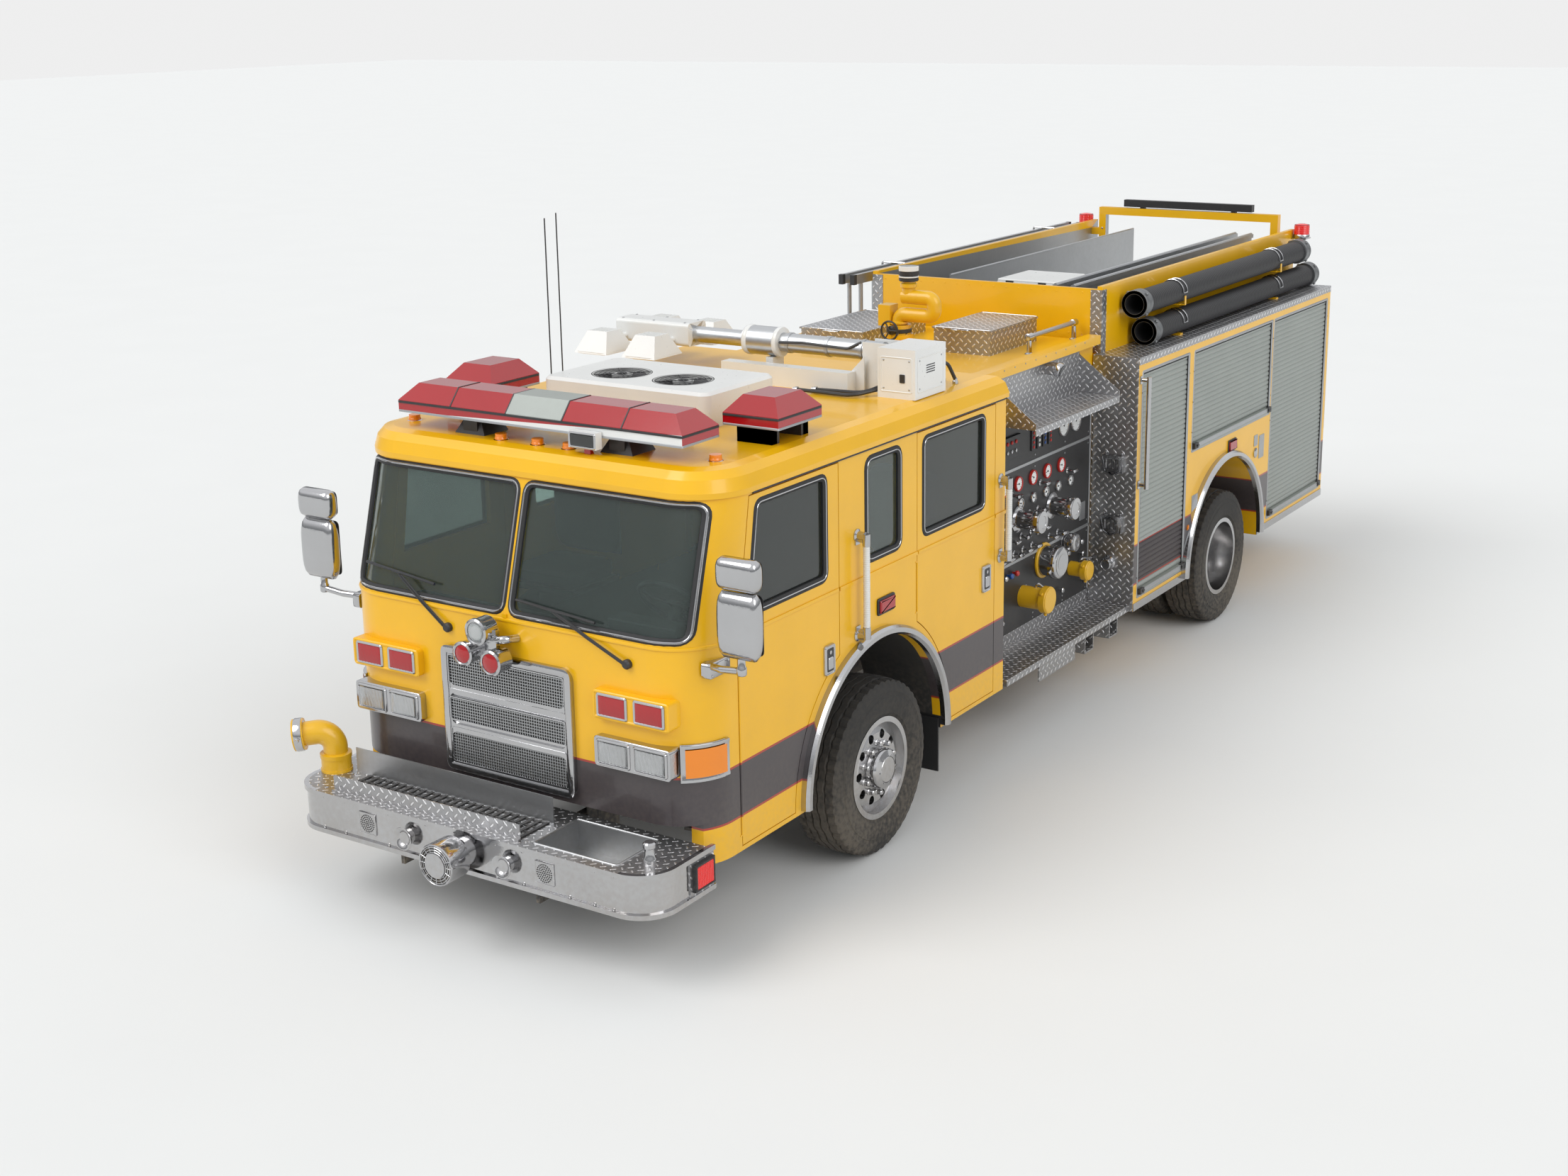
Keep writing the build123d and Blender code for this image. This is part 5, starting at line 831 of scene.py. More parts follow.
@dataclass
class Studio:
    """Camera at the photograph's angle, pale floor and soft light."""

    place: Vector = Vector((6.8206, -12.0675, 4.8454))
    yaw: float = 0.5811
    pitch: float = -0.2568
    roll: float = -0.0156
    lens: float = 46.44
    shift: tuple[float, float] = (-0.00658, -0.04197)
    floor_colour: tuple[float, float, float] = (0.80, 0.80, 0.79)

    def build(self) -> None:
        """Makes the camera, the floor, the world and the lamps."""
        self.camera()
        self.floor()
        self.world()
        self.lamp("Key light", (-9.0, -16.0, 20.0), 1.5)
        self.lamp("Side light", (18.0, -5.0, 14.0), 1.0)

    def camera(self) -> None:
        """Makes the camera."""
        data = bpy.data.cameras.new("Camera")
        data.sensor_width = 36.0
        data.lens = self.lens
        data.shift_x, data.shift_y = self.shift
        data.clip_end = 300.0
        camera = bpy.data.objects.new("Camera", data)
        ahead = Vector(
            (
                -math.sin(self.yaw) * math.cos(self.pitch), math.cos(self.yaw) * math.cos(self.pitch),
                math.sin(self.pitch)))
        right = Vector((math.cos(self.yaw), math.sin(self.yaw), 0))
        over = right.cross(ahead)
        level = right * math.cos(self.roll) + over * math.sin(self.roll)
        upright = over * math.cos(self.roll) - right * math.sin(self.roll)
        frame = Matrix((level, upright, -ahead)).transposed().to_4x4()
        frame.translation = self.place
        camera.matrix_world = frame
        bpy.context.scene.collection.objects.link(camera)
        bpy.context.scene.camera = camera

    def floor(self) -> None:
        """Makes the wide pale floor."""
        data = bpy.data.meshes.new("Floor")
        reach = 110.0
        data.from_pydata(
            [(-reach, -reach, 0), (reach, -reach, 0), (reach, reach, 0), (-reach, reach, 0)], [],
            [(0, 1, 2, 3)])
        made = bpy.data.materials.new("Pale floor")
        made.use_nodes = True
        tree = Tree(made.node_tree)
        shader = made.node_tree.nodes["Principled BSDF"]
        place = tree.add("ShaderNodeTexCoord").outputs["Object"]
        darker = tuple(part * 0.97 for part in self.floor_colour)
        tree.wire(
            tree.mix(tree.noise(place, 0.9, 5.0), (*self.floor_colour, 1.0), (*darker, 1.0)),
            shader.inputs["Base Color"])
        shader.inputs["Roughness"].default_value = 0.9
        data.materials.append(made)
        floor = bpy.data.objects.new("Floor", data)
        bpy.context.scene.collection.objects.link(floor)

    def world(self) -> None:
        """Makes the world: soft light all round, and a pale background where the camera sees it."""
        world = bpy.data.worlds.new("Soft light")
        bpy.context.scene.world = world
        world.use_nodes = True
        tree = Tree(world.node_tree)
        world.node_tree.nodes.clear()
        rays = tree.add("ShaderNodeLightPath")
        direction = tree.add("ShaderNodeSeparateXYZ")
        tree.wire(tree.add("ShaderNodeTexCoord").outputs["Generated"], direction.inputs[0])
        height = direction.outputs["Z"]
        soft = tree.add("ShaderNodeBackground")
        soft.inputs["Color"].default_value = (0.95, 0.98, 1.0, 1.0)
        soft.inputs["Strength"].default_value = 0.62
        shown = tree.add("ShaderNodeBackground")
        tree.wire(
            tree.mix(tree.span(height, 0.02, 0.45), (0.34, 0.35, 0.36, 1.0), (0.97, 0.98, 1.0, 1.0)),
            shown.inputs["Color"])
        plain = tree.add("ShaderNodeBackground")
        plain.inputs["Color"].default_value = (0.86, 0.86, 0.86, 1.0)
        mirror = tree.sum("MAXIMUM", rays.outputs["Is Glossy Ray"], rays.outputs["Is Transmission Ray"])
        first = tree.add("ShaderNodeMixShader")
        tree.wire(mirror, first.inputs[0])
        tree.wire(soft.outputs[0], first.inputs[1])
        tree.wire(shown.outputs[0], first.inputs[2])
        second = tree.add("ShaderNodeMixShader")
        tree.wire(rays.outputs["Is Camera Ray"], second.inputs[0])
        tree.wire(first.outputs[0], second.inputs[1])
        tree.wire(plain.outputs[0], second.inputs[2])
        tree.wire(second.outputs[0], tree.add("ShaderNodeOutputWorld").inputs[0])
        bpy.context.scene.view_settings.view_transform = "Standard"

    def lamp(self, name: str, place: Spot, power: float) -> None:
        """Makes one broad soft light that shines at the truck from the direction of a place."""
        data = bpy.data.lights.new(name, "SUN")
        data.angle = math.radians(40)
        data.energy = power
        lamp = bpy.data.objects.new(name, data)
        lamp.location = place
        lamp.rotation_mode = "QUATERNION"
        lamp.rotation_quaternion = (Vector((0, 0, 1.2)) - Vector(place)).to_track_quat("-Z", "Y")
        bpy.context.scene.collection.objects.link(lamp)


@dataclass
class Carcass:
    """The CAD nodes that show as they are, each with its finishes by region."""

    nodes: dict[str, bpy.types.Object]

    def build(self) -> None:
        """Gives every CAD node its finish."""
        plain = {
            Look.YELLOW: "cab_shell front_door_left front_door_right rear_door_left rear_door_right "
                         "body_shell",
            Look.PLAIN_YELLOW: "cab_roof pump_house hose_bed pump_top gun_swivel gun_barrel cab_trim "
                               "body_trim",
            Look.CHASSIS: "frame_rails front_axle leaf_springs rear_axle drive_line tank_and_exhaust "
                          "track_rod knuckle_left knuckle_right",
            Look.FLOOR_LINER: "cab_floor",
            Look.POLISHED: "front_bumper grille nose_lamps mirrors rear_lights bumper_fittings",
            Look.TREAD: "bumper_deck treads chest_lid deck_cover_lid",
            Look.PANEL: "pump_panels",
            Look.ALLOY: "front_wheel_left front_wheel_right rear_wheels_left rear_wheels_right",
            Look.TYRE: "front_tyre_left front_tyre_right rear_tyres_left rear_tyres_right",
            Look.GLASS: "cab_glass",
            Look.DARK_GLASS: "front_door_glass_left front_door_glass_right rear_door_glass_left "
                             "rear_door_glass_right",
            Look.DASH: "cab_interior",
            Look.RED_LENS: "roof_lights",
            Look.WHITE: "air_conditioner tower_base tower_head",
            Look.MAST: "tower_mast",
            Look.STRIPED_SLATS: "roller_shutters",
            Look.HOSE: "suction_hoses",
            Look.BRUSHED: "ladders hose_bed_dividers",
        }
        for look, names in plain.items():
            for name in names.split():
                self.dress(name, look)

    def dress(self, name: str, look: Look) -> None:
        """Gives one CAD node a finish all over."""
        data = self.nodes[name].data
        data.materials.clear()
        data.materials.append(look.value.material())
        LOG.info("dressed %s as %s", name, look.value.title)

    def patch(self, name: str, look: Look, low: Spot, high: Spot, facing: Spot | None = None) -> None:
        """Gives the faces of one CAD node that lie in a box another finish.

        Args:
            name: The node.
            look: The finish of those faces.
            low: Lowest corner of the box.
            high: Highest corner of the box.
            facing: A direction that the faces must look in, or None for all.
        """
        data = self.nodes[name].data
        material = look.value.material()
        if material.name not in data.materials:
            data.materials.append(material)
        index = data.materials.find(material.name)
        for polygon in data.polygons:
            middle = polygon.center
            inside = all(low[axis] <= middle[axis] <= high[axis] for axis in range(3))
            if inside and (facing is None or polygon.normal.dot(Vector(facing)) > 0.6):
                polygon.material_index = index


@dataclass
class Wheels:
    """Treaded tyres in place of the plain ones, and the nuts and caps of the wheels."""

    outer: float = 1.262
    width: float = 0.305
    spacing: float = 0.345
    steps: int = 144

    def build(self) -> None:
        """Makes all four wheel sets."""
        for side, sign in SIDES:
            middle = sign * (self.outer - self.width / 2)
            self.tyres("front_tyre_" + side, "front_wheel_" + side, [middle], FRONT_AXLE)
            self.tyres(
                "rear_tyres_" + side, "rear_wheels_" + side, [middle, middle - sign * self.spacing],
                REAR_AXLE)
            self.front_fittings(side, sign)
            self.rear_fittings(side, sign)

    def section(self) -> list[tuple[float, float, bool]]:
        """Half of the tyre's section, from bead to middle: radius, offset, and True where blocks are cut."""
        return [
            (0.271, 0.104, False), (0.289, 0.118, False), (0.302, 0.129, False), (0.318, 0.136, False),
            (0.322, 0.141, False), (0.352, 0.147, False), (0.386, 0.1515, False), (0.416, 0.1515, False),
            (0.420, 0.148, False), (0.444, 0.146, False), (0.450, 0.148, False), (0.474, 0.141, True),
            (0.498, 0.134, True), (0.512, 0.124, True), (0.5155, 0.080, True), (0.502, 0.077, False),
            (0.502, 0.070, False), (0.5175, 0.067, False), (0.5185, 0.031, False), (0.504, 0.028, False),
            (0.504, 0.021, False), (0.5195, 0.018, False)]

    def tyres(self, node: str, body: str, middles: Sequence[float], axle: float) -> None:
        """Makes the tyres of one wheel set and puts them in place of the node."""
        half = self.section()
        whole = half + [(radius, -offset, cut) for radius, offset, cut in reversed(half)]
        piece = Piece(node + "_tread", body, Look.TYRE)
        for middle in middles:
            rings = []
            for step in range(self.steps):
                angle = 2 * math.pi * step / self.steps
                ring = []
                for radius, offset, cut in whole:
                    depth = 0.0
                    if cut and step % 3 == 0:
                        depth = 0.011 if radius > 0.505 else 0.004
                    wave = 0.004 if step % 6 < 3 else -0.004
                    shift = wave if 0.015 < abs(offset) < 0.068 and radius > 0.5 else 0
                    reach = radius - depth
                    ring.append(round_across((middle + offset + shift, axle, HUB_HEIGHT), reach, angle))
                rings.append(ring)
            piece.loft(rings, caps=False, cyclic=True)
        made = piece.done(seam=28)
        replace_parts(made, node)

    def nuts(self, piece: Piece, x: float, sign: float, axle: float, circle: float, length: float) -> None:
        """Adds ten domed nut covers round a hub."""
        for turn in range(10):
            angle = 2 * math.pi * (turn + 0.5) / 10
            at = round_across((x, axle, HUB_HEIGHT), circle, angle)
            piece.turned(
                [(0.021, 0), (0.021, 0.006), (0.0165, 0.010), (0.0165, length - 0.006), (0.012, length)], at,
                (sign, 0, 0), 12)

    def front_fittings(self, side: str, sign: float) -> None:
        """Nut covers and capped hub of a front wheel."""
        piece = Piece("front_hub_fittings_" + side, "front_wheel_" + side, Look.ALLOY)
        hub = (sign * 1.212, FRONT_AXLE, HUB_HEIGHT)
        self.nuts(piece, sign * 1.214, sign, FRONT_AXLE, 0.150, 0.040)
        piece.use(Look.POLISHED).turned(
            [
                (0.119, 0.004), (0.122, 0.010), (0.122, 0.050), (0.113, 0.066), (0.086, 0.076),
                (0.078, 0.079), (0.078, 0.072)],
            hub, (sign, 0, 0), 40)
        piece.use(Look.PLAIN_YELLOW).turned(
            [(0.072, 0.072), (0.072, 0.0785), (0.060, 0.0797), (0.057, 0.078), (0.057, 0.070)], hub,
            (sign, 0, 0), 36)
        piece.use(Look.POLISHED).turned(
            [(0.050, 0.070), (0.048, 0.0785), (0.030, 0.0797)], hub, (sign, 0, 0), 28)
        for angle in turns(6):
            piece.bolts(
                [round_across((sign * 1.2895, FRONT_AXLE, HUB_HEIGHT), 0.082, angle)], (sign, 0, 0), 0.006,
                0.003, 6)
        piece.done()

    def rear_fittings(self, side: str, sign: float) -> None:
        """Nut covers and domed hub of a rear wheel set."""
        piece = Piece("rear_hub_fittings_" + side, "rear_wheels_" + side, Look.ALLOY)
        self.nuts(piece, sign * 0.936, sign, REAR_AXLE, 0.158, 0.042)
        piece.use(Look.POLISHED)
        hub = (sign * 0.937, REAR_AXLE, HUB_HEIGHT)
        piece.turned(
            [
                (0.131, 0.004), (0.134, 0.012), (0.134, 0.095), (0.128, 0.118), (0.112, 0.136),
                (0.086, 0.147), (0.045, 0.1535)],
            hub, (sign, 0, 0), 40)
        piece.done()


@dataclass
class CabSkin:
    """Gaskets, glass trim, belt line, handles, wipers and small fittings on the outside of the cab."""

    half: float = 1.218
    nose: float = NOSE_Y
    belt: float = 1.690
    gutter: float = 2.414
    rake: float = 0.205
    corner: float = BEND_RADIUS
    rear: float = -1.147

    def front(self, x: float, z: float) -> Vector:
        """Point of the cab's front at a place across and a height."""
        lean = max(0.0, (z - self.belt) / (self.gutter - self.belt)) * self.rake
        past = max(0.0, abs(x) - (self.half - self.corner))
        bend = self.corner - math.sqrt(max(self.corner ** 2 - past ** 2, 0.0))
        return Vector((x, self.nose + lean + bend, z))

    def screen(self, x: float, z: float) -> tuple[Vector, Vector]:
        """Point of the cab's front and its outward normal."""
        here = self.front(x, z)
        across = self.front(x + 0.004, z) - self.front(x - 0.004, z)
        over = self.front(x, z + 0.004) - self.front(x, z - 0.004)
        return here, across.cross(over).normalized()

    def outline(self, corners: Sequence[Spot], sign: float = 1.0, radius: float = 0.06) -> list[Vector]:
        """Window outline that runs the right way round for one side."""
        path = fillet(corners, radius, 5)
        return path if sign > 0 else list(reversed(path))

    def build(self) -> None:
        """Makes every piece of the cab's outside."""
        self.windscreen()
        self.wipers()
        for side, sign in SIDES:
            self.door_window(
                side, sign, "front", [(-3.974, 1.780), (-3.230, 1.780), (-3.230, 2.348), (-3.883, 2.348)])
            self.door_window(
                side, sign, "rear", [(-2.170, 1.780), (-1.425, 1.780), (-1.425, 2.348), (-2.170, 2.348)])
            self.side_trim(side, sign)
        self.belt_line()

    def windscreen(self) -> None:
        """Rubber and bright strip round both halves of the windscreen."""
        piece = Piece("windscreen_gaskets", "cab", Look.RUBBER)
        for sign in SIGNS:
            corners = [(0.024, 1.722), (1.128, 1.722), (1.128, 2.388), (0.024, 2.388)]
            if sign < 0:
                corners = [(-x, z) for x, z in reversed(corners)]
            path = self.finer(self.outline(corners, 1.0))
            piece.use(Look.RUBBER).band(path, self.screen, -0.020, 0.022, -0.016, 0.007)
            piece.use(Look.POLISHED).band(path, self.screen, -0.004, 0.006, 0.004, 0.0095)
        piece.done()

    def finer(self, path: Sequence[Vector], longest: float = 0.05) -> list[Vector]:
        """Loop with its long runs cut into short ones, so that it follows a curved face."""
        spots = []
        for index, spot in enumerate(path):
            after = path[(index + 1) % len(path)]
            count = max(1, math.ceil((after - spot).length / longest))
            spots += [spot.lerp(after, step / count) for step in range(count)]
        return spots

    def wipers(self) -> None:
        """Two wiper arms with their blades on the windscreen."""
        piece = Piece("wipers", "cab", Look.PLASTIC)
        for pivot, elbow, low, high in (
                ((-0.398, 1.585), (-0.74, 1.815), (-1.02, 1.845), (-0.50, 1.800)),
                ((0.808, 1.585), (0.34, 1.775), (0.07, 1.800), (0.60, 1.760))):
            at, normal = self.screen(*pivot)
            piece.turned([(0.026, 0), (0.026, 0.020), (0.018, 0.030)], at, normal, 16)
            end, outward = self.screen(*elbow)
            tip = end + outward * 0.030
            start = at + normal * 0.024
            for shift in (-0.010, 0.010):
                offset = Vector((shift, 0, 0))
                piece.tube(
                    fillet(
                        [start + offset, start.lerp(tip, 0.5) + outward * 0.010 + offset, tip + offset], 0.2,
                        5, False),
                    0.0055, 8)
            one, two = (self.screen(*spot) for spot in (low, high))
            blade = [one[0] + one[1] * 0.016, two[0] + two[1] * 0.016]
            piece.tube([blade[0].lerp(blade[1], step / 8) for step in range(9)], 0.008, 8)
            middle = blade[0].lerp(blade[1], 0.5)
            piece.tube(
                [blade[0].lerp(blade[1], 0.2), middle + outward * 0.018, blade[0].lerp(blade[1], 0.8)],
                0.006, 8)
        piece.done()

    def door_window(self, side: str, sign: float, which: str, corners: Sequence[Spot]) -> None:
        """Rubber frame and paddle handle of one door, with the shade in the handle's recess painted as a
        black plate.
        """
        piece = Piece(f"{which}_door_trim_{side}", f"{which}_door_{side}", Look.RUBBER)
        path = [Vector((sign * y, z)) for y, z in self.outline(corners, sign, 0.05)]
        flat = side_face(sign, self.half)
        piece.band(path, flat, -0.020, 0.026, -0.016, 0.006)
        piece.use(Look.POLISHED).band(path, flat, -0.006, 0.001, 0.004, 0.008)
        grip = DOOR_GRIPS[which]
        # Painted shade: the thin black plate inside the bright rim stands in for the shade in the handle's
        # recess.
        plate = plaque(sign * grip, 1.32, 0.066, 0.132, 0.010)
        piece.use(Look.PLASTIC).slab(plate, flat, 0.0135, 0.0147)
        piece.use(Look.POLISHED)
        rim = plaque(sign * grip, 1.32, 0.094, 0.164, 0.014)
        piece.band(rim, flat, -0.010, 0.004, 0.0, 0.0165)
        lever = plaque(sign * grip, 1.300, 0.050, 0.070, 0.010)
        piece.slab(lever, flat, 0.0135, 0.0205, 0.004)
        at, normal = flat(sign * grip, 1.362)
        piece.turned([(0.011, 0.0135), (0.011, 0.0170), (0.005, 0.0175)], at, normal, 14)
        piece.done()

    def side_trim(self, side: str, sign: float) -> None:
        """Middle window, marker lamp, grab rails and gutter of one cab side."""
        flat = side_face(sign, self.half)
        piece = Piece("cab_side_trim_" + side, "cab", Look.RUBBER)
        corners = [(-2.810, 1.775), (-2.438, 1.775), (-2.438, 2.352), (-2.810, 2.352)]
        path = [Vector((sign * y, z)) for y, z in self.outline(corners, sign, 0.06)]
        piece.band(path, flat, -0.020, 0.026, -0.016, 0.007)
        piece.use(Look.POLISHED).band(path, flat, -0.006, 0.001, 0.004, 0.009)
        lamp = plaque(sign * (FRONT_AXLE + 0.10), 1.475, 0.190, 0.100, 0.018)
        piece.use(Look.PLASTIC).slab(lamp, flat, 0.0, 0.012, 0.004)
        piece.use(Look.RED_LENS).slab(swell(lamp, -0.014), flat, 0.008, 0.024, 0.007)
        piece.use(Look.POLISHED)
        for start, low, high in ((-2.915, 1.375, 1.950), (-1.210, 1.410, 1.910)):
            x = sign * 1.280
            for z in (low, high):
                piece.turned(
                    [(0.036, 0), (0.036, 0.006), (0.024, 0.014), (0.023, 0.055)],
                    (sign * self.half, start, z), (sign, 0, 0), 20)
                piece.turned(
                    [(0.0215, -0.035), (0.0225, -0.03), (0.0225, 0.03), (0.0215, 0.035)],
                    (x, start, z + (0.02 if z == low else -0.02)), UP, 20)
            piece.use(Look.WHITE)
            count = int((high - low - 0.09) / 0.012)
            profile = ribs(count, 0.012, 0.0, [(0.0185, 0.0), (0.0205, 0.004), (0.0205, 0.008)])
            piece.turned(profile, (x, start, low + 0.045), UP, 18)
            piece.use(Look.POLISHED)
        piece.use(Look.PLASTIC).tube([(sign * 1.228, -3.93, 2.411), (sign * 1.228, -1.16, 2.411)], 0.0065, 8)
        piece.done()

    def moulding(self) -> tuple[float, float]:
        """Inner and outer reach of the belt moulding on the cab's sides."""
        return self.half - 0.001, self.half + 0.007

    def belt_line(self) -> None:
        """Thin yellow moulding along the belt, and the divider cap of the windscreen."""
        piece = Piece("belt_moulding", "cab", Look.PLAIN_YELLOW)
        ring = [self.front(x, 1.688) for x in (-BEND_X, -0.5, 0, 0.5, BEND_X)]
        for sign in SIGNS:
            arc = []
            for step in range(1, 9):
                turn = math.pi / 2 * step / 8
                arc.append(
                    Vector(
                        (
                            sign * (BEND_X + BEND_RADIUS * math.sin(turn)),
                            self.nose + BEND_RADIUS * (1 - math.cos(turn)), 1.688)))
            ring = ring + arc if sign > 0 else list(reversed(arc)) + ring
        for low, high in ((-4.154, -4.076), (-3.098, -2.249), (-1.278, self.rear + 0.004)):
            for sign in SIGNS:
                piece.side_box(sign, self.moulding(), (low, 1.678), (high, 1.698))
        section = [(0.0, -0.011), (0.007, -0.007), (0.009, 0.0), (0.007, 0.007), (0.0, 0.011)]
        strip = []
        for spot in ring:
            outward = Vector(
                (spot.x - max(-BEND_X, min(BEND_X, spot.x)), spot.y - (self.nose + BEND_RADIUS), 0)
            ).normalized()
            strip.append([spot + outward * out + Vector((0, 0, up)) for out, up in section])
        piece.loft(strip, caps=False, open_ring=True)
        piece.box((-0.012, self.nose - 0.006, 1.70), (0.012, self.nose + 0.003, 1.72))
        piece.done()
        for which, low, high in (("front", -4.064, -3.110), ("rear", -2.237, -1.290)):
            for side, sign in SIDES:
                strip_piece = Piece(f"{which}_door_belt_{side}", f"{which}_door_{side}", Look.PLAIN_YELLOW)
                strip_piece.side_box(sign, self.moulding(), (low, 1.678), (high, 1.698))
                strip_piece.done(0.003)


@dataclass
class Nose:
    """Grille mesh, and the bezels and lenses of the lamps on the front of the cab."""

    face_y: float = -4.478

    def build(self) -> None:
        """Makes the pieces of the nose."""
        self.grille()
        for side, sign in SIDES:
            self.lamps(side, sign)
        self.spots()

    def grille(self) -> None:
        """Polished rim, three stacked panels of mesh, and behind each a dark sheet that paints the shade of
        the opening behind the mesh.
        """
        face = front_face(self.face_y)
        piece = Piece("grille_mesh", "cab", Look.POLISHED)
        outline = plaque(0.0, 1.137, 0.890, 0.710, 0.05, 6)
        piece.band(outline, face, -0.040, -0.001, 0.0, 0.010, 0.35)
        windows = ((0.829, 1.032), (1.069, 1.205), (1.242, 1.445))
        for low, high in windows:
            frame = plaque(0.0, (low + high) / 2, 0.804, high - low, 0.018)
            piece.use(Look.POLISHED).band(frame, face, -0.012, 0.004, -0.030, 0.004)
            # Painted shade: a thin black sheet just behind the mesh stands in for the shade in the opening
            # behind it.
            piece.use(Look.CHASSIS).box(
                (-0.398, self.face_y + 0.0095, low), (0.398, self.face_y + 0.0115, high))
            piece.use(Look.BRUSHED)
            pitch = 0.0165
            for index in range(int(0.80 / pitch) + 1):
                x = -0.396 + index * pitch
                piece.box((x - 0.0022, self.face_y + 0.005, low), (x + 0.0022, self.face_y + 0.009, high))
            for index in range(int((high - low) / pitch) + 1):
                z = low + 0.004 + index * pitch
                piece.box(
                    (-0.398, self.face_y + 0.003, z - 0.0022), (0.398, self.face_y + 0.007, z + 0.0022))
        piece.done()

    def lamps(self, side: str, sign: float) -> None:
        """Two warning lenses over two headlamps, and the amber lamp round the corner."""
        face = front_face(-4.496)
        piece = Piece("nose_lamp_lenses_" + side, "cab", Look.POLISHED)
        housing = plaque(sign * 0.8425, 1.3525, 0.478, 0.148, 0.02)
        piece.use(Look.PLAIN_YELLOW).band(housing, face, -0.014, 0.002, -0.004, 0.004)
        for middle in (0.725, 0.960):
            bezel = plaque(sign * middle, 1.3525, 0.196, 0.128, 0.016)
            piece.use(Look.POLISHED).band(bezel, face, -0.016, 0.0, -0.002, 0.010)
            piece.use(Look.RED_LENS)
            self.lens(piece, face, sign * middle, 1.3525, 0.166, 0.100, 0.010, 7)
        bezel = plaque(sign * 0.8425, 1.0975, 0.484, 0.164, 0.022)
        piece.use(Look.POLISHED).slab(bezel, face, -0.004, 0.004, 0.003)
        for middle in (0.725, 0.960):
            rim = plaque(sign * middle, 1.0975, 0.212, 0.138, 0.016)
            piece.use(Look.POLISHED).band(rim, face, -0.012, 0.002, 0.0, 0.013)
            piece.use(Look.ALLOY)
            self.lens(piece, face, sign * middle, 1.0975, 0.186, 0.112, 0.006, 8)
            piece.use(Look.CLEAR_LENS)
            self.lens(piece, face, sign * middle, 1.0975, 0.188, 0.114, 0.012, 1)
        piece.done()
        self.corner_lamp(side, sign)

    def lens(
            self, piece: Piece, face: Face, x: float, z: float, width: float, height: float, proud: float,
            flutes: int) -> None:
        """Adds a lens with upright flutes, or a plain bowed one if flutes is 1."""
        count = max(flutes * 2, 8)
        rings = []
        for level, share in ((0.0, 1.0), (proud * 0.7, 1.0), (proud, 0.94)):
            ring = []
            for v in (-1.0, 1.0):
                for step in range(count + 1):
                    u = -1 + 2 * step / count
                    bulge = 0.004 * (step % 2) if flutes > 1 and level == proud else 0.0
                    at, normal = face(
                        x + (u if v < 0 else -u) * width / 2 * share, z + v * height / 2 * share)
                    ring.append(at + normal * (level - bulge))
            rings.append(ring)
        piece.loft(rings)

    def corner(self, step: int) -> tuple[Vector, Vector]:
        """Point of the nose corner at one of 15 steps round it, and its outward direction."""
        x = 1.086 + (1.216 - 1.086) * math.sin(math.pi / 2 * step / 14)
        past = x - BEND_X
        y = NOSE_Y + BEND_RADIUS - math.sqrt(max(0.0, BEND_RADIUS ** 2 - past ** 2))
        return Vector((x, y, 0)), Vector((past, y - BEND_Y, 0)).normalized()

    def corner_lamp(self, side: str, sign: float) -> None:
        """Amber lens and bezel round the nose corner."""
        piece = Piece("corner_lamp_" + side, "cab", Look.POLISHED)
        rings = []
        for step in range(15):
            base, outward = self.corner(step)
            ring = []
            for out, z in (
                    (0.004, 0.987), (0.019, 0.990), (0.019, 1.004), (0.016, 1.010), (0.016, 1.165),
                    (0.019, 1.171), (0.019, 1.185), (0.004, 1.188)):
                spot = base + outward * out
                ring.append(Vector((sign * spot.x, spot.y, z)))
            rings.append(ring)
        piece.loft(rings)
        rings = []
        for step in range(1, 13):
            base, outward = self.corner(step)
            ring = []
            for index in range(17):
                z = 1.012 + 0.151 * index / 16
                spot = base + outward * (0.0215 + 0.0015 * (index % 2))
                ring.append(Vector((sign * spot.x, spot.y, z)))
            rings.append(ring)
        piece.use(Look.AMBER).loft(rings, caps=False, open_ring=True)
        piece.done()

    def spots(self) -> None:
        """Bezels and lenses of the three spot lamps over the grille."""
        piece = Piece("spot_lamp_lenses", "cab", Look.POLISHED)
        for x, z, radius, look in (
                (-0.060, 1.655, 0.068, Look.CLEAR_LENS), (-0.160, 1.520, 0.062, Look.RED_LENS),
                (0.030, 1.500, 0.066, Look.RED_LENS)):
            at = (x, -4.614, z)
            piece.use(Look.POLISHED).turned(
                [
                    (radius * 0.80, -0.004), (radius * 0.80, 0.008), (radius * 0.92, 0.012),
                    (radius + 0.005, 0.006), (radius + 0.006, -0.010), (radius, -0.014)],
                at, AHEAD, 36, caps=False)
            if look is Look.CLEAR_LENS:
                piece.use(Look.DIAL).turned(
                    [(radius * 0.8, -0.002), (radius * 0.5, 0.001), (0.004, 0.0015)], at, AHEAD, 36)
            piece.use(look).turned(
                [
                    (radius * 0.82, 0.001), (radius * 0.78, 0.006), (radius * 0.5, 0.012),
                    (radius * 0.2, 0.0145)],
                at, AHEAD, 36)
        piece.done()


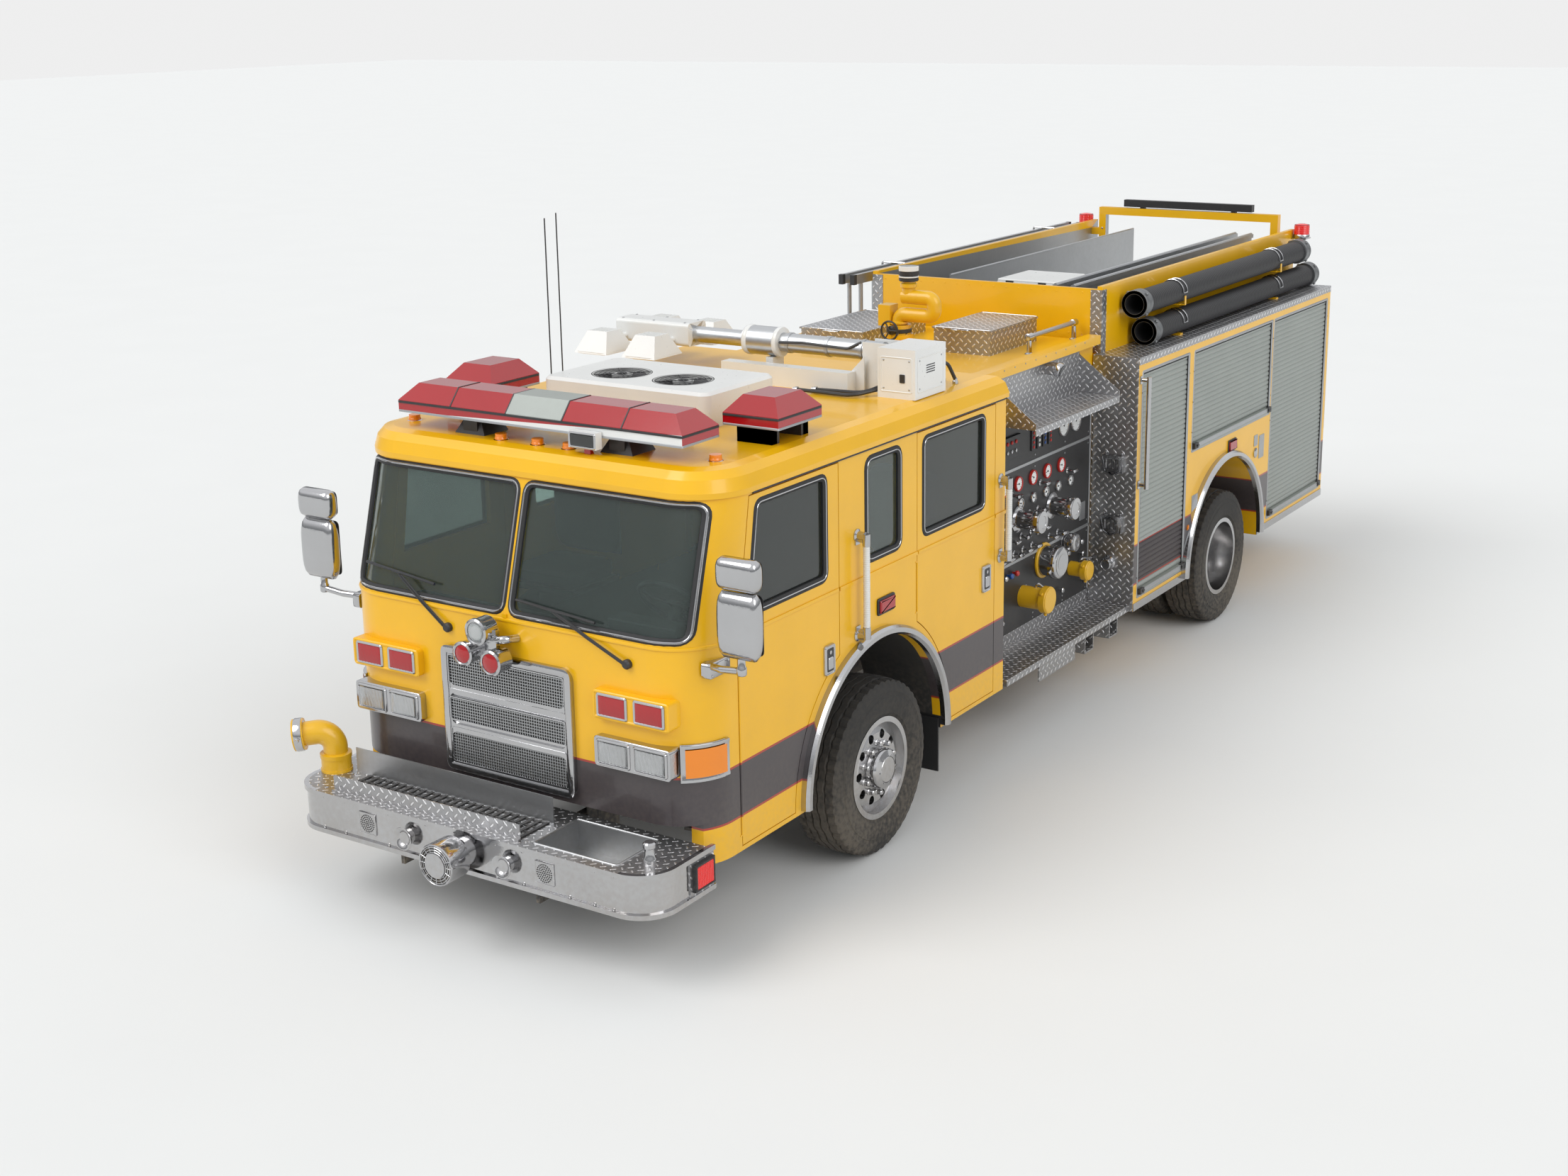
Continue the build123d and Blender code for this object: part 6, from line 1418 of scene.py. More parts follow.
@dataclass
class Bumper:
    """Bolts, speakers, horns, siren, lamps, elbow and deck fittings of the front bumper."""

    face_y: float = -4.886
    half: float = 1.236

    def build(self) -> None:
        """Makes the bumper's pieces."""
        self.face_fittings()
        self.siren()
        self.end_lamps()
        self.elbow()
        self.deck()

    def face_fittings(self) -> None:
        """Bolts, dotted speaker plates and trumpet mouths on the bumper's face."""
        face = front_face(self.face_y)
        piece = Piece("bumper_face_fittings", "chassis", Look.POLISHED)
        for x in (-1.00, -0.84, -0.52, -0.24, 0.24, 0.42, 0.72, 0.88, 1.00):
            for z in (0.462, 0.640):
                at, normal = face(x, z)
                piece.bolts([at], normal, 0.009, 0.005)
        plate = front_face(self.face_y - 0.006)
        for x in (-0.665, 0.565):
            piece.use(Look.POLISHED).band(
                plaque(x, 0.555, 0.120, 0.120, 0.008), plate, -0.006, 0.003, -0.007, 0.002)
            piece.use(Look.RUBBER)
            for ring in range(5):
                count = max(1, ring * 6)
                for turn in turns(count):
                    u, v = 0.0118 * ring * math.cos(turn), 0.0118 * ring * math.sin(turn)
                    spot, normal = plate(x + u, 0.555 + v)
                    piece.turned([(0.0044, -0.001), (0.0044, 0.0008)], spot, normal, 6)
        for x in (-0.375, 0.310):
            at = (x, self.face_y, 0.545)
            piece.use(Look.POLISHED).turned(
                [
                    (0.020, -0.004), (0.023, 0.012), (0.030, 0.026), (0.042, 0.038), (0.058, 0.045),
                    (0.063, 0.046), (0.064, 0.043), (0.056, 0.038), (0.040, 0.024), (0.040, -0.002)],
                at, AHEAD, 36)
            piece.use(Look.CHASSIS).turned([(0.018, 0.014), (0.010, 0.020), (0.002, 0.021)], at, AHEAD, 20)
        piece.done()

    def siren(self) -> None:
        """Rim, wire rings and spokes on the mouth of the big siren."""
        piece = Piece("siren_drum", "chassis", Look.POLISHED)
        at = (0.0, 0.0, 0.540)
        piece.turned(
            [
                (0.098, 4.944), (0.1135, 4.948), (0.1145, 4.956), (0.1145, 5.076), (0.1125, 5.083),
                (0.108, 5.0855), (0.104, 5.083), (0.103, 5.078)],
            at, AHEAD, 56, caps=False)
        for ring in (0.0705, 0.084, 0.098):
            path = [
                Vector((ring * math.cos(turn), -5.0815, 0.540 + ring * math.sin(turn))) for turn in turns(40)
            ]
            piece.hoop(path, 0.0032, 6)
        for angle in turns(16):
            start = Vector((0.068 * math.cos(angle), -5.081, 0.540 + 0.068 * math.sin(angle)))
            end = Vector((0.104 * math.cos(angle), -5.081, 0.540 + 0.104 * math.sin(angle)))
            piece.tube([start, end], 0.0028, 6)
        piece.done()

    def end_lamps(self) -> None:
        """Ribbed red lamps in black bezels on tread plates at the bumper's ends."""
        for side, sign in SIDES:
            face = side_face(sign, self.half)
            piece = Piece("bumper_end_lamp_" + side, "chassis", Look.TREAD)
            plate = plaque(sign * -4.470, 0.551, 0.205, 0.200, 0.012)
            piece.slab(plate, face, -0.002, 0.007)
            bezel = plaque(sign * -4.470, 0.552, 0.160, 0.140, 0.016)
            lamp = swell(bezel, -0.010)
            outer = side_face(sign, 1.262)
            piece.use(Look.PLASTIC).band(bezel, outer, -0.014, 0.004, -0.020, 0.006)
            piece.use(Look.RED_GLOW).slab(lamp, outer, -0.004, 0.005, 0.003)
            for step in range(9):
                u = -0.058 + step * 0.0145
                spot, normal = outer(sign * -4.470 + u, 0.552)
                piece.tube(
                    [
                        spot + normal * 0.005 + Vector((0, 0, -0.055)),
                        spot + normal * 0.005 + Vector((0, 0, 0.055))],
                    0.0022, 6)
            piece.done()

    def elbow(self) -> None:
        """Swivel rings, bolts and lugged cap of the elbow over the passenger's end of the bumper."""
        piece = Piece("elbow_fittings", "chassis", Look.BRASS)
        base = (-1.165, -4.610, 0.0)
        piece.turned(
            [
                (0.088, 0.666), (0.088, 0.684), (0.074, 0.690), (0.074, 0.742), (0.088, 0.748),
                (0.0885, 0.772), (0.074, 0.778)],
            base, UP, 32)
        for angle in turns(8):
            piece.bolts([round_up((-1.165, -4.610, 0.684), 0.079, angle)], UP, 0.008, 0.007, 6)
        outward = Vector((-0.78, -0.62, -0.08)).normalized()
        cap = Vector((-1.315, -4.730, 0.885))
        piece.use(Look.POLISHED).turned(
            [
                (0.070, -0.030), (0.0935, -0.022), (0.0945, 0.014), (0.090, 0.022), (0.072, 0.026),
                (0.070, 0.020), (0.036, 0.018), (0.034, 0.026), (0.012, 0.029)],
            cap, outward, 36)
        across = outward.cross(Vector(UP)).normalized()
        for sign in SIGNS:
            lug = cap + across * sign * 0.092
            piece.turned([(0.011, 0.0), (0.012, 0.014), (0.009, 0.022)], lug, across * sign, 14)
        piece.done()

    def deck(self) -> None:
        """Slatted floor of the tray, rim of the well, the small outlet beside it and bolts."""
        piece = Piece("bumper_deck_fittings", "chassis", Look.PLASTIC)
        for step in range(26):
            x = -0.925 + step * 0.0505
            piece.box((x, -4.828, 0.672), (x + 0.020, -4.592, 0.678))
        for step in range(4):
            y = -4.815 + step * 0.068
            piece.box((-0.935, y, 0.6705), (0.362, y + 0.014, 0.6755))
        piece.use(Look.BRUSHED)
        face = Face.at((0.715, -4.650, 0.670), ACROSS, ASTERN)
        piece.band(oblong(0.530, 0.350, 0.012), face, -0.003, 0.012, -0.002, 0.007)
        piece.use(Look.POLISHED).turned(
            [
                (0.034, 0.668), (0.034, 0.690), (0.027, 0.700), (0.027, 0.742), (0.034, 0.748),
                (0.034, 0.768), (0.026, 0.776)],
            (1.092, -4.700, 0), UP, 24)
        piece.bolts([(x, y, 0.670) for x in (-1.02, 0.415) for y in (-4.83, -4.62)], UP, 0.010, 0.005)
        piece.bolts(
            [(x, -4.848, z) for x in (-0.90, -0.45, 0.0, 0.33) for z in (0.705, 0.742)], AHEAD, 0.006, 0.003)
        piece.done()


@dataclass
class Roof:
    """Lamp hood segments, feet, markers, fans and aerial bases on the cab roof."""

    top: float = 2.560

    def build(self) -> None:
        """Makes the roof's pieces."""
        self.light_bars()
        self.markers()
        self.fans()

    def hood(self, piece: Piece, x0: float, x1: float, y0: float, y1: float, grow: float = 0.0) -> None:
        """Adds a faceted hood over a stretch of a light bar, following its slopes."""
        middle = (y0 + y1) / 2
        low, mid, high = 2.712, 2.716, 2.805 + grow
        edge = 0.075
        rings = []
        for x in (x0, x1):
            rings.append(
                [
                    (x, y0 - grow, low), (x, y0 - grow, mid), (x, y0 + edge, high), (x, y1 - edge, high),
                    (x, y1 + grow, mid), (x, y1 + grow, low), (x, middle, low)])
        piece.loft(rings)

    def light_bars(self) -> None:
        """Seams, pale middle segment, edge strips and feet of the light bars."""
        piece = Piece("light_bar_fittings", "cab", Look.PLASTIC)
        face = Face.at((0, -3.990, 0), ACROSS, ASTERN)
        piece.band(oblong(1.925, 0.325, 0.012), face, -0.004, 0.002, 2.700, 2.712)
        for x in (-0.58, -0.19, 0.19, 0.58):
            self.hood(piece, x - 0.004, x + 0.004, -4.150, -3.830, 0.0025)
        for sign in SIGNS:
            centre = Face.at((sign * 0.975, -3.360, 0), ACROSS, ASTERN)
            piece.band(oblong(0.354, 0.424, 0.012), centre, -0.004, 0.002, 2.700, 2.712)
            for y in (-3.50, -3.22):
                piece.box(
                    (sign * 0.975 - 0.11, y - 0.035, self.top - 0.01),
                    (sign * 0.975 + 0.11, y + 0.035, 2.650))
            foot = sign * 0.50
            piece.loft(
                [
                    [
                        (foot - 0.11, -4.10, 2.552), (foot + 0.11, -4.10, 2.552),
                        (foot + 0.11, -3.90, 2.552), (foot - 0.11, -3.90, 2.552)],
                    [
                        (foot - 0.05, -4.06, 2.652), (foot + 0.05, -4.06, 2.652),
                        (foot + 0.05, -3.92, 2.652), (foot - 0.05, -3.92, 2.652)]])
        piece.use(Look.SLATS)
        self.hood(piece, -0.186, 0.186, -4.150, -3.830, 0.002)
        piece.use(Look.BRUSHED).band(oblong(1.922, 0.322, 0.010), face, -0.004, 0.0025, 2.650, 2.662)
        for sign in SIGNS:
            centre = Face.at((sign * 0.975, -3.360, 0), ACROSS, ASTERN)
            piece.band(oblong(0.352, 0.422, 0.010), centre, -0.004, 0.0025, 2.650, 2.662)
        piece.done()

    def markers(self) -> None:
        """Amber domes, the flood lamp's frame and lens, and the aerial bases."""
        piece = Piece("roof_markers", "cab", Look.AMBER)
        for x, y in MARKERS:
            piece.use(Look.AMBER).turned(
                [(0.036, 0.0), (0.036, 0.010), (0.033, 0.022), (0.024, 0.033), (0.010, 0.038)],
                (x, y, self.top - 0.008), UP, 24)
            piece.use(Look.POLISHED).turned(
                [(0.041, -0.004), (0.041, 0.006), (0.036, 0.009)], (x, y, self.top - 0.006), UP, 24)
        face = Face.at((0.365, -4.205, 2.6385), ACROSS, UP)
        piece.use(Look.POLISHED).band(oblong(0.176, 0.084, 0.012), face, -0.012, 0.0, -0.004, 0.006)
        piece.use(Look.CLEAR_LENS).slab(oblong(0.152, 0.060, 0.008), face, 0.0, 0.004, 0.002)
        piece.use(Look.PLASTIC)
        for x, y in ((-0.800, -3.040), (-0.930, -2.780)):
            piece.turned(
                [(0.026, -0.006), (0.026, 0.012), (0.014, 0.030), (0.008, 0.075)], (x, y, self.top), UP, 18)
        piece.done()

    def fans(self) -> None:
        """Fan blades under wire guards, and the louvres of the cooler."""
        piece = Piece("cooler_fans", "cab", Look.PLASTIC)
        for x in (-0.215, 0.215):
            at = (x, -3.115, 0)
            piece.use(Look.RUBBER).turned([(0.163, 2.7315), (0.163, 2.734), (0.02, 2.734)], at, UP, 40)
            piece.use(Look.PLASTIC).turned([(0.045, 2.734), (0.045, 2.750), (0.030, 2.756)], at, UP, 24)
            for turn in turns(7):
                rings = []
                for radius, wide in ((0.040, 0.020), (0.095, 0.040), (0.150, 0.050)):
                    ring = []
                    for share, lift in ((-1, 2.737), (0, 2.744), (1, 2.749)):
                        angle = turn + share * wide / radius + 0.25 * radius / 0.15
                        ring.append(round_up((x, -3.115, lift), radius, angle))
                    rings.append(ring)
                piece.loft(rings, caps=False, open_ring=True)
            for radius in (0.030, 0.055, 0.080, 0.105, 0.130, 0.155):
                path = [Vector(round_up((x, -3.115, 2.7585), radius, turn)) for turn in turns(36)]
                piece.hoop(path, 0.0018, 5)
            for spoke in range(4):
                turn = math.pi / 4 + math.pi * spoke / 2
                piece.tube([(x, -3.115, 2.7575), round_up((x, -3.115, 2.7575), 0.165, turn)], 0.0025, 6)
        piece.use(Look.WHITE)
        for x in (-0.215, 0.215):
            flat = Face.at((x, -3.115, 2.758), ACROSS, ASTERN)
            piece.band(disc(0.165, 40), flat, 0.0, 0.014, 0.0, 0.002)
        piece.use(Look.PLASTIC)
        for step in range(10):
            x = -0.45 + step * 0.10
            piece.box((x - 0.036, -3.4025, 2.640), (x + 0.036, -3.398, 2.652))
            piece.box((x - 0.036, -3.4025, 2.664), (x + 0.036, -3.398, 2.676))
        piece.done()


@dataclass
class Tower:
    """Cables, clamps, panel seams and lamp glasses of the light tower."""

    line_y: float = -1.960

    def build(self) -> None:
        """Makes the tower's pieces."""
        self.base()
        self.mast()
        self.heads()

    def base(self) -> None:
        """Panel seams, screws, vents, and four cables with their glands, on the tower's fixed parts."""
        piece = Piece("tower_base_fittings", "cab", Look.WHITE)
        front = Face.at((1.025, -2.150, 2.700), ACROSS, UP)
        piece.band(oblong(0.205, 0.200, 0.012), front, -0.004, 0.004, -0.001, 0.003)
        outer = Face.at((1.150, -1.970, 2.700), ASTERN, UP)
        piece.band(oblong(0.300, 0.200, 0.012), outer, -0.004, 0.004, -0.001, 0.003)
        piece.use(Look.BRUSHED)
        for u in (-0.085, 0.085):
            for v in (-0.082, 0.082):
                piece.bolts([front(u, v)[0]], AHEAD, 0.006, 0.003)
                piece.bolts([outer(u * 1.5, v)[0]], ACROSS, 0.006, 0.003)
        piece.use(Look.PLASTIC).slab(plaque(0.04, -0.02, 0.034, 0.050, 0.006), front, 0.0, 0.006, 0.002)
        for step in range(4):
            piece.slab(
                [(u, v + 0.045 - step * 0.014) for u, v in oblong(0.10, 0.006, 0.002)], outer, 0.0, 0.002)
        for start, bend, end in (
                ((0.90, -2.06, 2.62), (0.84, -2.20, 2.585), (0.52, -2.21, 2.578)),
                ((0.90, -2.10, 2.60), (0.80, -2.27, 2.577), (0.42, -2.26, 2.577)),
                ((1.06, -1.79, 2.66), (1.08, -1.66, 2.72), (1.10, -1.58, 2.585)),
                ((1.00, -1.79, 2.64), (0.98, -1.64, 2.70), (1.00, -1.55, 2.585))):
            piece.tube(fillet([start, bend, end], 0.12, 8, False), 0.011, 10)
        piece.use(Look.POLISHED)
        for at, axis in (
                ((0.52, -2.21, 2.578), (-1, 0, 0)), ((0.42, -2.26, 2.577), (-1, 0, 0)),
                ((1.10, -1.58, 2.560), UP), ((1.00, -1.55, 2.560), UP)):
            piece.turned([(0.018, 0.0), (0.018, 0.016), (0.013, 0.022), (0.013, 0.034)], at, axis, 12)
        piece.done(0.001, 1)

    def mast(self) -> None:
        """Clamp rings and cable of the mast's outer tube."""
        piece = Piece("mast_fittings", "mast_outer", Look.WHITE)
        at = (0, self.line_y, 2.790)
        piece.turned(
            [(0.060, -0.128), (0.090, -0.126), (0.0925, -0.118), (0.0925, -0.100), (0.0885, -0.094)], at,
            ACROSS, 40)
        piece.turned(
            [(0.0885, 0.092), (0.0925, 0.098), (0.0925, 0.114), (0.090, 0.121), (0.060, 0.123)], at, ACROSS,
            40)
        piece.use(Look.BRUSHED)
        for x in (0.18, 0.46, 0.70):
            piece.turned(
                [(0.0585, x - 0.012), (0.063, x - 0.010), (0.063, x + 0.010), (0.0585, x + 0.012)], at,
                ACROSS, 36)
        piece.use(Look.PLASTIC).tube(
            fillet(
                [(0.14, -2.030, 2.800), (0.30, -2.034, 2.812), (0.62, -2.030, 2.800), (0.70, -2.00, 2.84)],
                0.05, 6, False),
            0.008, 8)
        piece.done()

    def heads(self) -> None:
        """Glasses, frames, fins and brackets of the four flood lamps on the moving head."""
        piece = Piece("flood_lamp_fittings", "mast_inner", Look.PLASTIC)
        for x in (-0.640, -1.010):
            for y in (-0.310, 0.310):
                middle = Vector((x, self.line_y + y, 2.695))
                under = Face.at(middle, ACROSS, AHEAD)
                piece.use(Look.WHITE).band(oblong(0.236, 0.276, 0.03), under, -0.014, 0.004, -0.010, 0.004)
                piece.use(Look.DIAL).slab(oblong(0.200, 0.240, 0.02), under, -0.004, 0.0005)
                piece.use(Look.CLEAR_LENS).slab(oblong(0.204, 0.244, 0.02), under, 0.001, 0.003)
                piece.use(Look.WHITE)
                for rib in range(5):
                    u = -0.050 + rib * 0.025
                    piece.box(
                        (x + u - 0.003, middle.y - 0.055, 2.800), (x + u + 0.003, middle.y + 0.055, 2.8285))
                piece.use(Look.BRUSHED)
                inward = -1 if y > 0 else 1
                piece.tube(
                    fillet(
                        [
                            (x - 0.05, middle.y + inward * 0.150, 2.745),
                            (x - 0.05, middle.y + inward * 0.186, 2.760),
                            (x - 0.05, middle.y + inward * 0.214, 2.775)],
                        0.02, 3, False),
                    0.009, 8)
        piece.use(Look.BRUSHED)
        for x in (-0.56, -0.80, -1.04):
            for y in (-0.070, 0.070):
                piece.bolts([(x, self.line_y + y, 2.865)], UP, 0.008, 0.004, 6)
        piece.done()


@dataclass
class PumpPanel:
    """Gauges, handles, knobs, caps and levers of the pump operator's panel on one side."""

    side: str
    sign: float
    plate: float = 0.904

    @property
    def flat(self) -> Face:
        """The panel's plate as a working face."""
        return side_face(self.sign, self.plate)

    def face(self, y: float, z: float) -> tuple[Vector, Vector]:
        """Point of the panel's plate and its normal."""
        return Vector((self.sign * self.plate, y, z)), Vector((self.sign, 0, 0))

    def build(self) -> None:
        """Makes the pieces of this side's panel."""
        self.sheet()
        self.gauges()
        self.handles()
        self.outlets()
        self.canopy()

    def slab_at(
            self, piece: Piece, y: float, z: float, wide: float, tall: float, low: float, high: float,
            radius: float = 0.006) -> None:
        """Adds a rounded plate on the panel."""
        piece.slab(
            plaque(self.sign * y, z, wide, tall, radius), self.flat, low, high,
            min(0.002, (high - low) * 0.4))

    def ring_at(
            self, piece: Piece, y: float, z: float, radius: float, inner: float, outer: float, high: float
    ) -> None:
        """Adds a bezel ring on the panel."""
        outline = [Vector((self.sign * y + u, z + v)) for u, v in disc(radius, 28)]
        piece.band(outline, self.flat, inner, outer, 0.0, high)

    def sheet(self) -> None:
        """Section strips, screws and small blank plates."""
        piece = Piece("panel_sheet_trim_" + self.side, "chassis", Look.BRUSHED)
        for z in (1.770, 1.130):
            self.slab_at(piece, -0.145, z, 1.830, 0.022, 0.0, 0.005)
        for y in (-1.058, 0.768):
            self.slab_at(piece, y, 1.380, 0.020, 1.450, 0.0, 0.005)
        for z in (0.668, 0.70, 1.09, 1.17, 1.73, 1.81, 2.09):
            for y in (-1.03, -0.55, -0.10, 0.36, 0.735):
                piece.bolts([self.face(y, z)[0]], (self.sign, 0, 0), 0.0065, 0.003, 6)
        self.slab_at(piece, -0.25, 0.905, 0.10, 0.045, 0.0, 0.003)
        self.slab_at(piece, 0.66, 1.25, 0.09, 0.13, 0.0, 0.003)
        piece.use(Look.RED_TRIM)
        self.slab_at(piece, -0.86, 1.885, 0.17, 0.16, 0.0, 0.004)
        piece.done()

    def gauges(self) -> None:
        """Round gauges with bezels, faces, pointers and marks, upright level lamps and buttons."""
        piece = Piece("panel_gauges_" + self.side, "chassis", Look.POLISHED)
        large = [(0.32, 1.930, 0.070), (0.51, 1.930, 0.070)]
        ringed = [(-0.78 + step * 0.215, 1.660, 0.047) for step in range(6)]
        small = [(-0.70 + step * 0.19, 1.520, 0.034) for step in range(7)]
        for y, z, radius in large + ringed + small:
            piece.use(Look.RED_TRIM if (y, z, radius) in ringed else Look.POLISHED)
            self.ring_at(piece, y, z, radius, -0.006, 0.005, 0.016)
            at, normal = self.face(y, z)
            piece.use(Look.DIAL).turned([(radius - 0.004, 0.001), (radius - 0.004, 0.010)], at, normal, 28)
            piece.use(Look.RUBBER)
            for mark in range(11):
                turn = math.radians(-135 + 27 * mark)
                spot = at + Vector((0, math.sin(turn) * self.sign, math.cos(turn))) * (radius * 0.72)
                piece.turned(
                    [(0.0022 if mark % 5 else 0.0036, 0.0095), (0.0022 if mark % 5 else 0.0036, 0.0107)],
                    spot, normal, 6)
            turn = math.radians(-110 + (y * 97) % 60)
            tip = at + Vector(
                (0, math.sin(turn) * self.sign, math.cos(turn))) * (radius * 0.62) + normal * 0.0115
            piece.tube([at + normal * 0.0115, tip], 0.0018, 5)
            piece.turned([(0.006, 0.010), (0.006, 0.0135)], at, normal, 10)
        for index, look in enumerate((Look.RED_TRIM, Look.DIAL, Look.BLUE_TRIM, Look.RED_TRIM)):
            y = -0.14 + index * 0.085
            piece.use(Look.PLASTIC)
            self.slab_at(piece, y, 1.935, 0.056, 0.180, 0.0, 0.010)
            for lamp in range(5):
                piece.use(look)
                at, normal = self.face(y, 1.870 + lamp * 0.032)
                piece.turned([(0.011, 0.009), (0.011, 0.013), (0.006, 0.016)], at, normal, 10)
        piece.use(Look.PLASTIC)
        self.slab_at(piece, -0.46, 1.930, 0.24, 0.150, 0.0, 0.018)
        for y in (-0.54, -0.48, -0.42):
            for z in (1.965, 1.905):
                piece.use(Look.RED_TRIM if z > 1.95 else Look.POLISHED)
                at, normal = self.face(y, z)
                piece.turned([(0.013, 0.016), (0.013, 0.024), (0.008, 0.027)], at, normal, 12)
        piece.done()

    def handles(self) -> None:
        """Pull handles in rows, and coloured drain knobs."""
        piece = Piece("panel_handles_" + self.side, "chassis", Look.POLISHED)
        for z, start, count, step in (
                (1.600, -0.86, 4, 0.42), (1.425, -0.93, 9, 0.125), (1.290, -0.90, 7, 0.150),
                (1.190, -0.93, 10, 0.132)):
            for index in range(count):
                y = start + index * step
                if self.near_outlet(y, z):
                    continue
                at, normal = self.face(y, z)
                piece.use(Look.POLISHED).turned(
                    [(0.024, 0.0), (0.024, 0.006), (0.011, 0.010), (0.009, 0.055)], at, normal, 14)
                grip = at + normal * 0.062
                piece.turned(
                    [(0.009, -0.036), (0.013, -0.030), (0.0135, 0.0), (0.013, 0.030), (0.009, 0.036)], grip,
                    ASTERN, 12)
                if index % 3 == 1:
                    piece.use(Look.PLASTIC).turned(
                        [(0.015, 0.050), (0.016, 0.056), (0.012, 0.076)], at, normal, 14)
        for index in range(8):
            y, z = -0.98 + index * 0.082, 1.060
            piece.use(
                (Look.BLUE_TRIM, Look.RED_TRIM, Look.POLISHED)[index % 3]
            ).knob(self.face, y, z, 0.019, 0.045)
        for index in range(6):
            y, z = -0.98 + index * 0.075, 0.760
            piece.use(Look.POLISHED).knob(self.face, y, z, 0.017, 0.040)
        for y, z in ((0.30, 0.93), (0.39, 1.01), (0.60, 1.04), (0.62, 0.95), (0.30, 0.76), (0.66, 0.74)):
            piece.use(Look.POLISHED).knob(self.face, y, z, 0.021, 0.042)
        piece.done()

    def near_outlet(self, y: float, z: float) -> bool:
        """True where an outlet leaves no room for a handle."""
        spots = ((-0.350, 1.420, 0.13), (0.160, 1.400, 0.13), (0.390, 1.090, 0.12), (0.040, 1.040, 0.17))
        return any(math.hypot(y - at, z - height) < reach for at, height, reach in spots) or y > 0.72

    def outlets(self) -> None:
        """Swivel rings, lugged caps, the big suction cap and the valve levers."""
        piece = Piece("panel_outlets_" + self.side, "chassis", Look.POLISHED)
        for y, z, radius, reach in (
                (-0.350, 1.420, 0.062, 0.190), (0.160, 1.400, 0.062, 0.190), (0.390, 1.090, 0.048, 0.090)):
            at, normal = self.face(y, z)
            piece.use(Look.POLISHED).turned(
                [(radius + 0.030, 0.0), (radius + 0.030, 0.010), (radius + 0.012, 0.016)], at, normal, 28)
            tip = reach + 0.001
            piece.turned(
                [
                    (radius + 0.003, tip - 0.062), (radius + 0.016, tip - 0.058),
                    (radius + 0.016, tip - 0.010), (radius + 0.010, tip - 0.001),
                    (radius * 0.70, tip + 0.002), (radius * 0.66, tip - 0.002)],
                at, normal, 32)
            middle = at + normal * (tip - 0.034)
            piece.lugs([(0.010, 0.0), (0.011, 0.012), (0.008, 0.020)], 4, 0.5, middle, radius + 0.012, 10)
        at, normal = self.face(0.040, 1.040)
        piece.use(Look.BRASS).turned(
            [(0.106, 0.0), (0.124, 0.002), (0.124, 0.014), (0.106, 0.018)], at, normal, 40, caps=False)
        piece.use(Look.POLISHED).turned(
            [
                (0.105, 0.086), (0.116, 0.092), (0.117, 0.128), (0.110, 0.140), (0.094, 0.147),
                (0.060, 0.151), (0.050, 0.146), (0.020, 0.148)],
            at, normal, 40)
        piece.lugs([(0.013, 0.0), (0.015, 0.018), (0.011, 0.034)], 2, 0.35, at + normal * 0.112, 0.112, 12)
        for y, z, radius, reach in ((-0.260, 0.860, 0.075, 0.210), (0.490, 0.870, 0.052, 0.150)):
            at, normal = self.face(y, z)
            piece.use(Look.BRASS).turned(
                [
                    (radius + 0.002, reach - 0.055), (radius + 0.018, reach - 0.050),
                    (radius + 0.018, reach - 0.008), (radius + 0.006, reach + 0.002),
                    (radius * 0.72, reach + 0.003)],
                at, normal, 30)
            middle = at + normal * (reach - 0.030)
            piece.lugs([(0.011, 0.0), (0.012, 0.014), (0.009, 0.022)], 3, 0.4, middle, radius + 0.012, 10)
            start = at + normal * (reach * 0.45) + Vector((0, 0, radius - 0.002))
            knee = start + Vector((self.sign * 0.015, 0.010, 0.030))
            tip = knee + Vector((self.sign * 0.020, 0.120, -0.085 if radius > 0.06 else -0.02))
            piece.use(Look.POLISHED).tube(fillet([start, knee, tip], 0.02, 4, False), 0.009, 10)
            piece.use(Look.PLASTIC).turned(
                [(0.012, -0.002), (0.0145, 0.004), (0.0145, 0.044), (0.010, 0.050)], tip, tip - knee, 12)
        piece.done()

    def canopy(self) -> None:
        """Work lamp, rivets, edge bar and tread facing of the canopy over the panel."""
        piece = Piece("canopy_fittings_" + self.side, "chassis", Look.POLISHED)
        sign = self.sign
        at = (sign * 0.974, 0.070, 2.370)
        piece.turned(
            [(0.022, -0.02), (0.046, -0.004), (0.050, 0.008), (0.050, 0.030), (0.044, 0.036)], at,
            (sign, 0, -0.35), 24)
        piece.use(Look.CLEAR_LENS).turned(
            [(0.043, 0.034), (0.030, 0.040), (0.006, 0.042)], at, (sign, 0, -0.35), 24)
        piece.use(Look.BRUSHED)
        for step in range(9):
            y = -0.66 + step * 0.15
            piece.bolts([(sign * 0.9545, y, 2.475)], (sign, 0, 0), 0.006, 0.003, 6)
            piece.bolts([(sign * (0.93 + 0.03 * (step % 2)), y, 2.1235)], UP, 0.006, 0.003, 6)
        piece.tube([(sign * 1.200, -0.695, 2.0795), (sign * 1.200, 0.575, 2.0795)], 0.005, 8)
        piece.use(Look.TREAD).side_box(sign, (0.893, 0.8975), (-0.698, 2.117), (0.578, 2.420))
        piece.done()


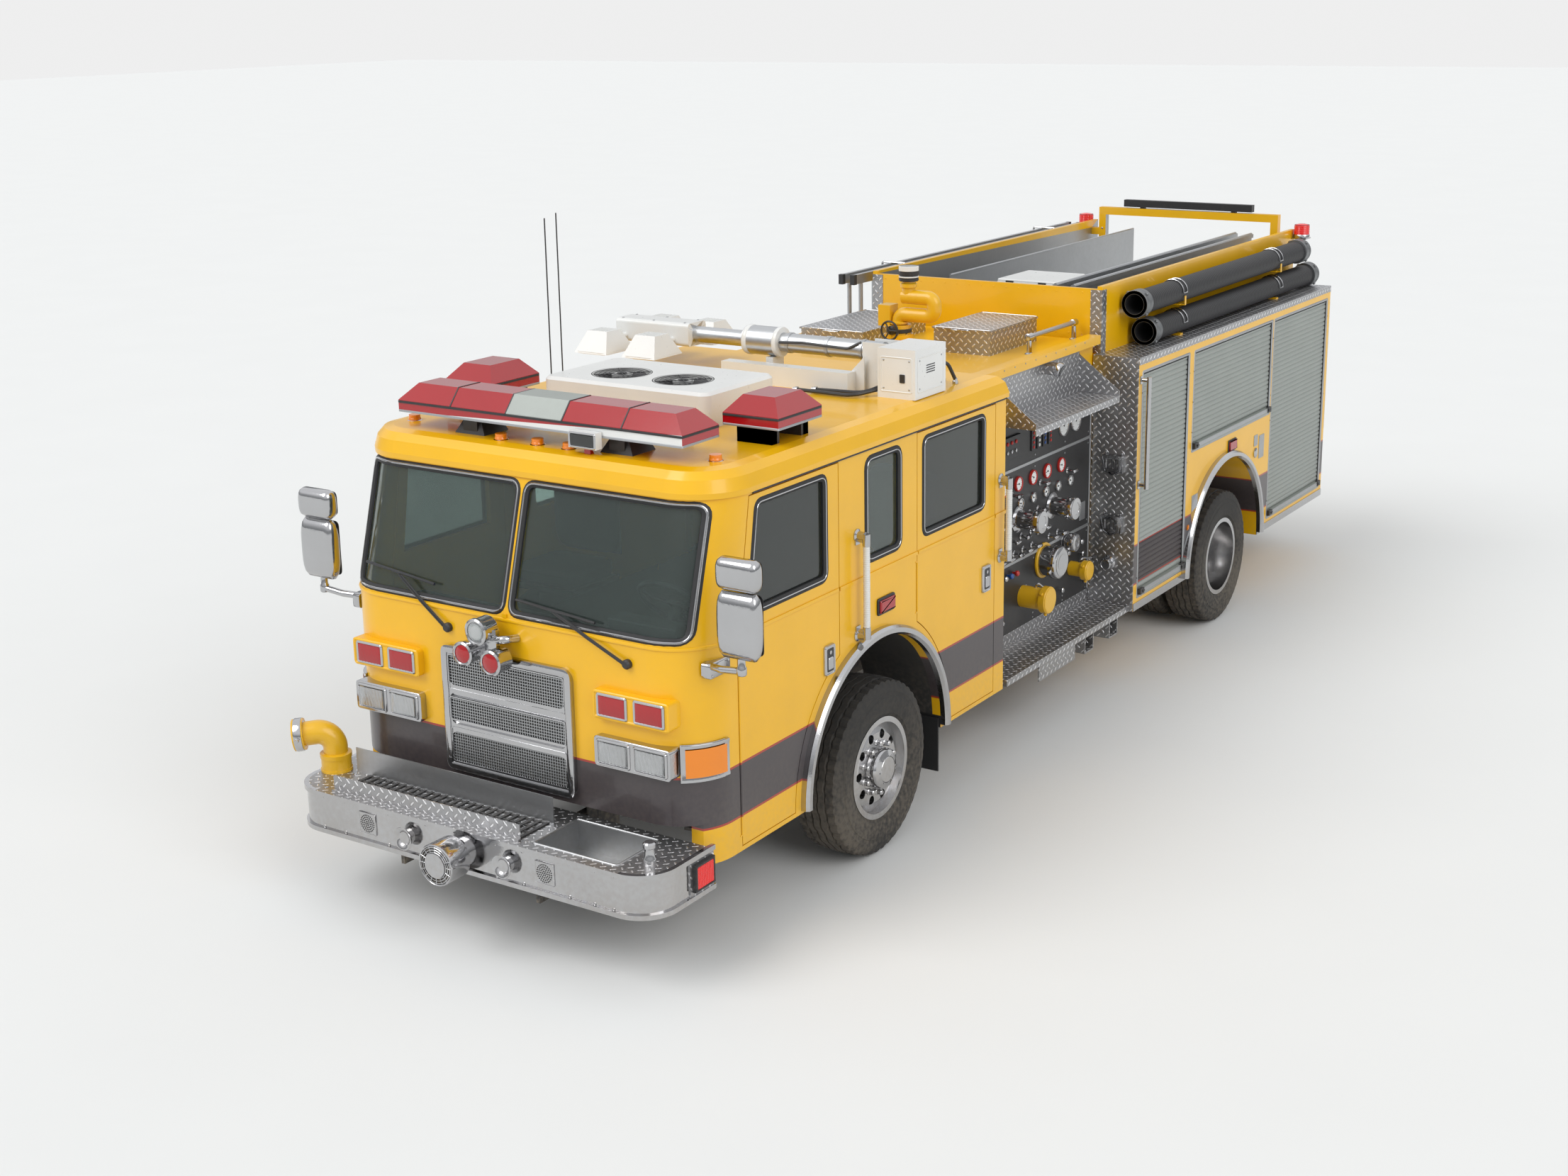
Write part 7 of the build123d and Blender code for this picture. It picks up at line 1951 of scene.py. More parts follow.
@dataclass
class PumpTop:
    """Deck gun fittings, lid rims and handles, and the grey handrail over the pump."""

    gun: Vector = Vector((0.060, -0.460, 0.0))

    def build(self) -> None:
        """Makes the pieces over the pump."""
        self.riser()
        self.monitor()
        self.nozzle()
        self.lids()
        self.rail()

    def riser(self) -> None:
        """Flange bolts round the gun's riser."""
        piece = Piece("gun_riser_bolts", "chassis", Look.POLISHED)
        for turn in range(8):
            angle = 2 * math.pi * (turn + 0.5) / 8
            piece.bolts([round_up((self.gun.x, self.gun.y, 2.6195), 0.082, angle)], UP, 0.009, 0.008, 6)
        piece.done()

    def monitor(self) -> None:
        """Rings, gear cover and crank wheel of the swivel."""
        piece = Piece("gun_swivel_fittings", "gun_swivel", Look.PLASTIC)
        x, y = self.gun.x, self.gun.y
        piece.turned([(0.081, 2.628), (0.0865, 2.632), (0.0865, 2.652), (0.081, 2.656)], (x, y, 0), UP, 36)
        piece.turned([(0.030, 0.0), (0.030, 0.030), (0.020, 0.036)], (x, y - 0.078, 2.655), AHEAD, 20)
        wheel = Vector((x, y - 0.128, 2.655))
        path = [wheel + Vector((0.062 * math.cos(turn), 0, 0.062 * math.sin(turn))) for turn in turns(32)]
        piece.hoop(path, 0.007, 8)
        for turn in turns(3):
            piece.tube(
                [wheel, wheel + Vector((0.062 * math.cos(turn), 0, 0.062 * math.sin(turn)))], 0.005, 6)
        piece.tube([wheel + Vector((0, 0.05, 0)), wheel], 0.010, 8)
        piece.use(Look.BRASS).turned(
            [(0.057, 2.684), (0.064, 2.688), (0.064, 2.700), (0.057, 2.704)], (x, y, 0), UP, 30)
        piece.done()

    def nozzle(self) -> None:
        """Rings and ribbed grip of the nozzle."""
        piece = Piece("gun_nozzle_rings", "gun_barrel", Look.PLASTIC)
        x, y = 0.135, self.gun.y
        for low, high, look in (
                (2.978, 2.996, Look.PLASTIC), (3.000, 3.010, Look.DIAL), (3.014, 3.040, Look.PLASTIC),
                (3.043, 3.0755, Look.DIAL)):
            piece.use(look).turned(
                [(0.0625, low), (0.0665, low + 0.002), (0.0665, high - 0.002), (0.0625, high)], (x, y, 0),
                UP, 36, caps=False)
        piece.use(Look.PLASTIC)
        for angle in turns(18):
            at = Vector(round_up((x, y, 3.017), 0.0655, angle))
            piece.tube([at, at + Vector((0, 0, 0.020))], 0.0028, 5)
        piece.use(Look.BRASS).turned(
            [(0.046, 2.930), (0.056, 2.936), (0.056, 2.958), (0.046, 2.964)], (x, y, 0), UP, 30, caps=False)
        piece.done()

    def lids(self) -> None:
        """Rim and front handle of both lids."""
        for body, x0, x1, y0, top in (
                ("chest_lid", 0.130, 0.560, -0.110, 2.610), ("deck_cover_lid", -0.830, -0.330, -0.290, 2.560)
        ):
            piece = Piece(body + "_fittings", body, Look.POLISHED)
            face = Face.at(((x0 + x1) / 2, (y0 + 0.590) / 2, top + 0.012), ACROSS, ASTERN)
            piece.band(
                oblong(x1 - x0 + 0.012, 0.590 - y0 + 0.012, 0.012), face, -0.006, 0.003, -0.006, 0.002)
            middle = (x0 + x1) / 2
            piece.tube(
                fillet(
                    [
                        (middle - 0.06, y0 - 0.008, top + 0.004), (middle - 0.06, y0 - 0.030, top + 0.004),
                        (middle + 0.06, y0 - 0.030, top + 0.004), (middle + 0.06, y0 - 0.008, top + 0.004)],
                    0.012, 3, False),
                0.005, 8)
            piece.done()

    def rail(self) -> None:
        """Grey rail on bright stanchions along the driver's edge."""
        piece = Piece("pump_top_handrail", "chassis", Look.BRUSHED)
        piece.tube([(0.760, 0.060, 2.570), (0.760, 0.800, 2.570)], 0.0165, 12)
        piece.use(Look.POLISHED)
        for y in (0.080, 0.770):
            piece.turned(
                [(0.032, 0.0), (0.032, 0.006), (0.018, 0.014), (0.016, 0.095)], (0.760, y, 2.450), UP, 18)
            piece.turned(
                [(0.018, -0.030), (0.024, -0.026), (0.024, 0.026), (0.018, 0.030)], (0.760, y, 2.570),
                ASTERN, 18)
        piece.done()


@dataclass
class BodySides:
    """Slats, frames, bars, plates and lamps of the body's sides."""

    half: float = 1.250
    sheet: float = 1.234
    shutters: tuple[tuple[float, float, float, float], ...] = (
        (0.862, 1.709, 0.604, 2.248), (1.799, 3.422, 1.488, 2.248), (3.454, 4.729, 0.604, 2.248))

    def build(self) -> None:
        """Makes both sides and the rear shutter."""
        for side, sign in SIDES:
            for index, opening in enumerate(self.shutters):
                self.shutter(side, sign, index, opening)
            self.panel(side, sign)
            self.front_corner(side, sign)
        self.rear_shutter()

    def slats(self, piece: Piece, face: Face, u0: float, u1: float, v0: float, v1: float) -> None:
        """Adds the ribbed sheet of a shutter as bowed slats with hinge grooves."""
        count = round((v1 - v0) / 0.037)
        pitch = (v1 - v0) / count
        line: list[tuple[float, float]] = []
        for index in range(count):
            base = v0 + index * pitch
            line += [
                (base + pitch * 0.04, 0.0005), (base + pitch * 0.10, 0.0045), (base + pitch * 0.35, 0.0075),
                (base + pitch * 0.65, 0.0075), (base + pitch * 0.90, 0.0045), (base + pitch * 0.97, 0.0005)]
        rings = [[face(u, v)[0] + face.normal * out for v, out in line] for u in (u0, u1)]
        piece.loft(rings, caps=False, open_ring=True)

    def shutter(
            self, side: str, sign: float, index: int, opening: tuple[float, float, float, float]) -> None:
        """Makes one side shutter: slats, frame, and bottom bar with its latches.

        Args:
            side: Name of the side.
            sign: 1 for the driver's side and -1 for the other.
            index: Its number from the front.
            opening: Ends along the truck, bottom and top.
        """
        y0, y1, z0, z1 = opening
        face = side_face(sign, self.sheet)
        look = Look.STRIPED_SLATS if index == 0 else Look.SLATS
        piece = Piece(f"shutter_{index + 1}_{side}", "chassis", look)
        self.slats(piece, face, sign * y0, sign * y1, z0 + 0.060, z1 - 0.010)
        outer = side_face(sign, self.half)
        middle_y, middle_z = (y0 + y1) / 2, (z0 + z1) / 2
        rim = plaque(sign * middle_y, middle_z, y1 - y0, z1 - z0, 0.006, 1)
        piece.use(Look.BRUSHED).band(rim, outer, -0.018, 0.012, -0.014, 0.003)
        piece.use(Look.RUBBER).band(rim, outer, -0.026, -0.018, -0.016, -0.002)
        piece.use(Look.BRUSHED).side_box(
            sign, (1.262, 1.2695), (y0 + 0.024, z0 + 0.030), (y1 - 0.024, z0 + 0.056))
        piece.use(Look.PLASTIC)
        for end, shift in ((y0 + 0.050, 0.03), (y1 - 0.050, -0.03)):
            piece.side_box(sign, (1.250, 1.274), (end - 0.034, z0 + 0.022), (end + 0.034, z0 + 0.064))
            piece.tube([(sign * 1.270, end, z0 + 0.043), (sign * 1.270, end + shift, z0 + 0.043)], 0.011, 10)
        for turn in range(2):
            piece.bolts(
                [
                    (sign * 1.2525, y0 - 0.006 if turn else y1 + 0.006, z)
                    for z in (z0 + 0.15, middle_z, z1 - 0.15)],
                (sign, 0, 0), 0.004, 0.002, 6)
        piece.done(seam=50)

    def panel(self, side: str, sign: float) -> None:
        """Plates, lamps and edge strips of the panel over the rear wheel."""
        face = side_face(sign, self.half)
        piece = Piece("body_side_fittings_" + side, "chassis", Look.BRUSHED)

        def plate(y: float, z: float, wide: float, tall: float, proud: float) -> None:
            """Adds one plate with a screw at each corner."""
            piece.slab(plaque(sign * y, z, wide, tall, 0.008), face, 0.0, proud, 0.001)
            for u in (-1, 1):
                for v in (-1, 1):
                    at, normal = face(sign * y + u * (wide / 2 - 0.012), z + v * (tall / 2 - 0.012))
                    piece.bolts([at + normal * proud], normal, 0.004, 0.002, 6)

        plate(1.900, 1.030, 0.130, 0.230, 0.004)
        plate(3.270, 1.250, 0.110, 0.190, 0.004)
        plate(3.140, 1.320, 0.080, 0.090, 0.004)
        piece.use(Look.POLISHED)
        at, normal = face(sign * 3.140, 1.220)
        piece.turned([(0.040, 0.0), (0.040, 0.008), (0.030, 0.012), (0.012, 0.016)], at, normal, 24)
        lamp = plaque(sign * 2.620, 1.385, 0.165, 0.095, 0.014)
        piece.use(Look.PLASTIC).slab(lamp, face, 0.0, 0.008, 0.003)
        piece.use(Look.RED_LENS).slab(swell(lamp, -0.012), face, 0.006, 0.018, 0.005)
        at, normal = face(sign * 1.795, 0.905)
        piece.use(Look.AMBER).turned(
            [(0.032, 0.0), (0.032, 0.008), (0.022, 0.015), (0.006, 0.017)], at, normal, 22)
        piece.use(Look.POLISHED)
        for low, high in ((0.800, 1.745), (3.240, 4.790)):
            piece.side_box(sign, (self.half - 0.002, self.half + 0.006), (low, 0.518), (high, 0.574))
        piece.use(Look.TREAD).side_box(
            sign, (self.half - 0.002, self.half + 0.003), (0.799, 2.300), (4.792, 2.3505))
        piece.done()

    def front_corner(self, side: str, sign: float) -> None:
        """Tread facing, folding steps and small outlet on the body's front."""
        piece = Piece("body_front_fittings_" + side, "chassis", Look.TREAD)
        piece.side_box(sign, (0.905, 1.246), (0.7925, 0.562), (0.797, 2.345))
        face = Face.at((sign * 1.080, 0.757, 0), ACROSS, UP)
        for z in (1.150, 1.590):
            piece.use(Look.POLISHED)
            shape = fillet(
                [(-0.085, 0.062), (0.085, 0.062), (0.062, -0.055), (0.0, -0.088), (-0.062, -0.055)], 0.02, 4)
            shape = [Vector((spot.x, spot.y + z)) for spot in reversed(shape)]
            piece.band(shape, face, -0.016, 0.004, -0.036, 0.004)
            piece.use(Look.TREAD).slab(swell(shape, -0.014), face, -0.032, -0.016)
            piece.use(Look.RUBBER)
            for u in (-0.03, 0.0, 0.03):
                piece.tube(
                    [
                        face(u, z + 0.035)[0] + face.normal * 0.001,
                        face(u, z - 0.035)[0] + face.normal * 0.001],
                    0.004, 6)
            piece.use(Look.POLISHED)
            for u in (-0.062, 0.062):
                piece.bolts([face(u, z + 0.074)[0] + Vector((0, 0.032, 0))], AHEAD, 0.008, 0.006)
        at = (sign * 1.060, 0.7925, 0.860)
        piece.turned(
            [
                (0.052, -0.001), (0.052, 0.010), (0.040, 0.016), (0.038, 0.040), (0.043, 0.044),
                (0.043, 0.062), (0.034, 0.066), (0.032, 0.062)],
            at, AHEAD, 28)
        piece.use(Look.BRUSHED)
        for z in (0.62, 0.98, 1.36, 1.80, 2.24):
            piece.bolts([(sign * x, 0.7925, z) for x in (0.925, 1.225)], AHEAD, 0.007, 0.003)
        piece.done()

    def rear_shutter(self) -> None:
        """Makes the slats, frame and two latches of the rear shutter."""
        face = rear_face(4.778)
        piece = Piece("rear_shutter_slats", "chassis", Look.SLATS)
        self.slats(piece, face, -0.512, 0.512, 0.822, 1.732)
        outer = rear_face(4.794)
        rim = plaque(0.0, 1.250, 1.040, 0.980, 0.006, 1)
        piece.use(Look.BRUSHED).band(rim, outer, -0.018, 0.012, -0.014, 0.003)
        piece.use(Look.PLASTIC).box((-0.44, 4.800, 0.782), (-0.36, 4.812, 0.826))
        piece.box((0.36, 4.800, 0.782), (0.44, 4.812, 0.826))
        piece.done(seam=50)


@dataclass
class HoseBed:
    """Rivets, caps and boxed lid of the hose bed, and the fittings of the suction hoses and ladders."""

    front_y: float = 0.857

    def build(self) -> None:
        """Makes the hose bed's pieces."""
        self.front_wall()
        self.wall_caps()
        self.white_box()
        self.suction_fittings()
        self.ladder_fittings()

    def front_wall(self) -> None:
        """Tread strips, and rows of rivets, on the front wall."""
        piece = Piece("hose_bed_front_fittings", "chassis", Look.TREAD)
        for sign in SIGNS:
            for across, low, high in (((0.845, 0.931), -0.004, 0.001), ((0.9295, 0.933), 0.0, 0.07)):
                piece.side_box(sign, across, (self.front_y + low, 2.352), (self.front_y + high, 2.795))
        piece.use(Look.PLAIN_YELLOW)
        for z in (2.770, 2.480):
            piece.bolts(
                [(-0.82 + step * 0.1, self.front_y, z) for step in range(17)], AHEAD, 0.006, 0.003, 6)
        piece.use(Look.BRUSHED)
        for sign in SIGNS:
            piece.bolts(
                [(sign * 0.888, self.front_y - 0.004, 2.38 + step * 0.095) for step in range(5)], AHEAD,
                0.005, 0.003, 6)
        piece.done()

    def wall_caps(self) -> None:
        """Bright caps along the divider and the low rails, and the hoop's bolts."""
        piece = Piece("hose_bed_caps", "chassis", Look.BRUSHED)
        piece.tube([(-0.440, 1.160, 2.781), (-0.440, 4.480, 2.781)], 0.009, 8)
        for x in (0.500, 0.640):
            piece.tube([(x, 1.000, 2.789), (x, 4.480, 2.789)], 0.012, 10)
        for x in (-0.792, 0.792):
            piece.bolts([(x, 4.603, z) for z in (2.60, 2.68, 2.76)], AHEAD, 0.009, 0.006, 6)
        piece.done()

    def white_box(self) -> None:
        """White lid and two latches of the box in the hose bed."""
        piece = Piece("hose_bed_box_lid", "chassis", Look.WHITE)
        face = Face.at((0.250, 1.287, 2.790), ACROSS, ASTERN)
        piece.slab(oblong(0.470, 0.510, 0.02), face, -0.030, 0.010, 0.006)
        piece.band(oblong(0.470, 0.510, 0.02), face, -0.001, 0.006, -0.030, -0.010)
        piece.use(Look.PLASTIC)
        for x in (0.12, 0.38):
            piece.box((x - 0.03, 1.024, 2.745), (x + 0.03, 1.034, 2.790))
        piece.done()

    def suction_fittings(self) -> None:
        """Ribs, couplings with lugs, and the wire hooks that hold the two suction hoses."""
        for name, (x, z, y0, y1) in SUCTION_HOSES.items():
            piece = Piece("suction_hose_fittings_" + name, "chassis", Look.HOSE)
            count = int((y1 - y0 - 0.26) / 0.030)
            section = [(0.0852, 0.0), (0.0872, 0.010), (0.0872, 0.018), (0.0852, 0.028)]
            profile = ribs(count, 0.030, y0 + 0.125, section)
            piece.turned(profile, (x, 0, z), ASTERN, 28, caps=False)
            piece.use(Look.GREY_COUPLING)
            for end, inward in ((y0, 1), (y1, -1)):
                at = (x, end, z)
                axis = (0, inward, 0)
                piece.turned(
                    [
                        (0.073, 0.004), (0.0735, 0.0), (0.096, 0.0), (0.1005, 0.004), (0.1005, 0.030),
                        (0.0985, 0.034), (0.0985, 0.060), (0.1005, 0.064), (0.1005, 0.104), (0.0985, 0.110)],
                    at, axis, 36, caps=False)
                for lug in range(4):
                    turn = math.pi * lug / 2 + math.pi / 4
                    out = Vector((math.cos(turn), 0, math.sin(turn)))
                    piece.turned(
                        [(0.013, 0.0), (0.013, 0.010), (0.009, 0.014)],
                        Vector((x, end + inward * 0.048, z)) + out * 0.098, out, 12)
            piece.done()
        hooks = Piece("suction_hose_hooks", "chassis", Look.POLISHED)
        for y in (1.850, 3.850):
            for x, z in (hose[:2] for hose in SUCTION_HOSES.values()):
                path = [
                    (x - 0.092 * math.cos(turn), y, z + 0.094 * math.sin(turn))
                    for turn in (math.radians(-60 + step * 16) for step in range(16))]
                for shift in (-0.035, 0.035):
                    hooks.tube([Vector(spot) + Vector((0, shift, 0)) for spot in path], 0.005, 8)
                tip = Vector(path[-1])
                hooks.tube([tip + Vector((0, -0.035, 0)), tip + Vector((0, 0.035, 0))], 0.005, 8)
        hooks.done()

    def ladder_fittings(self) -> None:
        """Clamps and end caps of the ladders on the passenger's side."""
        piece = Piece("ladder_fittings", "chassis", Look.PLASTIC)
        for x in (-1.010, -1.110):
            for y in (0.690, 4.590):
                for z in (2.420, 2.765):
                    inward = 0.035 if y < 2 else -0.035
                    piece.box(
                        (x - 0.0185, min(y - 0.002, y + inward), z - 0.037),
                        (x + 0.0185, max(y + 0.002 if inward < 0 else y, y + inward), z + 0.0365))
        piece.use(Look.POLISHED)
        for y in (1.390, 3.990):
            piece.tube(
                fillet(
                    [(-0.955, y, 2.36), (-0.955, y, 2.812), (-1.165, y, 2.812), (-1.165, y, 2.60)], 0.02, 4,
                    False),
                0.009, 8)
            piece.turned([(0.022, 0.0), (0.022, 0.018), (0.012, 0.024)], (-1.165, y, 2.575), UP, 14)
        piece.done()


@dataclass
class Rear:
    """Lenses, beacon domes, steps and rails at the back."""

    wall_y: float = 4.794

    def build(self) -> None:
        """Makes the pieces of the back."""
        self.tail_lamps()
        self.beacons()
        self.step()

    def tail_lamps(self) -> None:
        """Three lenses in a bright frame on each side."""
        for side, sign in SIDES:
            face = rear_face(self.wall_y + 0.040, sign * 1.070, 0)
            piece = Piece("tail_lamp_" + side, "chassis", Look.POLISHED)
            frame = plaque(0.0, 1.305, 0.222, 0.512, 0.02)
            piece.band(frame, face, -0.018, 0.002, -0.036, 0.006)
            for z, look in ((1.460, Look.RED_LENS), (1.305, Look.AMBER), (1.150, Look.CLEAR_LENS)):
                if look is Look.CLEAR_LENS:
                    piece.use(Look.DIAL).slab(plaque(0.0, z, 0.175, 0.130, 0.014), face, 0.0, 0.003)
                piece.use(look).slab(plaque(0.0, z, 0.178, 0.134, 0.014), face, 0.0, 0.014, 0.006)
                piece.use(Look.POLISHED).band(
                    plaque(0.0, z, 0.186, 0.142, 0.016), face, -0.004, 0.005, 0.0, 0.009)
            piece.done()
        piece = Piece("rear_marker_lamps", "chassis", Look.RED_LENS)
        for x in (-0.30, 0.0, 0.30):
            piece.turned([(0.030, 0.0), (0.030, 0.008), (0.018, 0.015)], (x, self.wall_y, 1.900), ASTERN, 20)
        for sign in SIGNS:
            piece.slab(
                oblong(0.055, 0.110, 0.01), rear_face(self.wall_y, sign * 1.215, 0.860), 0.0, 0.012, 0.004)
        piece.use(Look.TREAD).box((-1.246, self.wall_y - 0.001, 0.568), (1.246, self.wall_y + 0.003, 0.740))
        piece.done()

    def beacons(self) -> None:
        """Ribbed red domes on bright bases, and the segments of the black bar."""
        piece = Piece("rear_beacons", "chassis", Look.RED_LENS)
        for sign in SIGNS:
            at = (sign * 1.000, 4.714, 0)
            piece.use(Look.POLISHED).turned(
                [(0.050, 2.753), (0.0665, 2.755), (0.0665, 2.778), (0.0625, 2.784)], at, UP, 32)
            piece.use(Look.RED_GLOW)
            profile = ribs(8, 0.009, 2.784, [(0.0630, 0.0), (0.0645, 0.0045)])
            profile += [(0.0625, 2.858), (0.050, 2.8665), (0.026, 2.8715), (0.006, 2.873)]
            piece.turned(profile, at, UP, 32)
        piece.use(Look.PLASTIC)
        for step in range(7):
            x = -0.51 + step * 0.17
            face = rear_face(4.6665, x, 2.987)
            piece.use(Look.PLASTIC).band(oblong(0.150, 0.048, 0.006), face, -0.004, 0.002, -0.004, 0.004)
            piece.use(Look.AMBER).slab(oblong(0.140, 0.038, 0.004), face, -0.002, 0.003, 0.001)
        piece.done()

    def step(self) -> None:
        """Edge strip and grips of the rear step, and the feet of its rails."""
        piece = Piece("rear_step_fittings", "chassis", Look.POLISHED)
        piece.tube([(-1.095, 5.083, 0.560), (1.095, 5.083, 0.560)], 0.0065, 8)
        for sign in SIGNS:
            for z in (1.110, 2.190):
                piece.turned(
                    [(0.030, 0.0), (0.030, 0.006), (0.019, 0.016), (0.019, 0.050)],
                    (sign * 1.215, self.wall_y, z), ASTERN, 18)
            piece.use(Look.WHITE)
            profile = ribs(60, 0.015, 1.180, [(0.0165, 0.0), (0.0182, 0.005), (0.0182, 0.010)])
            piece.turned(profile, (sign * 1.215, 4.854, 0), UP, 16)
            piece.use(Look.POLISHED)
        piece.done()


@dataclass
class Mirrors:
    """Rounded bright mirror heads on their arms, in place of the plain ones."""

    reach: float = 1.430
    low: float = 1.690
    high: float = 2.200

    def build(self) -> None:
        """Makes both mirrors as one piece that stands for the plain node."""
        piece = Piece("mirror_heads", "cab", Look.POLISHED)
        for sign in SIGNS:
            self.head(piece, sign)
        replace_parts(piece.done(seam=60), "mirrors")

    def head(self, piece: Piece, sign: float) -> None:
        """Adds one head with its glasses, seam, post, arm and foot."""
        x, y = sign * self.reach, -4.3575
        for low, high in ((self.low, 2.030), (2.036, self.high)):
            rings = []
            for step in range(13):
                turn = -1 + 2 * step / 12
                share = max(max(1 - abs(turn) ** 3.4, 0.0) ** 0.36, 0.35)
                z = (low + high) / 2 + turn * (high - low) / 2
                ring = []
                for u, v in oblong(0.248 * (0.66 + 0.34 * share), 0.095 * share, 0.044 * share, 5):
                    ring.append(Vector((x + u, y + min(v, 0.040), z)))
                rings.append(ring)
            piece.use(Look.POLISHED).loft(rings)
            glass = Face.at((x, y + 0.041, (low + high) / 2), (-1, 0, 0), UP)
            piece.use(Look.RUBBER).band(
                oblong(0.222, high - low - 0.030, 0.03), glass, -0.010, 0.002, -0.004, 0.004)
            piece.use(Look.ALLOY).slab(oblong(0.206, high - low - 0.046, 0.026), glass, -0.002, 0.001)
        piece.use(Look.POLISHED).turned(
            [(0.022, 1.600), (0.026, 1.606), (0.026, 1.640), (0.020, 1.650), (0.020, 1.700)], (x, -4.350, 0),
            UP, 20)
        piece.tube(
            fillet(
                [(x, -4.350, 1.622), (sign * 1.30, -4.340, 1.606), (sign * 1.150, -4.292, 1.596)], 0.08, 6,
                False),
            0.019, 12)
        face = Face.at((sign * 1.205, -4.250, 1.576), (0, sign, 0), UP)
        piece.slab(oblong(0.180, 0.084, 0.02), face, -0.028, 0.026, 0.006)
        piece.bolts(
            [face(u, v)[0] + face.normal * 0.026 for u in (-0.07, 0.07) for v in (-0.024, 0.024)],
            (sign, 0, 0), 0.007, 0.0045, 6)


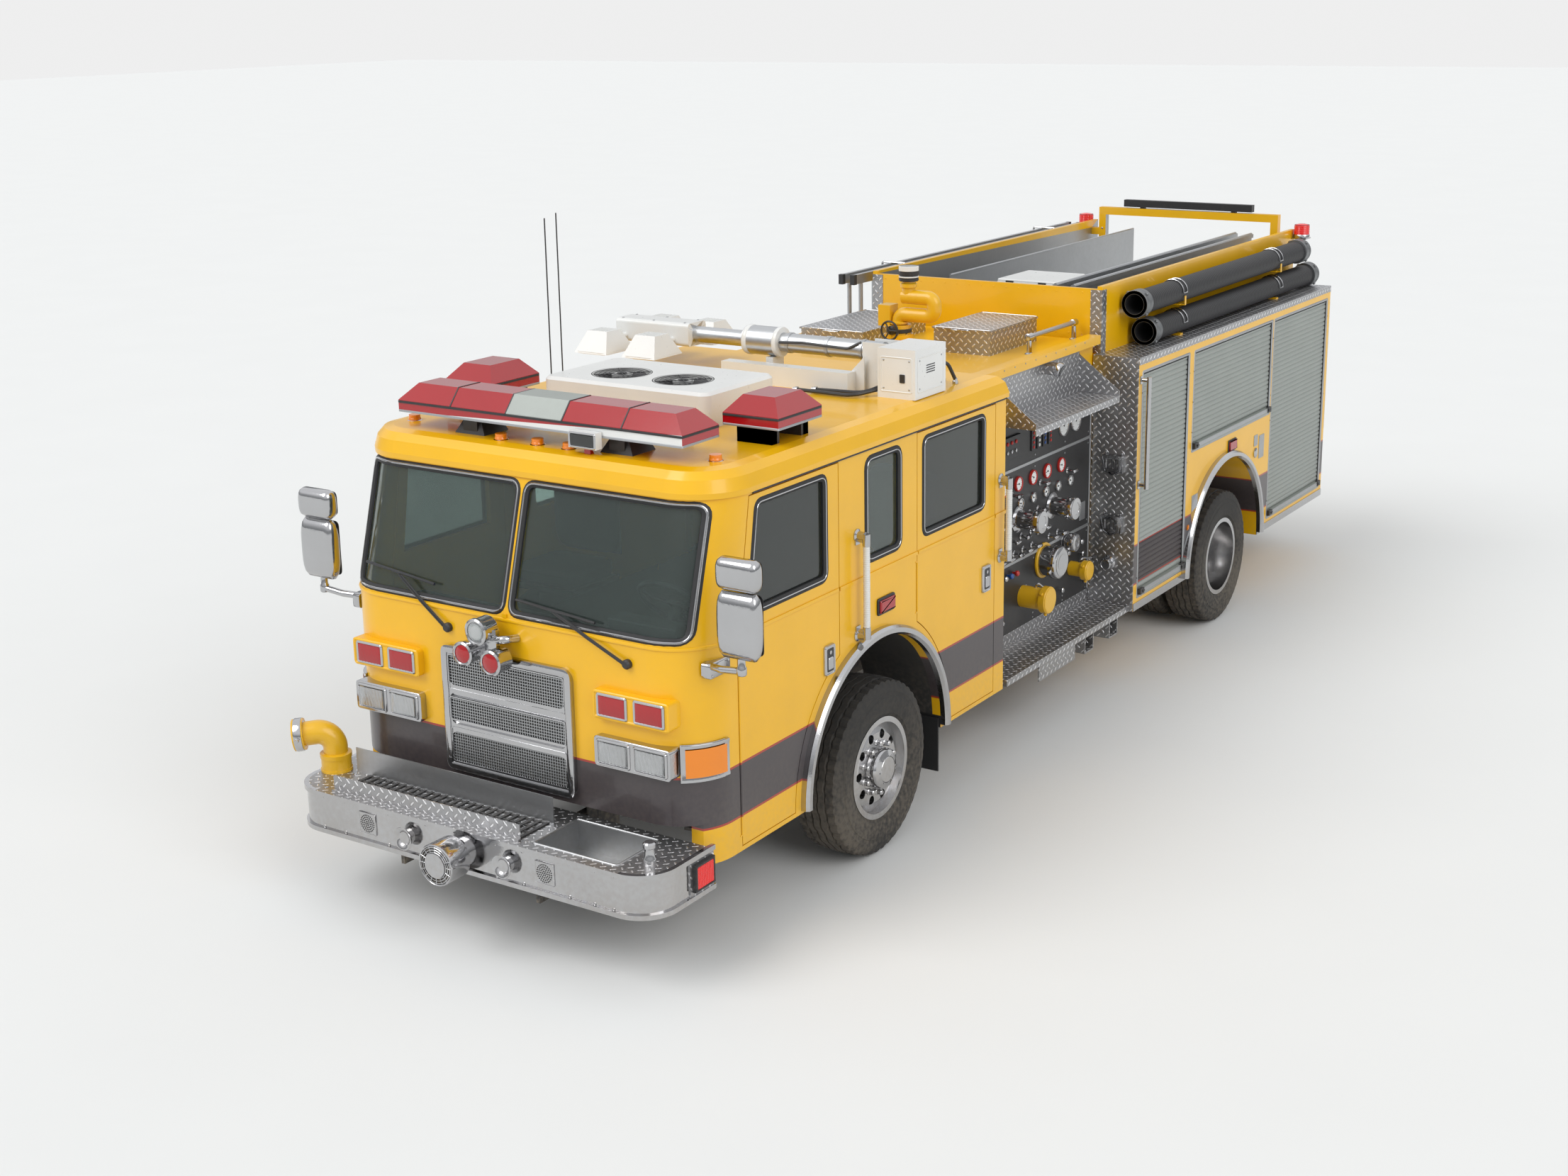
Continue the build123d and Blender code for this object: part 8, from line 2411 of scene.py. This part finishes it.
@dataclass
class Interior:
    """Seats, dash, steering wheel and screens inside the cab."""

    floor: float = 1.040
    seats: tuple[tuple[float, float, float], ...] = (
        (0.640, -2.890, 0.270), (-0.640, -2.890, 0.270), (0.560, -1.240, 0.0), (-0.560, -1.240, 0.0),
        (0.0, -1.240, 0.0))

    def build(self) -> None:
        """Makes the inside of the cab, which stands for the plain node."""
        dash = self.dash()
        for number, (x, back_y, lift) in enumerate(self.seats, 1):
            base = self.floor + lift
            self.frame(number, x, back_y, base)
            self.cushion(
                f"chair_{number}_cushion", (x - 0.235, back_y - 0.520, base + 0.182),
                (x + 0.235, back_y - 0.090, base + 0.312), 2)
            self.cushion(
                f"chair_{number}_rest", (x - 0.232, back_y - 0.118, base + 0.312),
                (x + 0.232, back_y - 0.024, base + 0.898), 1)
        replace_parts(dash, "cab_interior")

    def dash(self) -> bpy.types.Object:
        """Dash with its hooded dials, screen, column and steering wheel."""
        piece = Piece("dash_and_steering", "cab", Look.DASH)
        outline = fillet(
            [
                (-4.385, 1.335), (-4.055, 1.335), (-4.036, 1.500), (-4.090, 1.625), (-4.250, 1.638),
                (-4.385, 1.600)],
            0.03, 4)
        piece.loft([[(x, spot.x, spot.y) for spot in outline] for x in (-0.905, 0.905)])
        hood = fillet([(-4.16, 1.62), (-4.02, 1.60), (-4.04, 1.70), (-4.18, 1.70)], 0.02, 3)
        piece.loft([[(x, spot.x, spot.y) for spot in hood] for x in (0.46, 0.90)])
        back_face = Face.at((0.680, -4.028, 1.640), (-1, 0, 0), (0, -0.2, 1))
        for u in (-0.16, -0.05, 0.06, 0.16):
            at, normal = back_face(u, 0.0)
            piece.use(Look.POLISHED).turned([(0.040, 0.0), (0.040, 0.006), (0.035, 0.007)], at, normal, 20)
            piece.use(Look.DIAL).turned([(0.034, 0.004), (0.002, 0.0065)], at, normal, 20)
        hub = Vector((0.700, -3.874, 1.720))
        normal = Vector((0, 0.72, 0.69)).normalized()
        over = normal.cross(Vector(ACROSS)).normalized()
        piece.use(Look.PLASTIC).tube([Vector((0.700, -4.100, 1.500)), hub], 0.030, 14)
        rim = [hub + (Vector(ACROSS) * math.cos(turn) + over * math.sin(turn)) * 0.222 for turn in turns(40)]
        piece.hoop(rim, 0.0155, 10)
        for turn in (90, 210, 330):
            angle = math.radians(turn)
            end = hub + (Vector(ACROSS) * math.cos(angle) + over * math.sin(angle)) * 0.215
            piece.tube([hub, hub.lerp(end, 0.5) - normal * 0.01, end], 0.011, 8)
        piece.turned([(0.050, -0.012), (0.055, 0.0), (0.048, 0.016), (0.02, 0.020)], hub, normal, 24)
        piece.box((-0.30, -4.060, 1.420), (0.02, -4.020, 1.560))
        piece.use(Look.BLUE_TRIM).box((-0.285, -4.0205, 1.435), (0.005, -4.0185, 1.545))
        return piece.done()

    def frame(self, number: int, x: float, back_y: float, base: float) -> None:
        """Pedestal and shell of one seat."""
        piece = Piece(f"chair_{number}_frame", "cab", Look.PLASTIC)
        start = (FRONT_SEAT_BACK if base > 1.2 else back_y) - SEAT_DEPTH
        piece.box((x - 0.140, start + 0.05, self.floor), (x + 0.140, back_y - 0.070, base + 0.150))
        piece.box((x - 0.215, back_y - 0.490, base + 0.150), (x + 0.215, back_y - 0.050, base + 0.184))
        piece.box((x - 0.215, back_y - 0.032, base + 0.300), (x + 0.215, back_y - 0.021, base + 0.860))
        piece.done(0.006)

    def cushion(self, name: str, low: Spot, high: Spot, up: int) -> None:
        """Makes one crowned cushion with piping and two sewn channels.

        Args:
            name: The piece's name.
            low: Lowest corner of the space that it fills.
            high: Highest corner.
            up: Axis across its thickness.
        """
        second = 1 if up == 2 else 2
        middle = (Vector(low) + Vector(high)) / 2
        half = (Vector(high) - Vector(low)) / 2
        piece = Piece(name, "cab", Look.CLOTH)
        levels = 8
        around = 48
        rings = []
        for level in range(levels + 1):
            turn = -1 + 2 * level / levels
            shrink = math.sqrt(max(1 - (abs(turn) ** 3.2), 0.0)) if 0 < level < levels else 0.0
            reach = 0.86 + 0.14 * shrink
            ring = []
            for angle in turns(around):
                cosine, sine = math.cos(angle), math.sin(angle)
                u = math.copysign(abs(cosine) ** 0.32, cosine) * reach
                v = math.copysign(abs(sine) ** 0.32, sine) * reach
                spot = Vector(middle)
                spot.x += u * half.x
                spot[second] += v * half[second]
                spot[up] += turn * half[up] * 0.80
                ring.append(spot)
            rings.append(ring)
        for side, start in ((1, rings[-1]), (-1, rings[0])):
            inner = []
            for share in (0.75, 0.5, 0.25, 0.04):
                ring = []
                for spot in start:
                    moved = middle.lerp(spot, share)
                    crown = 1 - share ** 2
                    across = (moved.x - middle.x) / half.x
                    channel = 0.12 * math.exp(-((abs(across) - 0.42) / 0.06) ** 2)
                    moved[up] = spot[up] + side * half[up] * 0.20 * max(crown - channel, 0.0)
                    ring.append(moved)
                inner.append(ring)
            rings = rings + inner if side > 0 else list(reversed(inner)) + rings
        piece.loft(rings)
        seam = [Vector(spot) for spot in rings[4 + levels // 2 + 2]]
        piece.hoop(seam, 0.0045, 6)
        made = piece.done(seam=80)


def dress_regions(carcass: Carcass) -> None:
    """Gives parts of the CAD nodes their own finishes, by place and by the way that they face."""
    far = 9.0
    everywhere_low, everywhere_high = (-far, -far, -far), (far, far, far)
    for name in ("body_trim", "cab_trim"):
        carcass.patch(name, Look.POLISHED, everywhere_low, everywhere_high)
    for name in ("cab_floor", "cab_shell", "cab_trim", "treads", "frame_rails"):
        carcass.patch(name, Look.RUBBER, (-1.23, -1.990, 0.20), (1.23, -1.955, 0.60))
    for name in ("pump_house", "pump_top"):
        for sign in SIGNS:
            low, high = sorted((sign * 0.897, sign * 1.30))
            carcass.patch(name, Look.TREAD, (low, -0.72, 2.00), (high, 0.62, 2.426))
    carcass.patch("pump_top", Look.TREAD, (0.10, -0.13, 2.440), (0.60, 0.62, 2.625))
    carcass.patch("pump_top", Look.TREAD, (-0.86, -0.31, 2.440), (-0.30, 0.62, 2.575))
    carcass.patch("body_shell", Look.TREAD, (-1.26, 0.70, 0.50), (1.26, 0.90, 2.40), AHEAD)
    carcass.patch("body_shell", Look.TREAD, (-1.26, 0.70, 2.30), (1.26, 4.90, 2.40), UP)
    carcass.patch("roller_shutters", Look.SLATS, everywhere_low, everywhere_high)
    carcass.patch("hose_bed", Look.BRUSHED, (-0.905, 0.80, 1.80), (0.0, 4.80, 2.79), ACROSS)
    carcass.patch("hose_bed", Look.BRUSHED, (0.0, 0.80, 1.80), (0.905, 4.80, 2.79), (-1, 0, 0))
    carcass.patch("hose_bed", Look.BRUSHED, (-0.905, 0.88, 1.80), (0.905, 4.80, 1.90), UP)
    carcass.patch("hose_bed", Look.BRUSHED, (-0.905, 0.86, 1.80), (0.905, 0.90, 2.79), ASTERN)
    carcass.patch("hose_bed_dividers", Look.WHITE, (0.0, 1.00, 2.70), (0.49, 1.56, 2.80))
    carcass.patch("rear_lights", Look.PLASTIC, (-0.62, 4.58, 2.94), (0.62, 4.70, 3.05))
    for low, high in ((-1.07, -0.93), (0.93, 1.07)):
        carcass.patch("rear_lights", Look.RED_LENS, (low, 4.64, 2.757), (high, 4.79, 2.88))
    for x, z, y0, y1 in SUCTION_HOSES.values():
        for low, high in ((y0 - 0.01, y0 + 0.112), (y1 - 0.112, y1 + 0.01)):
            carcass.patch(
                "suction_hoses", Look.GREY_COUPLING, (x - 0.11, low, z - 0.11), (x + 0.11, high, z + 0.11))
    carcass.patch("nose_lamps", Look.PLAIN_YELLOW, (-1.10, -4.60, 1.262), (1.10, -4.20, 1.445))
    carcass.patch("nose_lamps", Look.POLISHED, (-0.30, -4.70, 1.40), (0.20, -4.40, 1.80))
    carcass.patch("bumper_fittings", Look.CHASSIS, (-0.60, -4.90, 0.34), (0.60, -4.70, 0.452))
    carcass.patch("bumper_fittings", Look.CHASSIS, (-0.12, -5.080, 0.42), (0.12, -5.076, 0.66), AHEAD)
    carcass.patch("bumper_fittings", Look.BRASS, (-1.56, -4.90, 0.660), (-1.00, -4.40, 1.05))
    for low, high in ((-1.30, -1.20), (1.20, 1.30)):
        carcass.patch("bumper_fittings", Look.PLASTIC, (low, -4.60, 0.46), (high, -4.36, 0.64))
    for which, grip in DOOR_GRIPS.items():
        for side, sign in SIDES:
            low, high = sorted((sign * 1.2185, sign * 1.240))
            carcass.patch(
                f"{which}_door_{side}", Look.POLISHED, (low, grip - 0.06, 1.22), (high, grip + 0.06, 1.42))
    for name in ("bumper_deck", "front_bumper"):
        carcass.patch(name, Look.TREAD, (-0.96, -4.900, 0.664), (0.39, -4.830, 0.78))
        carcass.patch(name, Look.BRUSHED, (-1.05, -4.590, 0.672), (0.40, -4.565, 0.83))
        carcass.patch(name, Look.BRUSHED, (0.44, -4.84, 0.49), (0.99, -4.46, 0.655))
    carcass.patch("tower_head", Look.MAST, (-0.52, -2.02, 2.73), (0.80, -1.90, 2.85))
    carcass.patch("roof_lights", Look.PLASTIC, (-0.60, -4.12, 2.55), (0.60, -3.85, 2.655))
    for low, high in ((-1.10, -0.84), (0.84, 1.10)):
        carcass.patch("roof_lights", Look.PLASTIC, (low, -3.60, 2.55), (high, -3.12, 2.655))
    carcass.patch("roof_lights", Look.PLASTIC, (-0.97, -3.08, 2.60), (-0.76, -2.74, 3.62))
    carcass.patch("roof_lights", Look.DIAL, (0.26, -4.22, 2.59), (0.47, -4.14, 2.69))
    for x, y in MARKERS:
        carcass.patch("roof_lights", Look.AMBER, (x - 0.04, y - 0.04, 2.55), (x + 0.04, y + 0.04, 2.60))
    for sign in SIGNS:
        low, high = sorted((sign * 0.906, sign * 1.20))
        carcass.patch("pump_panels", Look.POLISHED, (low, -0.45, 1.32), (high, 0.26, 1.52))
        carcass.patch("pump_panels", Look.POLISHED, (low, -0.08, 0.91), (high, 0.46, 1.17))
        carcass.patch("pump_panels", Look.BRASS, (low, -0.36, 0.76), (high, -0.16, 0.96))
        carcass.patch("pump_panels", Look.BRASS, (low, 0.42, 0.79), (high, 0.58, 0.95))
    for name in ("gun_swivel", "gun_barrel"):
        carcass.patch(name, Look.BRASS, everywhere_low, everywhere_high)
    carcass.patch("gun_barrel", Look.PLASTIC, (0.0, -0.60, 2.975), (0.30, -0.30, 3.08))


def main() -> None:
    """Builds the truck's pieces in order."""
    logging.basicConfig(level=logging.INFO, format="%(message)s")
    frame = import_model()
    Studio().build()
    carcass = Carcass(frame["nodes"])
    carcass.build()
    dress_regions(carcass)
    Wheels().build()
    CabSkin().build()
    Nose().build()
    Mirrors().build()
    Bumper().build()
    Roof().build()
    Tower().build()
    for side, sign in SIDES:
        PumpPanel(side, sign).build()
    PumpTop().build()
    BodySides().build()
    HoseBed().build()
    Rear().build()
    Interior().build()


if __name__ == "__main__":
    main()
